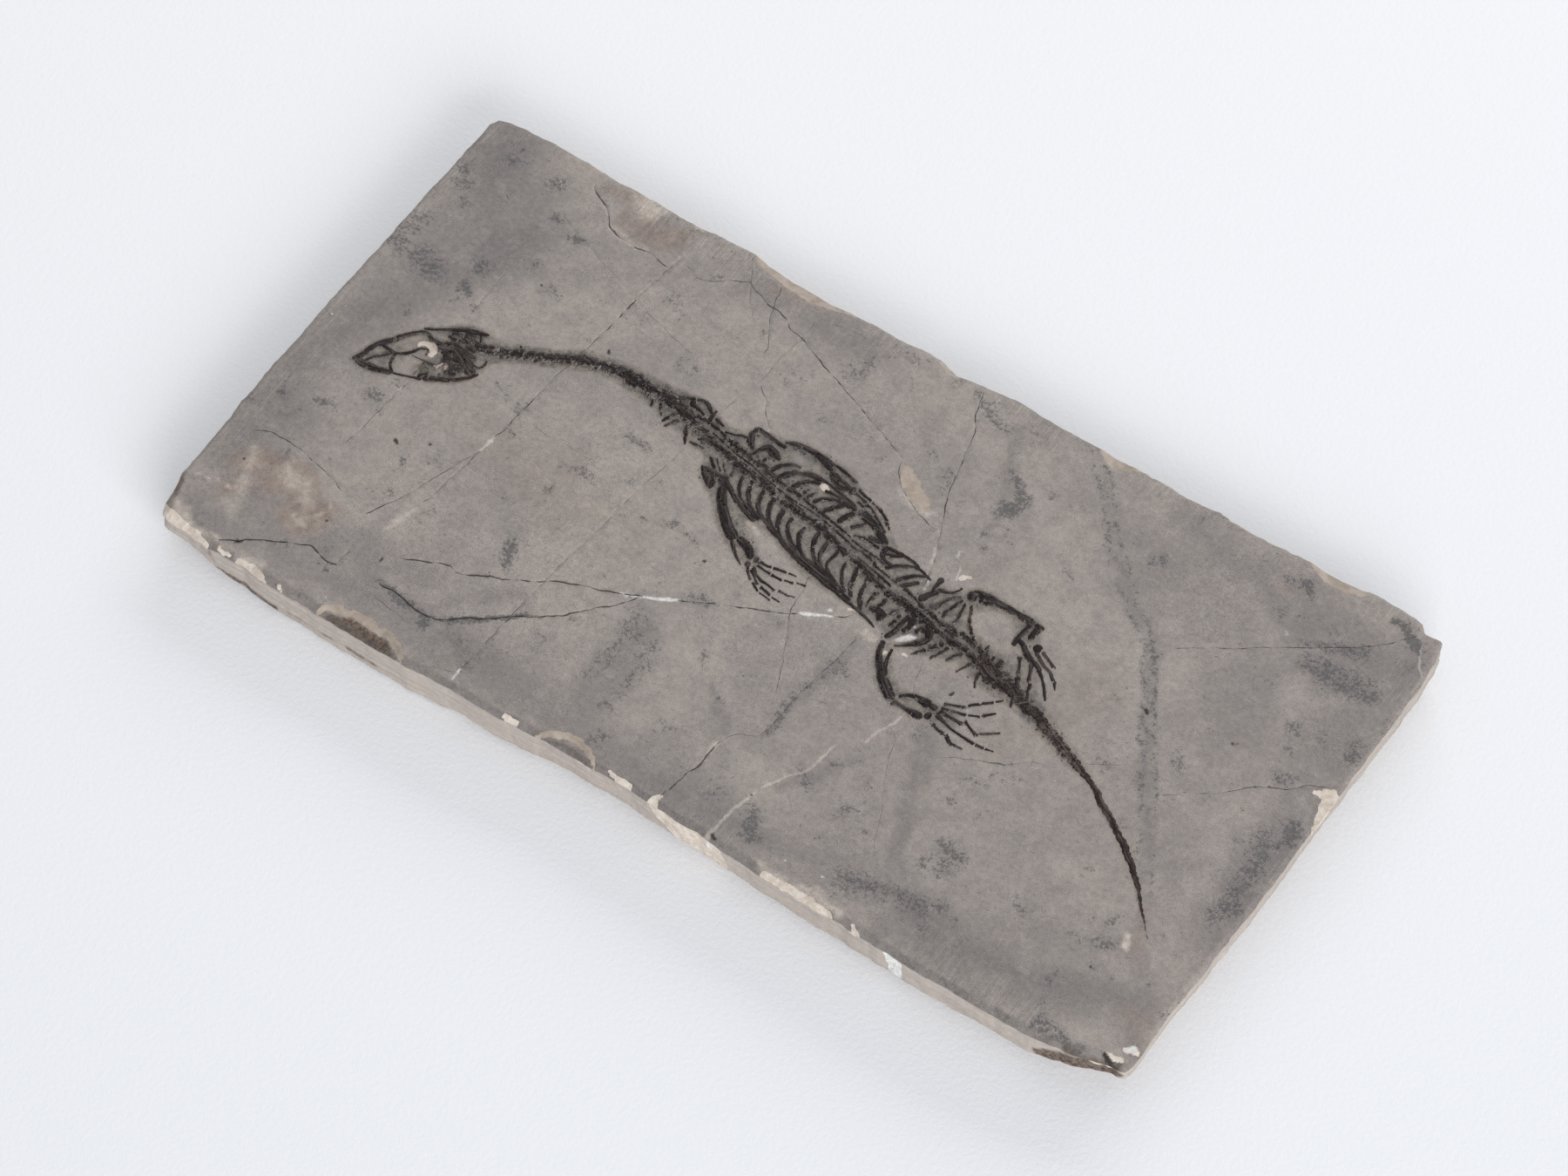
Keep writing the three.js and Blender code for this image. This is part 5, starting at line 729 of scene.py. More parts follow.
        ((64.4, 5.4, .35), (64.9, 4.4, .35), (65.2, 3.2, .3), (66, 1.8, .25), (66.8, .7, .2)),
    ),
    "right_foot_digit_3": ("digit",
        ((64.1, 9.8, .4), (65.4, 8.7, .3), (67, 7.2, .35), (68.5, 5.4, .35), (69.3, 4.3, .3),
         (70.1, 3.2, .12)),
    ),
    "right_foot_digit_4": ("digit",
        ((61.2, 13.5, .4), (63.1, 12.3, .4), (64.7, 11.4, .35), (67, 10.6, .35), (67.9, 9.7, .35),
         (68.7, 9.1, .3)),
        ((69.1, 8.9, .3), (69.7, 8, .25), (70.3, 7.1, .1)),
    ),
    "right_foot_digit_5": ("digit",
        (60.5, 14.9, .85),
        ((62, 14.7, .4), (64.1, 13.7, .35), (66.6, 12.4, .35)),
    ),
    "left_foot_digit_1": ("digit",
        ((50.6, -11, .35), (53.2, -9.9, .3), (55.1, -9.2, .35)),
        ((55.6, -8.3, .3), (56.5, -7.3, .35), (57.6, -6.4, .25)),
        ((58.1, -5.8, .3), (60.2, -4.1, .3)),
        ((60.6, -3.5, .2), (61.7, -2.4, .15)),
    ),
    "left_foot_digit_2": ("digit",
        ((50.9, -12.5, .4), (53.7, -11.5, .3), (56.7, -10.8, .35)),
        ((57.1, -10.4, .25), (59.6, -9.3, .25)),
        ((60.2, -8.6, .3), (61.3, -7.5, .3), (62.4, -6.3, .15)),
    ),
    "left_foot_digit_3": ("digit",
        ((50.9, -13.5, .45), (53.7, -13.4, .4), (57.1, -13.5, .4)),
        ((57.5, -12.4, .4), (59.6, -13.4, .3), (61.6, -14.2, .4)),
        ((62.2, -13.5, .2), (64.1, -12.2, .3), (66.1, -10.6, .12)),
    ),
    "left_foot_digit_4": ("digit",
        ((50.9, -14.6, .5), (52.9, -15.2, .4), (55.4, -16, .3), (58, -16.3, .3), (60.5, -16.5, .35),
         (62.6, -16.6, .3)),
        ((63, -16.6, .4), (65.2, -16.4, .3)),
        ((65.7, -16.3, .2), (67.8, -15.8, .12)),
    ),
    "left_foot_digit_5": ("digit",
        ((51.4, -17.3, .45), (52.9, -17.9, .3), (55, -18.3, .4)),
        ((56.1, -18.4, .5), (57.4, -19.4, .5), (58.4, -19.7, .3)),
        ((58.9, -19.5, .3), (61.2, -19.4, .12)),
    ),
}


class BoneKind(NamedTuple):
    """How the bones of one kind are shaped and what they are made of."""
    relief: float  # height over the split face
    ragged: float  # raggedness of the outline
    broken: float  # share that is broken through
    look: str = "limb_bone"  # its colours
    slot: str = "limb_bone"  # its material slot, which is not used
    widened: float = -.08  # added to the traced outline
    breaks_up: tuple = (.35, .75)  # half-widths over which a bone starts to break up
    pitch: float = 0  # spacing of its vertebrae
    gap: float = 1  # how deep the gaps between them are
    edge_film: float = .22  # stone left along its border
    mottled: float = 0  # more stone left on the middle of a wide bone
    cleaned: float = 0  # less stone left on a narrow one


COLUMN = {"look": "column_bone", "slot": "column_bone"}
SKULL = {"look": "skull_bone", "slot": "skull_bone"}
BONE_KINDS = {
    "skull": BoneKind(.42, .09, .16, **SKULL, breaks_up=(.6, 1.1), edge_film=.44, mottled=.14),
    "jaw": BoneKind(.34, .10, .30, **SKULL),
    "neck": BoneKind(.52, .12, .34, **COLUMN, pitch=2.1, edge_film=.52, mottled=.22),
    "back": BoneKind(.52, .15, .38, **COLUMN, pitch=2.5, edge_film=.54, mottled=.10),
    "tail": BoneKind(.46, .10, .30, "tail_bone", "column_bone", breaks_up=(.85, 1.3), pitch=2.0, gap=.5,
                     edge_film=.32, mottled=.14, cleaned=.30),
    "rib": BoneKind(.26, .10, .22, **COLUMN, widened=.05, edge_film=.40),
    "girdle": BoneKind(.36, .11, .25),
    "limb": BoneKind(.55, .09, .10, edge_film=.44),
    "forearm": BoneKind(.44, .09, .10, edge_film=.44),
    "wrist": BoneKind(.34, .09, .10, widened=0),
    "digit": BoneKind(.24, .08, .15, widened=.07),
}
BONE_STEP = 0.14  # spacing of a bone's mesh
BONE_ROOT = 0.45  # how far a bone reaches down into the stone

# ---------- noise and strokes ----------


def lattice(ix, iy, seed):
    """A repeatable random number from -1 to 1 for each whole-numbered place."""
    bits = 0xFFFFFFFF
    h = (ix * 374761393 + iy * 668265263 + seed * 974634777) & bits
    h = ((h ^ (h >> 13)) * 1274126177) & bits
    return ((h ^ (h >> 16)) & 0xFFFF) / 32767.5 - 1


def noise(x, y, size, seed, octaves=3):
    """Smooth fractal noise from about -1 to 1, with features of the given size. Each use has its seed."""
    total = np.zeros(np.shape(x))
    reach = 1.0
    for octave in range(octaves):
        u, v = x / size + 17.3 * octave, y / size - 9.1 * octave
        iu, iv = np.floor(u).astype(np.int64), np.floor(v).astype(np.int64)
        fu, fv = u - iu, v - iv
        fu, fv = fu * fu * (3 - 2 * fu), fv * fv * (3 - 2 * fv)
        low = lattice(iu, iv, seed) * (1 - fu) + lattice(iu + 1, iv, seed) * fu
        high = lattice(iu, iv + 1, seed) * (1 - fu) + lattice(iu + 1, iv + 1, seed) * fu
        total += reach * (low * (1 - fv) + high * fv)
        reach *= 0.5
        size *= 0.5
    return total


def smoothstep(value, low, high):
    """0 at low, 1 at high, and smooth between them."""
    t = np.clip((value - low) / (high - low), 0, 1)
    return t * t * (3 - 2 * t)


def rounded(stroke, parts=3):
    """The stroke with its corners rounded: a Catmull-Rom curve through its points."""
    points = np.atleast_2d(np.array(stroke, float))
    if len(points) < 3:
        return points
    ends = np.vstack([2 * points[0] - points[1], points, 2 * points[-1] - points[-2]])
    curve = []
    for i in range(1, len(ends) - 2):
        a, b, c, d = ends[i - 1:i + 3]
        for k in range(parts):
            t = k / parts
            curve.append(.5 * (2 * b + (c - a) * t + (2 * a - 5 * b + 4 * c - d) * t ** 2
                               + (3 * b - a - 3 * c + d) * t ** 3))
    curve.append(points[-1])
    return np.array(curve)


def segments(curve):
    """The pairs of neighbouring points. A single point makes a pair with itself."""
    return zip(curve[:-1], curve[1:]) if len(curve) > 1 else zip(curve, curve)


def depth_in_stroke(x, y, stroke, reach):
    """How deep each place lies in a stroke, negative outside and -reach or less far away."""
    depth = np.full(x.shape, -float(reach))
    for a, b in segments(rounded(stroke)):
        margin = max(a[2], b[2]) + reach
        near = ((x > min(a[0], b[0]) - margin) & (x < max(a[0], b[0]) + margin)
                & (y > min(a[1], b[1]) - margin) & (y < max(a[1], b[1]) + margin))
        px, py = x[near] - a[0], y[near] - a[1]
        ab = b - a
        t = np.clip((px * ab[0] + py * ab[1]) / max(ab[0] ** 2 + ab[1] ** 2, 1e-9), 0, 1)
        there = a[2] + t * ab[2] - np.hypot(px - t * ab[0], py - t * ab[1])
        depth[near] = np.maximum(depth[near], there)
    return depth


class StrokeGrid:
    """How deep each place of a fine grid lies in a bone's strokes, where along and across them, and how
    deep it lies in the next nearest stroke, its rival."""

    def __init__(self, strokes, step, margin):
        curves = [rounded(stroke) for stroke in strokes]
        points = np.vstack(curves)
        reach = points[:, 2].max() + margin
        low, high = points[:, :2].min(0) - reach, points[:, :2].max(0) + reach
        self.step, self.margin = step, margin
        self.x = np.arange(low[0], high[0], step)
        self.y = np.arange(low[1], high[1], step)
        shape = (len(self.y), len(self.x))
        self.depth = np.full(shape, -float(margin))
        self.width = np.full(shape, .5)
        self.along = np.zeros(shape)
        self.across = np.zeros(shape)
        self.stroke = np.full(shape, -1.0)
        self.rival = np.full(shape, -float(margin))
        self.lengths = [max(np.hypot(*np.diff(c[:, :2], axis=0).T).sum(), .1) for c in curves]
        for number, curve in enumerate(curves):
            self.add(curve, number)

    def add(self, curve, number):
        """Draw one stroke over what the grid holds, where it is the deepest so far."""
        run = 0.0
        for a, b in segments(curve):
            margin = max(a[2], b[2]) + self.margin
            i0, i1 = np.searchsorted(self.x, (min(a[0], b[0]) - margin, max(a[0], b[0]) + margin))
            j0, j1 = np.searchsorted(self.y, (min(a[1], b[1]) - margin, max(a[1], b[1]) + margin))
            px, py = np.meshgrid(self.x[i0:i1] - a[0], self.y[j0:j1] - a[1])
            ab = b - a
            length = math.hypot(ab[0], ab[1])
            t = np.clip((px * ab[0] + py * ab[1]) / max(length ** 2, 1e-9), 0, 1)
            width = a[2] + t * ab[2]
            depth = width - np.hypot(px - t * ab[0], py - t * ab[1])
            window = np.s_[j0:j1, i0:i1]
            better = depth > self.depth[window]
            side = (px * ab[1] - py * ab[0]) / max(length, 1e-9)
            loser = np.where(better, self.depth[window], depth)
            other = self.stroke[window] != number
            self.rival[window][other] = np.maximum(self.rival[window], loser)[other]
            for held, new in ((self.depth, depth), (self.width, width), (self.along, run + t * length),
                              (self.across, side), (self.stroke, np.full(t.shape, number))):
                held[window][better] = new[better]
            run += length

    def covers(self, x, y):
        """Whether each place lies on the grid."""
        return (x > self.x[0]) & (x < self.x[-1]) & (y > self.y[0]) & (y < self.y[-1])

    def sampled(self, values, x, y):
        """Values held on the grid at any places, blended between its own."""
        u = np.clip((x - self.x[0]) / self.step, 0, len(self.x) - 1.001)
        v = np.clip((y - self.y[0]) / self.step, 0, len(self.y) - 1.001)
        i, j = u.astype(int), v.astype(int)
        u, v = u - i, v - j
        low = values[j, i] * (1 - u) + values[j, i + 1] * u
        high = values[j + 1, i] * (1 - u) + values[j + 1, i + 1] * u
        return low * (1 - v) + high * v


# ---------- meshes ----------


def make_mesh(name, points, faces, material, attributes, sharp):
    """A mesh object from points in millimetres and triangles, with its edges sharp over an angle."""
    points = np.asarray(points, float) * MM
    faces = np.asarray(faces, np.int32)
    mesh = bpy.data.meshes.new(name)
    mesh.vertices.add(len(points))
    mesh.vertices.foreach_set("co", points.astype(np.float32).ravel())
    mesh.loops.add(faces.size)
    mesh.loops.foreach_set("vertex_index", faces.ravel())
    mesh.polygons.add(len(faces))
    mesh.polygons.foreach_set("loop_start", np.arange(0, faces.size, 3, dtype=np.int32))
    mesh.polygons.foreach_set("use_smooth", np.ones(len(faces), bool))
    mesh.update(calc_edges=True)
    for key, values in attributes.items():
        layer = mesh.attributes.new(key, "FLOAT", "POINT")
        layer.data.foreach_set("value", np.asarray(values, np.float32))
    mesh.set_sharp_from_angle(angle=math.radians(sharp))
    mesh.materials.append(material)
    return linked(bpy.data.objects.new(name, mesh))


def linked(thing):
    """The object, put into the scene."""
    bpy.context.scene.collection.objects.link(thing)
    return thing


def boundary_edges(faces):
    """The directed edges that only one triangle has."""
    edges = np.vstack([faces[:, [0, 1]], faces[:, [1, 2]], faces[:, [2, 0]]]).astype(np.int64)
    count = int(faces.max()) + 1
    keys = edges[:, 0] * count + edges[:, 1]
    back = edges[:, 1] * count + edges[:, 0]
    return edges[~np.isin(keys, back)]


def cut_out(field, grid_x, grid_y):
    """Triangles of the region where a gridded field is above zero.

    Returns the points' x and y, the triangles, and each point's number in the grid, which is past the
    grid's end where the point lies on the region's border.
    """
    rows, columns = field.shape
    total = rows * columns
    number = np.arange(total).reshape(rows, columns)
    a, b = number[:-1, :-1].ravel(), number[:-1, 1:].ravel()
    c, d = number[1:, 1:].ravel(), number[1:, :-1].ravel()
    odd = (np.add.outer(np.arange(rows - 1), np.arange(columns - 1)) % 2).ravel().astype(bool)
    first = np.where(odd[:, None], np.stack([a, b, c], 1), np.stack([a, b, d], 1))
    second = np.where(odd[:, None], np.stack([a, c, d], 1), np.stack([b, c, d], 1))
    triangles = np.vstack([first, second])
    value = field.ravel()
    inside = value > 0
    count = inside[triangles].sum(1)
    whole = triangles[count == 3]
    # each triangle on the border, turned so that its odd corner out comes first
    part = triangles[(count == 1) | (count == 2)]
    keep_one = inside[part].sum(1) == 1
    odd_one_out = np.where(keep_one[:, None], inside[part], ~inside[part]).argmax(1)
    turned = np.stack([part[np.arange(len(part)), (odd_one_out + k) % 3] for k in range(3)], 1)
    # the places where the border cuts the two edges of that corner
    edges = np.vstack([np.sort(turned[:, [0, 1]], 1), np.sort(turned[:, [0, 2]], 1)]).astype(np.int64)
    keys, where = np.unique(edges[:, 0] * total + edges[:, 1], return_inverse=True)
    cut = np.stack([keys // total, keys % total], 1)
    share = value[cut[:, 0]] / (value[cut[:, 0]] - value[cut[:, 1]])
    x, y = np.tile(grid_x, rows), np.repeat(grid_y, columns)
    x = np.concatenate([x, x[cut[:, 0]] * (1 - share) + x[cut[:, 1]] * share])
    y = np.concatenate([y, y[cut[:, 0]] * (1 - share) + y[cut[:, 1]] * share])
    first_cut, second_cut = total + where[:len(part)], total + where[len(part):]
    tip = turned[keep_one]
    tips = np.stack([tip[:, 0], first_cut[keep_one], second_cut[keep_one]], 1)
    rest = turned[~keep_one]
    p, q = first_cut[~keep_one], second_cut[~keep_one]
    faces = np.vstack([whole, tips, np.stack([p, rest[:, 1], rest[:, 2]], 1),
                       np.stack([p, rest[:, 2], q], 1)])
    used, faces = np.unique(faces, return_inverse=True)
    return x[used], y[used], faces.reshape(-1, 3), used


def closed_on(points, faces, floor):
    """The surface closed below by walls and an underside at the given heights."""
    count = len(points)
    under = points.copy()
    under[:, 2] = floor
    rim = boundary_edges(faces)
    a, b = rim[:, 0], rim[:, 1]
    walls = np.vstack([np.stack([b, a, a + count], 1), np.stack([b, a + count, b + count], 1)])
    return np.vstack([points, under]), np.vstack([faces, faces[:, ::-1] + count, walls])


# ---------- materials ----------

# Colours of the stone. Where there are two, a noise mixes the first with the second.
GREY, COOL_GREY = (.352, .309, .277), (.184, .163, .158)
DARK_BLOTCH, PALE_BLOTCH = (.235, .213, .203), (.385, .342, .314)
TAN = (.250, .196, .164), (.322, .256, .217)
BETWEEN_RIBS = (.100, .093, .083), (.235, .200, .162)
HALO = (.350, .288, .245)  # the tan edging of the bones
SMOKE = (.060, .053, .051)
STAIN, SPECKS = (.150, .146, .146), (.085, .083, .084)
BROWN = (.075, .055, .045), (.215, .155, .115)
CREAM = (.58, .495, .415), (.70, .625, .545)
RIM = (.36, .295, .240), (.46, .385, .320)
# painted shade for the rounded front bevel
FRONT_BEVEL_SHADE = (.112, .104, .098)
BEDDING = (.405, .355, .315), (.470, .415, .370)
THIN_BED, CRUMBS = (.27, .235, .21), (.38, .32, .28)
UNDERCUT = (.27, .225, .195), (.47, .415, .365)
SIDE_BROWN = (.06, .045, .038), (.20, .15, .12)
FILLER = (.62, .60, .56), (.80, .80, .79)
CALCITE = (.60, .57, .53), (.78, .76, .73)
FLECKS, DOTS = (.70, .68, .65), (.085, .080, .078)
# the crack colour is partly dark crack material and partly painted shade in the groove
PIT, CRACK_AND_SHADE = (.040, .035, .032), (.030, .026, .024)

# Colours of the bones: (dark, light, film of stone on them, how much the film covers).
BONE_COLOURS = {
    "skull_bone": ((.025, .0175, .016), (.095, .077, .070), (.20, .180, .165), .80),
    "column_bone": ((.020, .0135, .0125), (.078, .062, .056), (.255, .230, .212), .90),
    "limb_bone": ((.020, .014, .013), (.085, .069, .064), (.235, .212, .195), .80),
    "tail_bone": ((.024, .016, .0145), (.115, .085, .075), (.22, .192, .175), .75),
}
GLINT = (.36, .34, .32)
OLIVE = (.085, .076, .056), (.18, .16, .12)
PINK = (.38, .30, .265)
SKULL_CREAM = (.44, .39, .31), (.64, .59, .50)

# the paper near and far: the step between them is painted light
PAPER_WITH_PAINTED_FALLOFF = (.855, .862, .885), (.955, .957, .965)


def dimmed(colour, share):
    """The colour at this share of its brightness."""
    return tuple(value * share for value in colour)


class Finish:
    """A material's node tree, written as sums of noises, masks and mixes. Sizes are in millimetres."""

    def __init__(self, name):
        self.material = bpy.data.materials.new(name)
        self.material.use_nodes = True
        self.tree = self.material.node_tree
        self.tree.nodes.clear()
        self.shader = self.node("ShaderNodeBsdfPrincipled")
        self.link(self.shader.outputs[0], self.node("ShaderNodeOutputMaterial").inputs[0])
        self.place = self.node("ShaderNodeTexCoord").outputs["Object"]

    def node(self, kind, **settings):
        made = self.tree.nodes.new(kind)
        for key, value in settings.items():
            setattr(made, key, value)
        return made

    def link(self, source, target):
        self.tree.links.new(source, target)

    def put(self, target, value):
        """Link a socket to another, or set its constant value."""
        if isinstance(value, bpy.types.NodeSocket):
            self.link(value, target)
        elif isinstance(value, tuple):
            target.default_value = (*value, 1)[:len(target.default_value)]
        else:
            target.default_value = value

    def math(self, operation, a, b=0.0, clamp=False):
        made = self.node("ShaderNodeMath", operation=operation, use_clamp=clamp)
        self.put(made.inputs[0], a)
        self.put(made.inputs[1], b)
        return made.outputs[0]

    def plus(self, a, b, clamp=False):
        return self.math("ADD", a, b, clamp)

    def minus(self, a, b):
        return self.math("SUBTRACT", a, b)

    def times(self, a, b, clamp=False):
        return self.math("MULTIPLY", a, b, clamp)

    def mix(self, share, a, b, blend="MIX"):
        made = self.node("ShaderNodeMix", data_type="RGBA", blend_type=blend)
        self.put(made.inputs[0], share)
        self.put(made.inputs[6], a)
        self.put(made.inputs[7], b)
        return made.outputs[2]

    def step(self, value, low, high, bottom=0.0, top=1.0):
        """From bottom to top while the value goes from low to high."""
        made = self.node("ShaderNodeMapRange", interpolation_type="SMOOTHSTEP")
        self.put(made.inputs["Value"], value)
        for key, number in (("From Min", low), ("From Max", high), ("To Min", bottom), ("To Max", top)):
            self.put(made.inputs[key], number)
        return made.outputs["Result"]

    def stretched(self, turn, stretch=(1, 1, 1)):
        """The place, turned by degrees about the vertical and stretched."""
        made = self.node("ShaderNodeMapping")
        self.link(self.place, made.inputs["Vector"])
        made.inputs["Rotation"].default_value = (0, 0, math.radians(turn))
        made.inputs["Scale"].default_value = stretch
        return made.outputs[0]

    def noise(self, size, detail, roughness, vector=None, distortion=0.0):
        made = self.node("ShaderNodeTexNoise")
        self.link(vector or self.place, made.inputs["Vector"])
        made.inputs["Scale"].default_value = 1 / (size * MM)
        made.inputs["Detail"].default_value = detail
        made.inputs["Roughness"].default_value = roughness
        made.inputs["Distortion"].default_value = distortion
        return made.outputs[0]

    def spots(self, size, radius):
        """1 in round spots, about one to each square of the given size."""
        made = self.node("ShaderNodeTexVoronoi")
        self.link(self.place, made.inputs["Vector"])
        made.inputs["Scale"].default_value = 1 / (size * MM)
        return self.step(made.outputs["Distance"], radius / size, radius / size * .6)

    def hairs(self, size, width, share, turn):
        """1 on short hair-thin lines that wander over the surface."""
        path = self.stretched(turn, (1, 1.6, 1))
        middle = self.math("ABSOLUTE", self.minus(self.noise(size, 1.5, .5, path, 1.2), .5))
        return self.times(self.step(middle, width, width * .35),
                          self.step(self.noise(size * .55, 2, .5, path), share, share + .05))

    def attribute(self, name):
        """What the mesh says at each of its points."""
        return self.node("ShaderNodeAttribute", attribute_name=name).outputs["Fac"]

    def chipped(self, name):
        """1 where an attribute is over about a half, with a crisp ragged border."""
        ragged = self.step(self.noise(1.1, 4, .6), .3, .7, -.11, .11)
        return self.step(self.plus(self.attribute(name), ragged), .44, .54)

    def finish(self, colour, roughness, bump, height, specular):
        """The material with this colour and roughness, and a relief whose height is in millimetres."""
        self.put(self.shader.inputs["Base Color"], colour)
        self.put(self.shader.inputs["Roughness"], roughness)
        self.put(self.shader.inputs["Specular IOR Level"], specular)
        made = self.node("ShaderNodeBump")
        made.inputs["Strength"].default_value = bump
        made.inputs["Distance"].default_value = MM
        self.put(made.inputs["Height"], height)
        self.link(made.outputs[0], self.shader.inputs["Normal"])
        return self.material


def worked_tone(f, mottle, grain):
    """Light and dark of the stone: its grain, hair-thin scrapes of the preparing needle, and the pull of
    the saw along the arris."""
    tone = f.plus(f.step(mottle, .3, .7, .90, 1.08), f.step(grain, .25, .75, -.26, .26))
    tone = f.plus(tone, f.times(f.hairs(2.6, .010, .54, 0), .22))
    tone = f.minus(tone, f.times(f.hairs(3.4, .012, .52, 30), .26))
    sawn = f.noise(.5, 2, .6, f.stretched(-58, (1, .05, 1)))
    return f.plus(tone, f.times(f.step(sawn, .45, .75, -.10, .16), f.attribute("sawn")))


def beside_bones(f, colour):
    """The flank between the ribs, the tan edging of the bones, and the dark that hugs them."""
    bed = f.times(f.attribute("bed"), f.step(f.noise(1.3, 4, .68), .32, .60, .55, 1), clamp=True)
    ribbed = f.mix(f.step(f.noise(1.9, 4, .65), .40, .60), *BETWEEN_RIBS)
    colour = f.mix(f.times(bed, .85), colour, ribbed)
    halo = f.times(f.attribute("halo"), f.step(f.noise(2.2, 3, .6), .38, .64, .1, .7))
    colour = f.mix(halo, colour, HALO)
    smoke = f.times(f.attribute("smoke"), f.step(f.noise(.55, 5, .75), .42, .62))
    return f.mix(f.times(smoke, .62), colour, SMOKE)


def speckles(f, colour):
    """Clusters of dark specks. Returns the colour and where the specks are."""
    stain = f.attribute("stain")
    loose = f.times(f.step(f.noise(11, 3, .6), .56, .74), .62)
    stain = f.math("MAXIMUM", stain, loose)
    speck = f.noise(.95, 6, .84)
    speckled = f.step(f.plus(speck, f.times(stain, .20)), .61, .67)
    speckled = f.times(speckled, f.step(stain, .03, .25))
    colour = f.mix(f.times(stain, .20), colour, STAIN)
    return f.mix(f.times(speckled, .72), colour, SPECKS), speckled


def side_colour(f, rough, creamy):
    """The broken and sawn sides, bedded parallel to the split face."""
    layers = f.noise(1.1, 3, .6, f.stretched(0, (.03, .03, 1)))
    thin = f.noise(.35, 3, .5, f.stretched(0, (.02, .02, 1)))
    crumb = f.noise(1.2, 5, .7)
    colour = f.mix(f.step(layers, .36, .64), *BEDDING)
    colour = f.mix(f.step(thin, .60, .74, 0, .25), colour, THIN_BED)
    colour = f.mix(f.step(crumb, .55, .75, 0, .35), colour, CRUMBS)
    colour = f.mix(f.attribute("under"), colour, f.mix(f.step(crumb, .36, .56), *UNDERCUT))
    colour = f.mix(f.attribute("side_brown"), colour, f.mix(f.step(rough, .35, .62), *SIDE_BROWN))
    colour = f.mix(f.chipped("side_cream"), colour, creamy)
    return f.mix(f.chipped("side_white"), colour, f.mix(f.step(crumb, .4, .6), *FILLER))


def limestone():
    """The slab: grey stone with its markings, and bedded sides."""
    f = Finish("limestone")
    broad = f.noise(34, 2, .5)
    blotch = f.noise(6, 4, .6)
    mottle = f.noise(1.3, 4, .6)
    grain = f.noise(.24, 2, .6)
    cool = f.plus(f.attribute("cool"), f.step(broad, .42, .62, 0, .25), clamp=True)
    colour = f.mix(cool, GREY, COOL_GREY)
    colour = f.mix(f.attribute("tan"), colour, f.mix(f.step(f.noise(4, 4, .6), .36, .64), *TAN))
    colour = f.mix(f.step(blotch, .42, .66, 0, .35), colour, DARK_BLOTCH)
    colour = f.mix(f.step(blotch, .50, .30, 0, .3), colour, PALE_BLOTCH)
    tone = worked_tone(f, mottle, grain)
    colour = beside_bones(f, colour)
    colour, speckled = speckles(f, colour)
    # brown, cream and tan rock, and the painted shade of the front bevel
    rough = f.noise(.9, 5, .7)
    brown = f.attribute("brown")
    colour = f.mix(brown, colour, f.mix(f.step(rough, .35, .62), *BROWN))
    creamy = f.mix(f.step(f.noise(2.6, 4, .6), .36, .64), *CREAM)
    tanned = f.mix(f.step(f.noise(3.4, 4, .6), .36, .64), *RIM)
    # painted shade over the front bevel, broken up by the blotches
    colour = f.mix(f.times(f.attribute("arris"), f.step(blotch, .3, .6, .75, .35)), colour, FRONT_BEVEL_SHADE)
    colour = f.mix(f.attribute("pale"), colour, creamy)
    rim = f.chipped("rim")
    colour = f.mix(rim, colour, tanned)
    cream = f.chipped("cream")
    colour = f.mix(cream, colour, creamy)
    # the sides, and light and dark over everything so far
    side = f.attribute("side")
    colour = f.mix(side, colour, side_colour(f, rough, creamy))
    tone = f.mix(side, tone, f.step(mottle, .3, .7, .93, 1.06))
    tone = f.mix(f.times(f.math("MAXIMUM", cream, rim), .7), tone, (1.0, 1.0, 1.0))
    colour = f.mix(1.0, colour, tone, "MULTIPLY")
    colour = f.mix(f.attribute("white"), colour, f.mix(f.step(rough, .4, .6), *CALCITE))
    # loose flecks and dots over everything, the dark of pits, and in the cracks dark crack material with
    # painted shade
    flecks = f.times(f.spots(2.3, .13), f.step(f.noise(9, 2, .5), .46, .60))
    colour = f.mix(f.times(flecks, .85), colour, FLECKS)
    dots = f.times(f.spots(1.5, .15), f.step(f.noise(6, 3, .6), .46, .60))
    colour = f.mix(f.times(dots, .6), colour, DOTS)
    colour = f.mix(f.attribute("pit"), colour, PIT)
    # cracks: dark crack material, and painted shade in the groove
    colour = f.mix(f.attribute("crack"), colour, CRACK_AND_SHADE)
    height = f.plus(f.times(grain, .05), f.times(mottle, .04))
    worn = f.plus(f.times(side, .6), f.plus(brown, cream), clamp=True)
    height = f.plus(height, f.times(f.times(rough, worn), .35))
    height = f.minus(height, f.times(speckled, .05))
    return f.finish(colour, f.step(blotch, .3, .7, .62, .80), .5, height, .3)


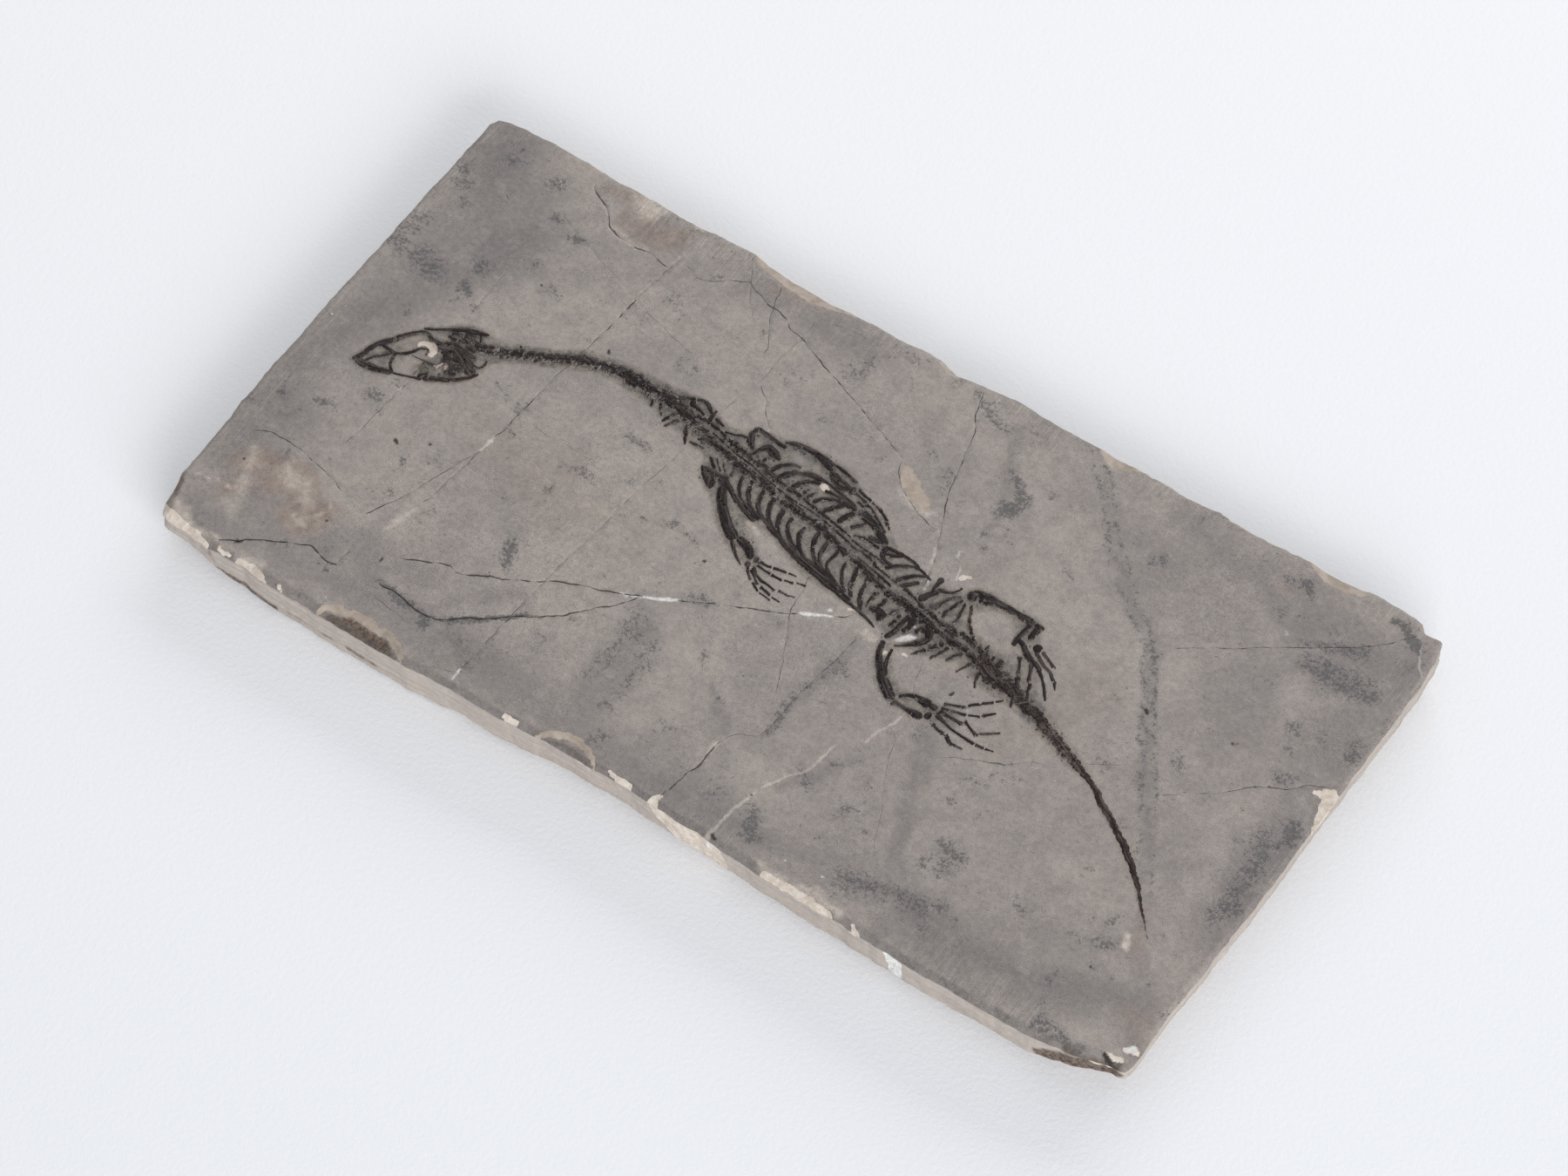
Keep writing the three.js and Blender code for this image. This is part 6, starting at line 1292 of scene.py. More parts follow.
def fossil_bone(name, dark, light, film, film_share):
    """Fossil bone: dark, in fibres along the bone, with worn lighter spots and films of stone on it."""
    f = Finish(name)
    fine = f.noise(.34, 4, .7)
    patch = f.noise(1.5, 4, .62)
    large = f.noise(7, 3, .5)
    grain = f.noise(.14, 2, .5)
    fibre = f.plus(f.attribute("fibre"), f.step(fine, .2, .8, -.35, .35))
    colour = f.mix(f.step(fibre, .35, .95), dark, light)
    colour = f.mix(f.step(large, .42, .64, 0, .5), colour, dimmed(dark, .6))
    colour = f.mix(f.step(patch, .56, .72, 0, .35), colour, light)
    cover = f.plus(f.attribute("film"), f.step(fine, .3, .7, -.30, .30))
    cover = f.times(f.step(cover, .52, .74), film_share)
    colour = f.mix(cover, colour, f.mix(f.step(patch, .4, .6), film, dimmed(film, .62)))
    glints = f.times(f.spots(.9, .08), f.step(patch, .46, .6))
    colour = f.mix(f.times(glints, .7), colour, GLINT)
    if name == "skull_bone":
        colour = f.mix(f.attribute("olive"), colour, f.mix(f.step(fine, .4, .6), *OLIVE))
        colour = f.mix(f.attribute("pink"), colour, PINK)
        colour = f.mix(f.attribute("cream"), colour, f.mix(f.step(patch, .35, .65), *SKULL_CREAM))
    height = f.plus(f.times(fine, .20), f.times(grain, .06))
    height = f.plus(height, f.times(f.attribute("fibre"), .05))
    return f.finish(colour, f.step(patch, .3, .7, .50, .68), .7, height, .14)


def paper():
    """The floor: pale paper with a fine tooth, and painted light that makes it lighter towards the back."""
    f = Finish("paper")
    slope = f.node("ShaderNodeSeparateXYZ")
    f.link(f.stretched(-34), slope.inputs[0])
    # painted light: the paper brightens towards the back
    across = f.step(slope.outputs[1], -.35, .35)
    tooth = f.noise(1.4, 4, .65)
    return f.finish(f.mix(across, *PAPER_WITH_PAINTED_FALLOFF), .9, .16, tooth, .1)


LIMESTONE = limestone()
BONE_LOOKS = {name: fossil_bone(name, *colours) for name, colours in BONE_COLOURS.items()}

# ---------- the height of the split face ----------

MAP_STEP, MAP_MARGIN = 0.25, 5.0  # of the map of all bones
PICKED_DEPTH = 0.07  # how far the stone was picked out between the bones
BEVEL_LEAD = 0.35  # how far in from the arris the bevel begins, as a share of the bevel
BEVEL_CURVE = 1.25  # 1 would be a straight bevel

bone_map = StrokeGrid([stroke for _, *strokes in BONES.values() for stroke in strokes],
                      MAP_STEP, MAP_MARGIN)


def blurred(values, strides):
    """Values averaged with their neighbours a few strides away."""
    for step in strides:
        values = (values + np.roll(values, step, 0) + np.roll(values, -step, 0)
                  + np.roll(values, step, 1) + np.roll(values, -step, 1)) / 5
    return values


# How much of the neighbourhood is bone: high between the ribs, low out on the open stone.
crowding = blurred((bone_map.depth > 0).astype(float), (1, 2, 3, 5, 8) * 3)


def rolling(x, y):
    """The split face's gentle waves."""
    return (.10 * noise(x, y, 46, 3, octaves=2) + .035 * noise(x, y, 7, 5, octaves=2)
            + .012 * noise(x, y, 1.6, 9, octaves=2))


def ground(x, y):
    """Height of the stone: slightly lower and rougher where it was picked out between bones."""
    crowd = bone_map.sampled(crowding, x, y)
    picked = smoothstep(crowd, .12, .42)
    return STONE_LEVEL + rolling(x, y) - picked * PICKED_DEPTH * (1 + noise(x, y, .8, 21))


# ---------- the slab ----------

RING_STEP = 0.8  # spacing of the mesh along the arris
SIDE_ROWS = 10  # rows of the mesh down to the lower arris
UNDER_ROWS = 5  # rows from there in under the slab
ROWS = SIDE_ROWS + UNDER_ROWS
CORNER_SPREAD = 60  # how slowly the undercut's direction turns round a corner
CRACK_STEP = 0.55  # spacing of the mesh along a crack
CRACK_DEPTH = 0.32  # of a crack that is fully open
CROSSING = 0.4  # openness where one crack crosses the side of another
SHORTEST_CRACK = 3  # points along it
CRACK_CLEARANCE = 0.45  # of the bevel
FINE, MEDIUM, COARSE = 0.34, 0.62, 1.14  # spacings of the points scattered over the top
BONE_INSIDE, BONE_NEAR, BONE_AROUND = 0.1, -0.75, -2.2  # depths in bone where the spacing changes
RIM_AROUND = -4.5  # further out than this, the spacing is medium
RIM_CLEARANCE = 0.3  # of scattered points
THIN_SOFTNESS = 0.5  # markings with a sharper border need fine spacing
SCATTER_X, SCATTER_Y = 143, 77  # points are scattered this far from the middle
ROW_SPACING = 0.87  # of the spacing, which makes the triangles nearly equal-sided
JITTER = 0.27  # how far a scattered point strays, as a share of the spacing
CELL = 0.3  # size of the cells that keep the top's points apart
CELLS_X, CELLS_Y = 150, 80  # the cells reach this far from the middle
INNER_X, INNER_Y = 128, 62  # the arris is further from the middle than this
FAR_INSIDE = -50.0  # stands for how far outside the arris the places within that are
SAWN_X, SAWN_Y = 140, 74  # where the saw's traces by the arris are strongest
FACING = 0.6  # how squarely a side has to face a way to carry its markings
UNDERSIDE_X, UNDERSIDE_Y, UNDERSIDE_STEP = 126, 60, 6.0  # the grid of points under the slab


def turned_slowly(directions, times):
    """Directions around the slab, each averaged with its neighbours."""
    for _ in range(times):
        directions = (np.roll(directions, 1, 0) + directions + np.roll(directions, -1, 0)) / 3
    return directions / np.hypot(*directions.T)[:, None]


def edge_samples():
    """The arris sampled evenly: (x, y, bevel, side, undercut), outward directions, the same turning
    slowly round the corners, and the run along the arris."""
    points = np.array(SLAB_EDGE, float)
    closed = np.vstack([points, points[:1]])
    run = np.concatenate([[0], np.cumsum(np.hypot(*np.diff(closed[:, :2], axis=0).T))])
    count = int(run[-1] / RING_STEP)
    at = np.arange(count) * run[-1] / count
    table = np.stack([np.interp(at, run, closed[:, k]) for k in range(5)], 1)
    direction = (np.roll(table, -1, 0) - np.roll(table, 1, 0))[:, :2]
    direction /= np.hypot(*direction.T)[:, None]
    outward = turned_slowly(np.stack([direction[:, 1], -direction[:, 0]], 1), 3)
    ragged = .22 * noise(at, at * 0, 5, 31, octaves=4)
    table[:, :2] += outward * (ragged - .12)[:, None]
    return table, outward, turned_slowly(outward, CORNER_SPREAD), at


edge, outward, slow_outward, edge_run = edge_samples()
edge_tree = KDTree(len(edge))
for number, place in enumerate(edge):
    edge_tree.insert((place[0], place[1], 0), number)
edge_tree.balance()


def past_arris(x, y):
    """How far each place lies outside the arris, and the bevel there."""
    out = np.full(x.shape, FAR_INSIDE)
    bevel = np.ones(x.shape)
    for k in np.flatnonzero((np.abs(x) > INNER_X) | (np.abs(y) > INNER_Y)):
        _, nearest, _ = edge_tree.find((x[k], y[k], 0))
        (edge_x, edge_y), (out_x, out_y) = edge[nearest, :2], outward[nearest]
        out[k] = (x[k] - edge_x) * out_x + (y[k] - edge_y) * out_y
        bevel[k] = edge[nearest, 2]
    return out, bevel


def flaked(x, y):
    """Height left by the flakes broken off the arris."""
    height = np.full(x.shape, np.inf)
    for cx, cy, half_length, reach, depth in ARRIS_CHIPS:
        on_end = abs(cx) > HALF_LENGTH
        a, b = (reach, half_length) if on_end else (half_length, reach)
        u, v = (x - cx) / a, (y - cy) / b
        u, v = u + .05 * noise(x, y, 3, 41), v + .06 * noise(x, y, 2.5, 43)
        r = np.hypot(u, v)
        bowl = SPLIT_FACE + CHIP_RISE - (depth + CHIP_RISE) * np.sqrt(np.clip(1 - r * r, 0, 1))
        bowl += .06 * np.sin(r * 26 + 2 * noise(x, y, 4, 47, octaves=2)) + .10 * noise(x, y, 1.1, 49)
        height = np.where(r < 1, np.minimum(height, bowl), height)
    return height


def top_height(x, y):
    """Height of the split face, down over its rounded arris."""
    out, bevel = past_arris(x, y)
    slope = np.clip((out / bevel + BEVEL_LEAD) / (1 + BEVEL_LEAD), 0, None)
    drop = bevel * slope ** BEVEL_CURVE
    rough = smoothstep(slope, .05, .5) * .16 * noise(x, y, 1.2, 51, octaves=4)
    return np.minimum(ground(x, y) - drop + rough, flaked(x, y))


def within(ring, x, y):
    """Whether each place lies inside a closed ring."""
    ax, ay = ring.T
    bx, by = np.roll(ring, -1, 0).T
    level = (ay > y[:, None]) != (by > y[:, None])
    meets = ax + (y[:, None] - ay) * (bx - ax) / np.where(by == ay, 1, by - ay)
    return (level & (x[:, None] < meets)).sum(1) % 2 == 1


def filled(ring, places, edges, upward):
    """Triangles over everything inside a closed ring, which is the first of the places.

    Returns the triangles' points, the triangles, which of the places each point was, and which point
    each place of the ring became.
    """
    verts, _, triangles, origin, _, _ = delaunay_2d_cdt(
        [Vector(p) for p in places], edges.tolist(), [], 1, 1e-5, True)
    flat = np.array([tuple(v) for v in verts], float)
    faces = np.array(triangles, int)
    # a hollow in the ring is filled too, so the triangles between ring points have to prove themselves
    on_ring = np.array([any(k < len(ring) for k in ids) for ids in origin])
    doubtful = np.flatnonzero(on_ring[faces].all(1))
    middle = flat[faces[doubtful]].mean(1)
    stray = doubtful[~within(ring, middle[:, 0], middle[:, 1])]
    faces = np.delete(faces, stray, 0)
    one, two = flat[faces[:, 1]] - flat[faces[:, 0]], flat[faces[:, 2]] - flat[faces[:, 0]]
    turned = (one[:, 0] * two[:, 1] - one[:, 1] * two[:, 0] < 0) == upward
    faces[turned] = faces[turned][:, ::-1]
    ring_at = np.full(len(ring), -1)
    for new, ids in enumerate(origin):
        for k in ids:
            if k < len(ring):
                ring_at[k] = new
    return flat, faces, origin, ring_at


def crack_lines():
    """The cracks' jittered centre lines, with the directions across them, half-widths and openness."""
    lines = []
    for seed, (half_width, path) in enumerate(CRACKS):
        path = rounded([(x, y, 0) for x, y in path], 4)[:, :2]
        run = np.concatenate([[0], np.cumsum(np.hypot(*np.diff(path, axis=0).T))])
        count = max(int(run[-1] / CRACK_STEP), SHORTEST_CRACK)
        at = np.linspace(0, run[-1], count)
        line = np.stack([np.interp(at, run, path[:, 0]), np.interp(at, run, path[:, 1])], 1)
        along = np.gradient(line, axis=0)
        along /= np.maximum(np.hypot(*along.T), 1e-9)[:, None]
        across = np.stack([along[:, 1], -along[:, 0]], 1)
        line += across * (.22 * noise(at, at * 0 + seed * 7.7, 2.4, 61))[:, None]
        width = half_width * (1 + .75 * noise(at, at * 0 + seed * 3.1, 1.7, 63))
        width = np.clip(width, .035, None) * smoothstep(np.minimum(at, run[-1] - at), -.4, 1.2)
        healed = 1 - smoothstep(width, .08, .24)
        healed = healed * np.clip(.55 + .8 * noise(at, at * 0 + seed * 5.9, 5, 65), 0, 1)
        openness = np.clip(.30 + 3 * width, 0, 1) * (1 - .85 * healed)
        # only the parts that stay clear of the bevel
        out, bevel = past_arris(line[:, 0], line[:, 1])
        kept = out - bevel < -CRACK_CLEARANCE
        for piece in np.split(np.arange(count), np.flatnonzero(np.diff(kept.astype(int))) + 1):
            if len(piece) >= SHORTEST_CRACK and kept[piece[0]]:
                lines.append((line[piece], across[piece], np.maximum(width[piece], .03), openness[piece]))
    return lines


def near_thin_marking(x, y):
    """Where a marking with a sharp border needs the mesh to be fine."""
    near = np.zeros(x.shape, bool)
    for kind in ("white", "pit", "cream", "pale"):
        for soft, _, *strokes in MARKINGS[kind]:
            if soft <= THIN_SOFTNESS:
                for stroke in strokes:
                    near |= depth_in_stroke(x, y, stroke, .7) > -.45
    return near


def cell_of(points):
    """Row and column of each point's cell."""
    return (((points[:, 1] + CELLS_Y) / CELL).astype(int),
            ((points[:, 0] + CELLS_X) / CELL).astype(int))


def slab_points(ring):
    """Places of the top's points, the edges they must keep, and {point in a crack's bottom: openness}."""
    total = len(ring)
    places, deep = [ring], {}
    edges = [np.stack([np.arange(total), np.roll(np.arange(total), -1)], 1)]
    taken = np.zeros((int(2 * CELLS_Y / CELL), int(2 * CELLS_X / CELL)), bool)

    def take(points):
        """Mark the points' cells and those around them."""
        j, i = cell_of(points)
        for dj in (-1, 0, 1):
            for di in (-1, 0, 1):
                taken[np.clip(j + dj, 0, taken.shape[0] - 1), np.clip(i + di, 0, taken.shape[1] - 1)] = True

    take(ring)
    for line, across, width, openness in crack_lines():
        count = len(line)
        for side in (0, -1, 1):
            rail = line + side * across * width[:, None]
            places.append(rail)
            edges.append(np.stack([np.arange(count - 1), np.arange(1, count)], 1) + total)
            if side == 0:
                deep.update((total + k, openness[k]) for k in range(1, count - 1))
            total += count
            take(rail)
    # scattered points: fine at thin markings and the bones' outlines, coarser out on the open stone
    levels = (
        (FINE, lambda depth, rim, thin: thin | ((depth < BONE_INSIDE) & (depth > BONE_NEAR))),
        (MEDIUM, lambda depth, rim, thin:
            (rim > RIM_AROUND) | ((depth <= BONE_NEAR) & (depth > BONE_AROUND))),
        (COARSE, lambda depth, rim, thin: (depth <= BONE_AROUND) | (depth >= BONE_INSIDE)),
    )
    random = np.random.default_rng(7)
    scattered = []
    for step, wanted in levels:
        rows = np.arange(-SCATTER_Y, SCATTER_Y, step * ROW_SPACING)
        columns = np.arange(-SCATTER_X, SCATTER_X, step)
        x = np.concatenate([columns + (k % 2) * step / 2 for k in range(len(rows))])
        y = np.repeat(rows, len(columns))
        x = x + random.uniform(-JITTER, JITTER, len(x)) * step
        y = y + random.uniform(-JITTER, JITTER, len(y)) * step
        depth = np.where(bone_map.covers(x, y), bone_map.sampled(bone_map.depth, x, y), -MAP_MARGIN)
        out, bevel = past_arris(x, y)
        kept = (out < bevel - RIM_CLEARANCE) & wanted(depth, out - bevel, near_thin_marking(x, y))
        points = np.stack([x, y], 1)
        points = points[kept & ~taken[cell_of(points)]]
        scattered.append(points)
        taken[cell_of(points)] = True
    return np.vstack([*places, *scattered]), np.vstack(edges), deep


def clipped(places):
    """Places held within the furthest that the stone reaches."""
    return np.clip(places, (-HALF_LENGTH, -HALF_WIDTH), (HALF_LENGTH, HALF_WIDTH))


def side_row(row, rim_z):
    """One row of points of the sides, which go down to the lower arris and then in under the slab."""
    lower_arris = SPLIT_FACE - edge[:, 3]
    if row <= SIDE_ROWS:
        share = row / SIDE_ROWS
        height = rim_z + (lower_arris - rim_z) * share
        offset = edge[:, 2] - .30 * np.abs(noise(height, edge_run * .04, .9, 81, octaves=2))
        offset = offset - .16 * np.abs(noise(edge_run, height, 2.2, 83, octaves=4)) - .05
        height = height + .10 * noise(edge_run, height, 3, 85) * (share < 1)
        inset = np.zeros(len(edge))
    else:
        share = (row - SIDE_ROWS) / UNDER_ROWS
        height = lower_arris * (1 - share)
        offset = edge[:, 2]
        broken = .35 + .35 * noise(edge_run, height, 2.6, 87, octaves=4)
        inset = edge[:, 4] * share ** .8 + broken * (1 - .4 * share)
        if row < ROWS:
            height = np.clip(height + .25 * noise(edge_run, height, 2, 89), .15, None)
    place = edge[:, :2] + outward * offset[:, None] - slow_outward * inset[:, None]
    return np.column_stack([clipped(place), height])


def coverage(kind, x, y):
    """How strongly a marking covers each place of the split face, from 0 to 1."""
    total = np.zeros(x.shape)
    for soft, strength, *strokes in MARKINGS[kind]:
        bend = .6 * min(soft, 4)
        u = x + bend * noise(x, y, 2.2 * soft + .6, 71)
        v = y + bend * noise(x, y, 2.2 * soft + .6, 73)
        for stroke in strokes:
            depth = depth_in_stroke(u, v, stroke, soft)
            total = np.maximum(total, strength * smoothstep(depth, -soft / 2, soft / 2))
    return total


def side_coverage(marks, outer, down):
    """The same for a marking of the sides, at points in rows below the outer ring, this far down."""
    x, y = np.tile(outer, (ROWS, 1)).T
    facing_x, facing_y = np.tile(outward, (ROWS, 1)).T
    faces = {"front": (x, facing_y < -FACING), "back": (x, facing_y > FACING),
             "right": (y, facing_x > FACING), "left": (y, facing_x < -FACING)}
    total = np.zeros(len(down))
    for face, stroke in marks:
        along, there = faces[face]
        u = along + .5 * noise(along, down, 2, 93)
        v = down + .4 * noise(along, down, 1.6, 95)
        total = np.maximum(total, smoothstep(depth_in_stroke(u, v, stroke, 1), -.3, .3) * there)
    return total


def top_attributes(x, y, groove):
    """What the stone's material needs to know at each point of the split face."""
    on_map = bone_map.covers(x, y)
    depth = bone_map.sampled(bone_map.depth, x, y)
    crowd = bone_map.sampled(crowding, x, y) * on_map
    near = smoothstep(depth, -2.4, -.2) * on_map
    patchy = smoothstep(noise(x, y, 9, 91, octaves=2), -.5, .5)
    out, _ = past_arris(x, y)
    inward = np.minimum(SAWN_X - np.abs(x), SAWN_Y - np.abs(y))
    return {kind: coverage(kind, x, y) for kind in MARKINGS} | {
        "crack": groove,
        # where shade is painted over the front bevel
        "arris": smoothstep(out, -.8, .1) * smoothstep(y, -60, -68),
        "bed": smoothstep(crowd, .22, .33),
        "halo": near * (1 - smoothstep(crowd, .3, .5)) * patchy,
        "smoke": smoothstep(depth, -1.0, -.05) * on_map * (.08 + .92 * smoothstep(crowd, .30, .44)),
        "sawn": smoothstep(inward, 14, 2) * smoothstep(noise(x, y, 22, 97, octaves=2), -.3, .4),
    }


def build_slab():
    """The slab as one closed mesh: the split face, the sides row by row, and the flat underside."""
    outer = clipped(edge[:, :2] + outward * edge[:, 2:3])
    places, edges, deep = slab_points(outer)
    top, faces, origin, rim = filled(outer, places, edges, True)
    groove = np.array([max((deep.get(k, 0) for k in ids), default=CROSSING) for ids in origin])
    x, y = top.T
    z = top_height(x, y) - CRACK_DEPTH * groove
    all_faces = [faces]
    # the sides
    sides = np.vstack([side_row(row, z[rim]) for row in range(1, ROWS + 1)])
    rings = np.vstack([rim, np.arange(len(sides)).reshape(ROWS, -1) + len(top)])
    for upper, lower in zip(rings, rings[1:]):
        a, b, c, d = upper, np.roll(upper, -1), np.roll(lower, -1), lower
        all_faces += [np.stack([a, d, c], 1), np.stack([a, c, b], 1)]
    # the underside
    base = sides[-len(edge):, :2]
    columns = np.arange(-UNDERSIDE_X, UNDERSIDE_X + 1, UNDERSIDE_STEP)
    rows = np.arange(-UNDERSIDE_Y, UNDERSIDE_Y + 1, UNDERSIDE_STEP)
    inner = np.stack(np.meshgrid(columns, rows), 2).reshape(-1, 2)
    loop = np.stack([np.arange(len(base)), np.roll(np.arange(len(base)), -1)], 1)
    flat, below, _, base_at = filled(base, np.vstack([base, inner]), loop, False)
    number = np.arange(len(flat)) + len(top) + len(sides)
    number[base_at] = rings[-1]
    all_faces.append(number[below])
    points = np.vstack([np.column_stack([x, y, z]), sides, np.column_stack([flat, np.zeros(len(flat))])])
    used, all_faces = np.unique(np.vstack(all_faces), return_inverse=True)

    def spread(on_top=0, on_sides=0, on_base=0):
        """Values for all the mesh's points."""
        parts = ((on_top, len(top)), (on_sides, len(sides)), (on_base, len(flat)))
        return np.concatenate([np.broadcast_to(value, count) for value, count in parts])[used]

    attributes = {name: spread(values) for name, values in top_attributes(x, y, groove).items()}
    attributes["side"] = spread(0, 1, 1)
    under = np.repeat([0.0] * (SIDE_ROWS - 1) + [.5] + [1.0] * UNDER_ROWS, len(edge))
    attributes["under"] = spread(0, under, 1)
    for kind, marks in SIDE_MARKINGS.items():
        attributes[kind] = spread(0, side_coverage(marks, outer, SPLIT_FACE - sides[:, 2]))
    return make_mesh("limestone_slab", points[used], all_faces.reshape(-1, 3), LIMESTONE, attributes, 50)


# ---------- the bones ----------

FIELD_MARGIN = 0.9  # of a bone's grid around its strokes
THINNEST = 0.12  # a bone's relief is worked out for at least this half-width
OFF_GRID = 0.12  # how far the outline stays from the grid's points, as a share of its step
FURROW_WIDTH = 0.30  # of the furrow between two strokes that lie side by side
FURROW_BITE = 0.7  # how far such a furrow can cut in, as a share of the half-width
JOINT_FLARE, JOINT_WAIST = 0.45, 0.12  # how small bones widen to their ends and narrow between
JOINT_SLOPE, JOINT_GAP = 1.4, 0.03  # how they taper off, to keep clear of each other
SHORTEST_DIGIT = 0.5  # strokes up to this length are left as they are
GAP_WIDTH = 0.10  # of the gap between vertebrae, as a share of their pitch
GAP_BITE = 0.95  # how far such a gap can cut in, as a share of the half-width
VERTEBRA_BULGE = 0.10  # as a share of the half-width
VERTEBRA_DIP = 0.22  # how much lower a vertebra is at its ends
WEAR, FURROW_DIP = 0.35, 0.35  # how much lower a bone is where it is worn, and in a furrow


class BoneField:
    """A bone's outline as a field over a grid, above zero where there is bone, with what its relief
    needs to know of each place."""

    def __init__(self, kind, strokes, seed):
        grid = self.grid = StrokeGrid(strokes, BONE_STEP, FIELD_MARGIN)
        style = BONE_KINDS[kind]
        x, y = np.meshgrid(grid.x, grid.y)
        self.width = width = np.maximum(grid.width, THINNEST)
        self.along = grid.along + grid.stroke * 31.7
        self.across = grid.across / width
        self.wide = wide = smoothstep(width, *style.breaks_up)
        self.in_vertebra = np.zeros(x.shape)
        depth = grid.depth + style.widened
        if kind == "digit":
            depth = self.parted_at_joints(depth)
        if style.pitch:
            depth = self.parted_in_vertebrae(depth, style.pitch, style.gap)
        # where two strokes lie side by side, a furrow parts them
        self.furrow = 1 - smoothstep(grid.depth - grid.rival, 0, FURROW_WIDTH)
        if kind == "rib" or style.pitch:
            open_furrow = smoothstep(noise(x, y, 1.7, seed + 2, octaves=2), -.6, .1)
            depth = depth - FURROW_BITE * width * wide * self.furrow * open_furrow
        ragged = noise(x, y, .5, seed, octaves=2) + .5 * noise(x, y, 1.1, seed + 1, octaves=2)
        depth = depth + style.ragged * ragged
        crumbs = smoothstep(noise(x, y, .8, seed + 3), .75 - style.broken, 1.1 - style.broken) * wide
        depth = depth - crumbs * (depth * 1.2 + .1)
        # keep the outline off the grid's points, where it would make needle-thin triangles
        limit = OFF_GRID * BONE_STEP
        self.depth = np.where(np.abs(depth) < limit, np.where(depth < 0, -limit, limit), depth)

    def parted_at_joints(self, depth):
        """The small bones of hands and feet, which widen to their ends and don't touch each other."""
        grid = self.grid
        length = np.array(grid.lengths)[np.maximum(grid.stroke, 0).astype(int)]
        share = grid.along / length
        depth = depth + self.width * (JOINT_FLARE * np.abs(2 * share - 1) ** 3 - JOINT_WAIST)
        to_end = (.5 - np.abs(share - .5)) * length
        tapered = np.minimum(depth, JOINT_SLOPE * to_end - JOINT_GAP)
        return np.where(length > SHORTEST_DIGIT, tapered, depth)

    def parted_in_vertebrae(self, depth, pitch, gap_share):
        """A column broken across into vertebrae, each of which bulges in its middle."""
        bend = .45 * self.grid.across + .9 * noise(self.along, self.across, 5, 3, octaves=2)
        phase = (self.along + bend) / pitch
        self.in_vertebra = phase - np.floor(phase) - .5
        which = noise(np.floor(phase) * 3.7, self.grid.stroke * 5.3, 1, 13, octaves=1)
        gap = np.exp(-(self.in_vertebra / GAP_WIDTH) ** 2) * smoothstep(which, -.75, .1) * gap_share
        depth = depth - self.width * self.wide * gap * GAP_BITE
        return depth + VERTEBRA_BULGE * self.width * np.cos(2 * np.pi * (self.in_vertebra - .5))

    def surface(self):
        """Points and triangles of the bone seen from above: x, y, the triangles, how far each point lies
        in from the outline, and the row and column of the grid nearest to it."""
        grid = self.grid
        x, y, faces, used = cut_out(self.depth, grid.x, grid.y)
        total = self.depth.size
        inward = np.where(used >= total, 0, self.depth.ravel()[np.where(used < total, used, 0)])
        row = np.clip(np.rint((y - grid.y[0]) / BONE_STEP).astype(int), 0, len(grid.y) - 1)
        column = np.clip(np.rint((x - grid.x[0]) / BONE_STEP).astype(int), 0, len(grid.x) - 1)
        return x, y, faces, inward, (row, column)


def skull_colours(x, y, pits, fibre):
    """How strongly each of the skull's own colours covers each point."""
    for colour, soft, *marks in SKULL_MARKINGS:
        cover = np.zeros(len(x))
        for mark in marks:
            there = depth_in_stroke(x + .12 * pits, y + .12 * fibre, mark, soft)
            cover = np.maximum(cover, smoothstep(there, -soft / 2, soft / 2))
        yield colour, cover


def build_bone(node, kind, strokes, seed):
    """One bone: domed, fibrous, worn in places, and closed below the stone."""
    style = BONE_KINDS[kind]
    field = BoneField(kind, strokes, seed)
    x, y, faces, inward, at = field.surface()
    width, furrow = field.width[at], field.furrow[at]
    up = np.clip(inward / width, 0, 1)
    dome = (1 - (1 - up) ** 3) ** .6
    fibre = noise(field.along[at] * .5, field.across[at] * width * 5, 1.5, seed + 5)
    pits = noise(x, y, .5, seed + 9)
    worn = smoothstep(noise(x, y, 3.2, seed + 17), .30, .8)
    height = np.minimum(style.relief, .6 * width + .06) * dome
    height *= 1 + .10 * fibre + .20 * np.clip(pits, -1, .3)
    height *= 1 - WEAR * worn - FURROW_DIP * furrow * (kind != "limb")
    height *= 1 - VERTEBRA_DIP * (2 * np.abs(field.in_vertebra[at])) ** 2
    film = style.edge_film * (1 - up) ** 2 + .30 * worn + .35 * furrow * field.wide[at]
    film += style.mottled * smoothstep(width, .5, .9) + .30 * noise(x, y, .8, seed + 19, octaves=4)
    film -= style.cleaned * (1 - smoothstep(width, .95, 1.25))
    attributes = {"film": film, "fibre": .5 + .5 * fibre}
    if style.look == "skull_bone":
        attributes.update(skull_colours(x, y, pits, fibre))
    attributes = {name: np.tile(values, 2) for name, values in attributes.items()}  # above and below
    stone = STONE_LEVEL + rolling(x, y)
    points, faces = closed_on(np.column_stack([x, y, stone + height]), faces, stone - BONE_ROOT)
    piece = make_mesh("fossil_" + node, points, faces, BONE_LOOKS[style.look], attributes, 70)
    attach(piece, "root")
    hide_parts(node)


slab = build_slab()
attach(slab, "root")
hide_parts("matrix_slab")
for number, (node, (kind, *strokes)) in enumerate(BONES.items()):
    build_bone(node, kind, strokes, 100 + 7 * number)


# ---------- floor, light and camera ----------

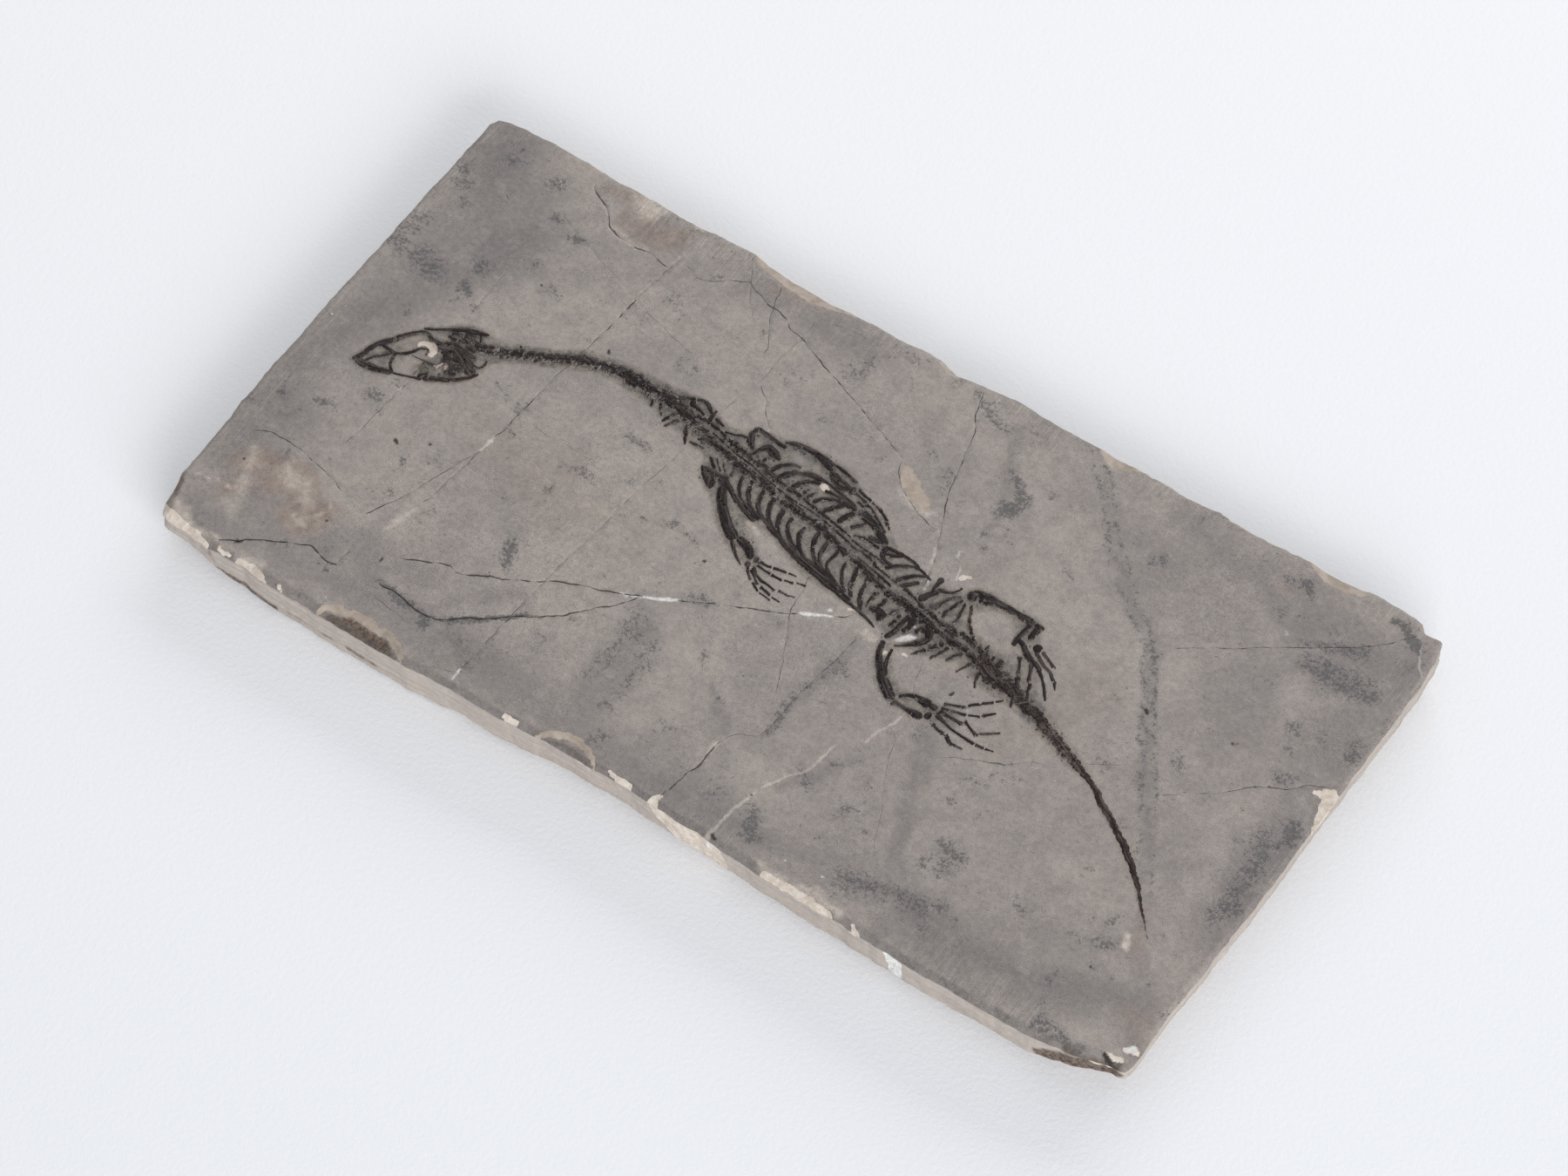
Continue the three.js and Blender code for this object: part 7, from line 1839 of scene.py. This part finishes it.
FLOOR_HALF = 3.0  # metres, as is everything from here on
FLOOR_GAP = .00005  # keeps the floor just under the slab
DAYLIGHT = (.97, .985, 1)
SKYLIGHT, SKYLIGHT_STRENGTH = (.95, .965, 1, 1), .56
LENS, SENSOR = 150, 36  # millimetres
AZIMUTH, ELEVATION = math.radians(33.94), math.radians(55.62)
DISTANCE = 1.579
TARGET = Vector((.0001, -.0045, .012))

floor_mesh = bpy.data.meshes.new("floor")
corners = [(x * FLOOR_HALF, y * FLOOR_HALF, 0) for x, y in ((-1, -1), (1, -1), (1, 1), (-1, 1))]
floor_mesh.from_pydata(corners, [], [(0, 1, 2, 3)])
floor_mesh.materials.append(paper())
floor = linked(bpy.data.objects.new("floor", floor_mesh))
floor.location = (0, 0, -FLOOR_GAP)


def area_light(name, place, size, power):
    """A rectangular soft light that faces the middle of the slab."""
    lamp = bpy.data.lights.new(name, "AREA")
    lamp.shape = "RECTANGLE"
    lamp.size, lamp.size_y = size
    lamp.energy = power
    lamp.color = DAYLIGHT
    thing = linked(bpy.data.objects.new(name, lamp))
    thing.location = place
    thing.rotation_euler = Vector(place).to_track_quat("Z", "Y").to_euler()


area_light("window", (2.2, -1.7, 1.15), (2.4, 1.2), 74)
area_light("far_window", (-.5, 2.7, .95), (2.8, 1.0), 46)

world = bpy.data.worlds.new("studio")
world.use_nodes = True
background = world.node_tree.nodes["Background"].inputs
background["Color"].default_value = SKYLIGHT
background["Strength"].default_value = SKYLIGHT_STRENGTH
bpy.context.scene.world = world
bpy.context.scene.view_settings.view_transform = "Standard"

camera_data = bpy.data.cameras.new("camera")
camera_data.lens = LENS
camera_data.sensor_width = SENSOR
camera_data.clip_end = 20
camera = linked(bpy.data.objects.new("camera", camera_data))
to_camera = Vector((math.sin(AZIMUTH) * math.cos(ELEVATION), -math.cos(AZIMUTH) * math.cos(ELEVATION),
                    math.sin(ELEVATION)))
camera.location = TARGET + DISTANCE * to_camera
camera.rotation_euler = to_camera.to_track_quat("Z", "Y").to_euler()
bpy.context.scene.camera = camera
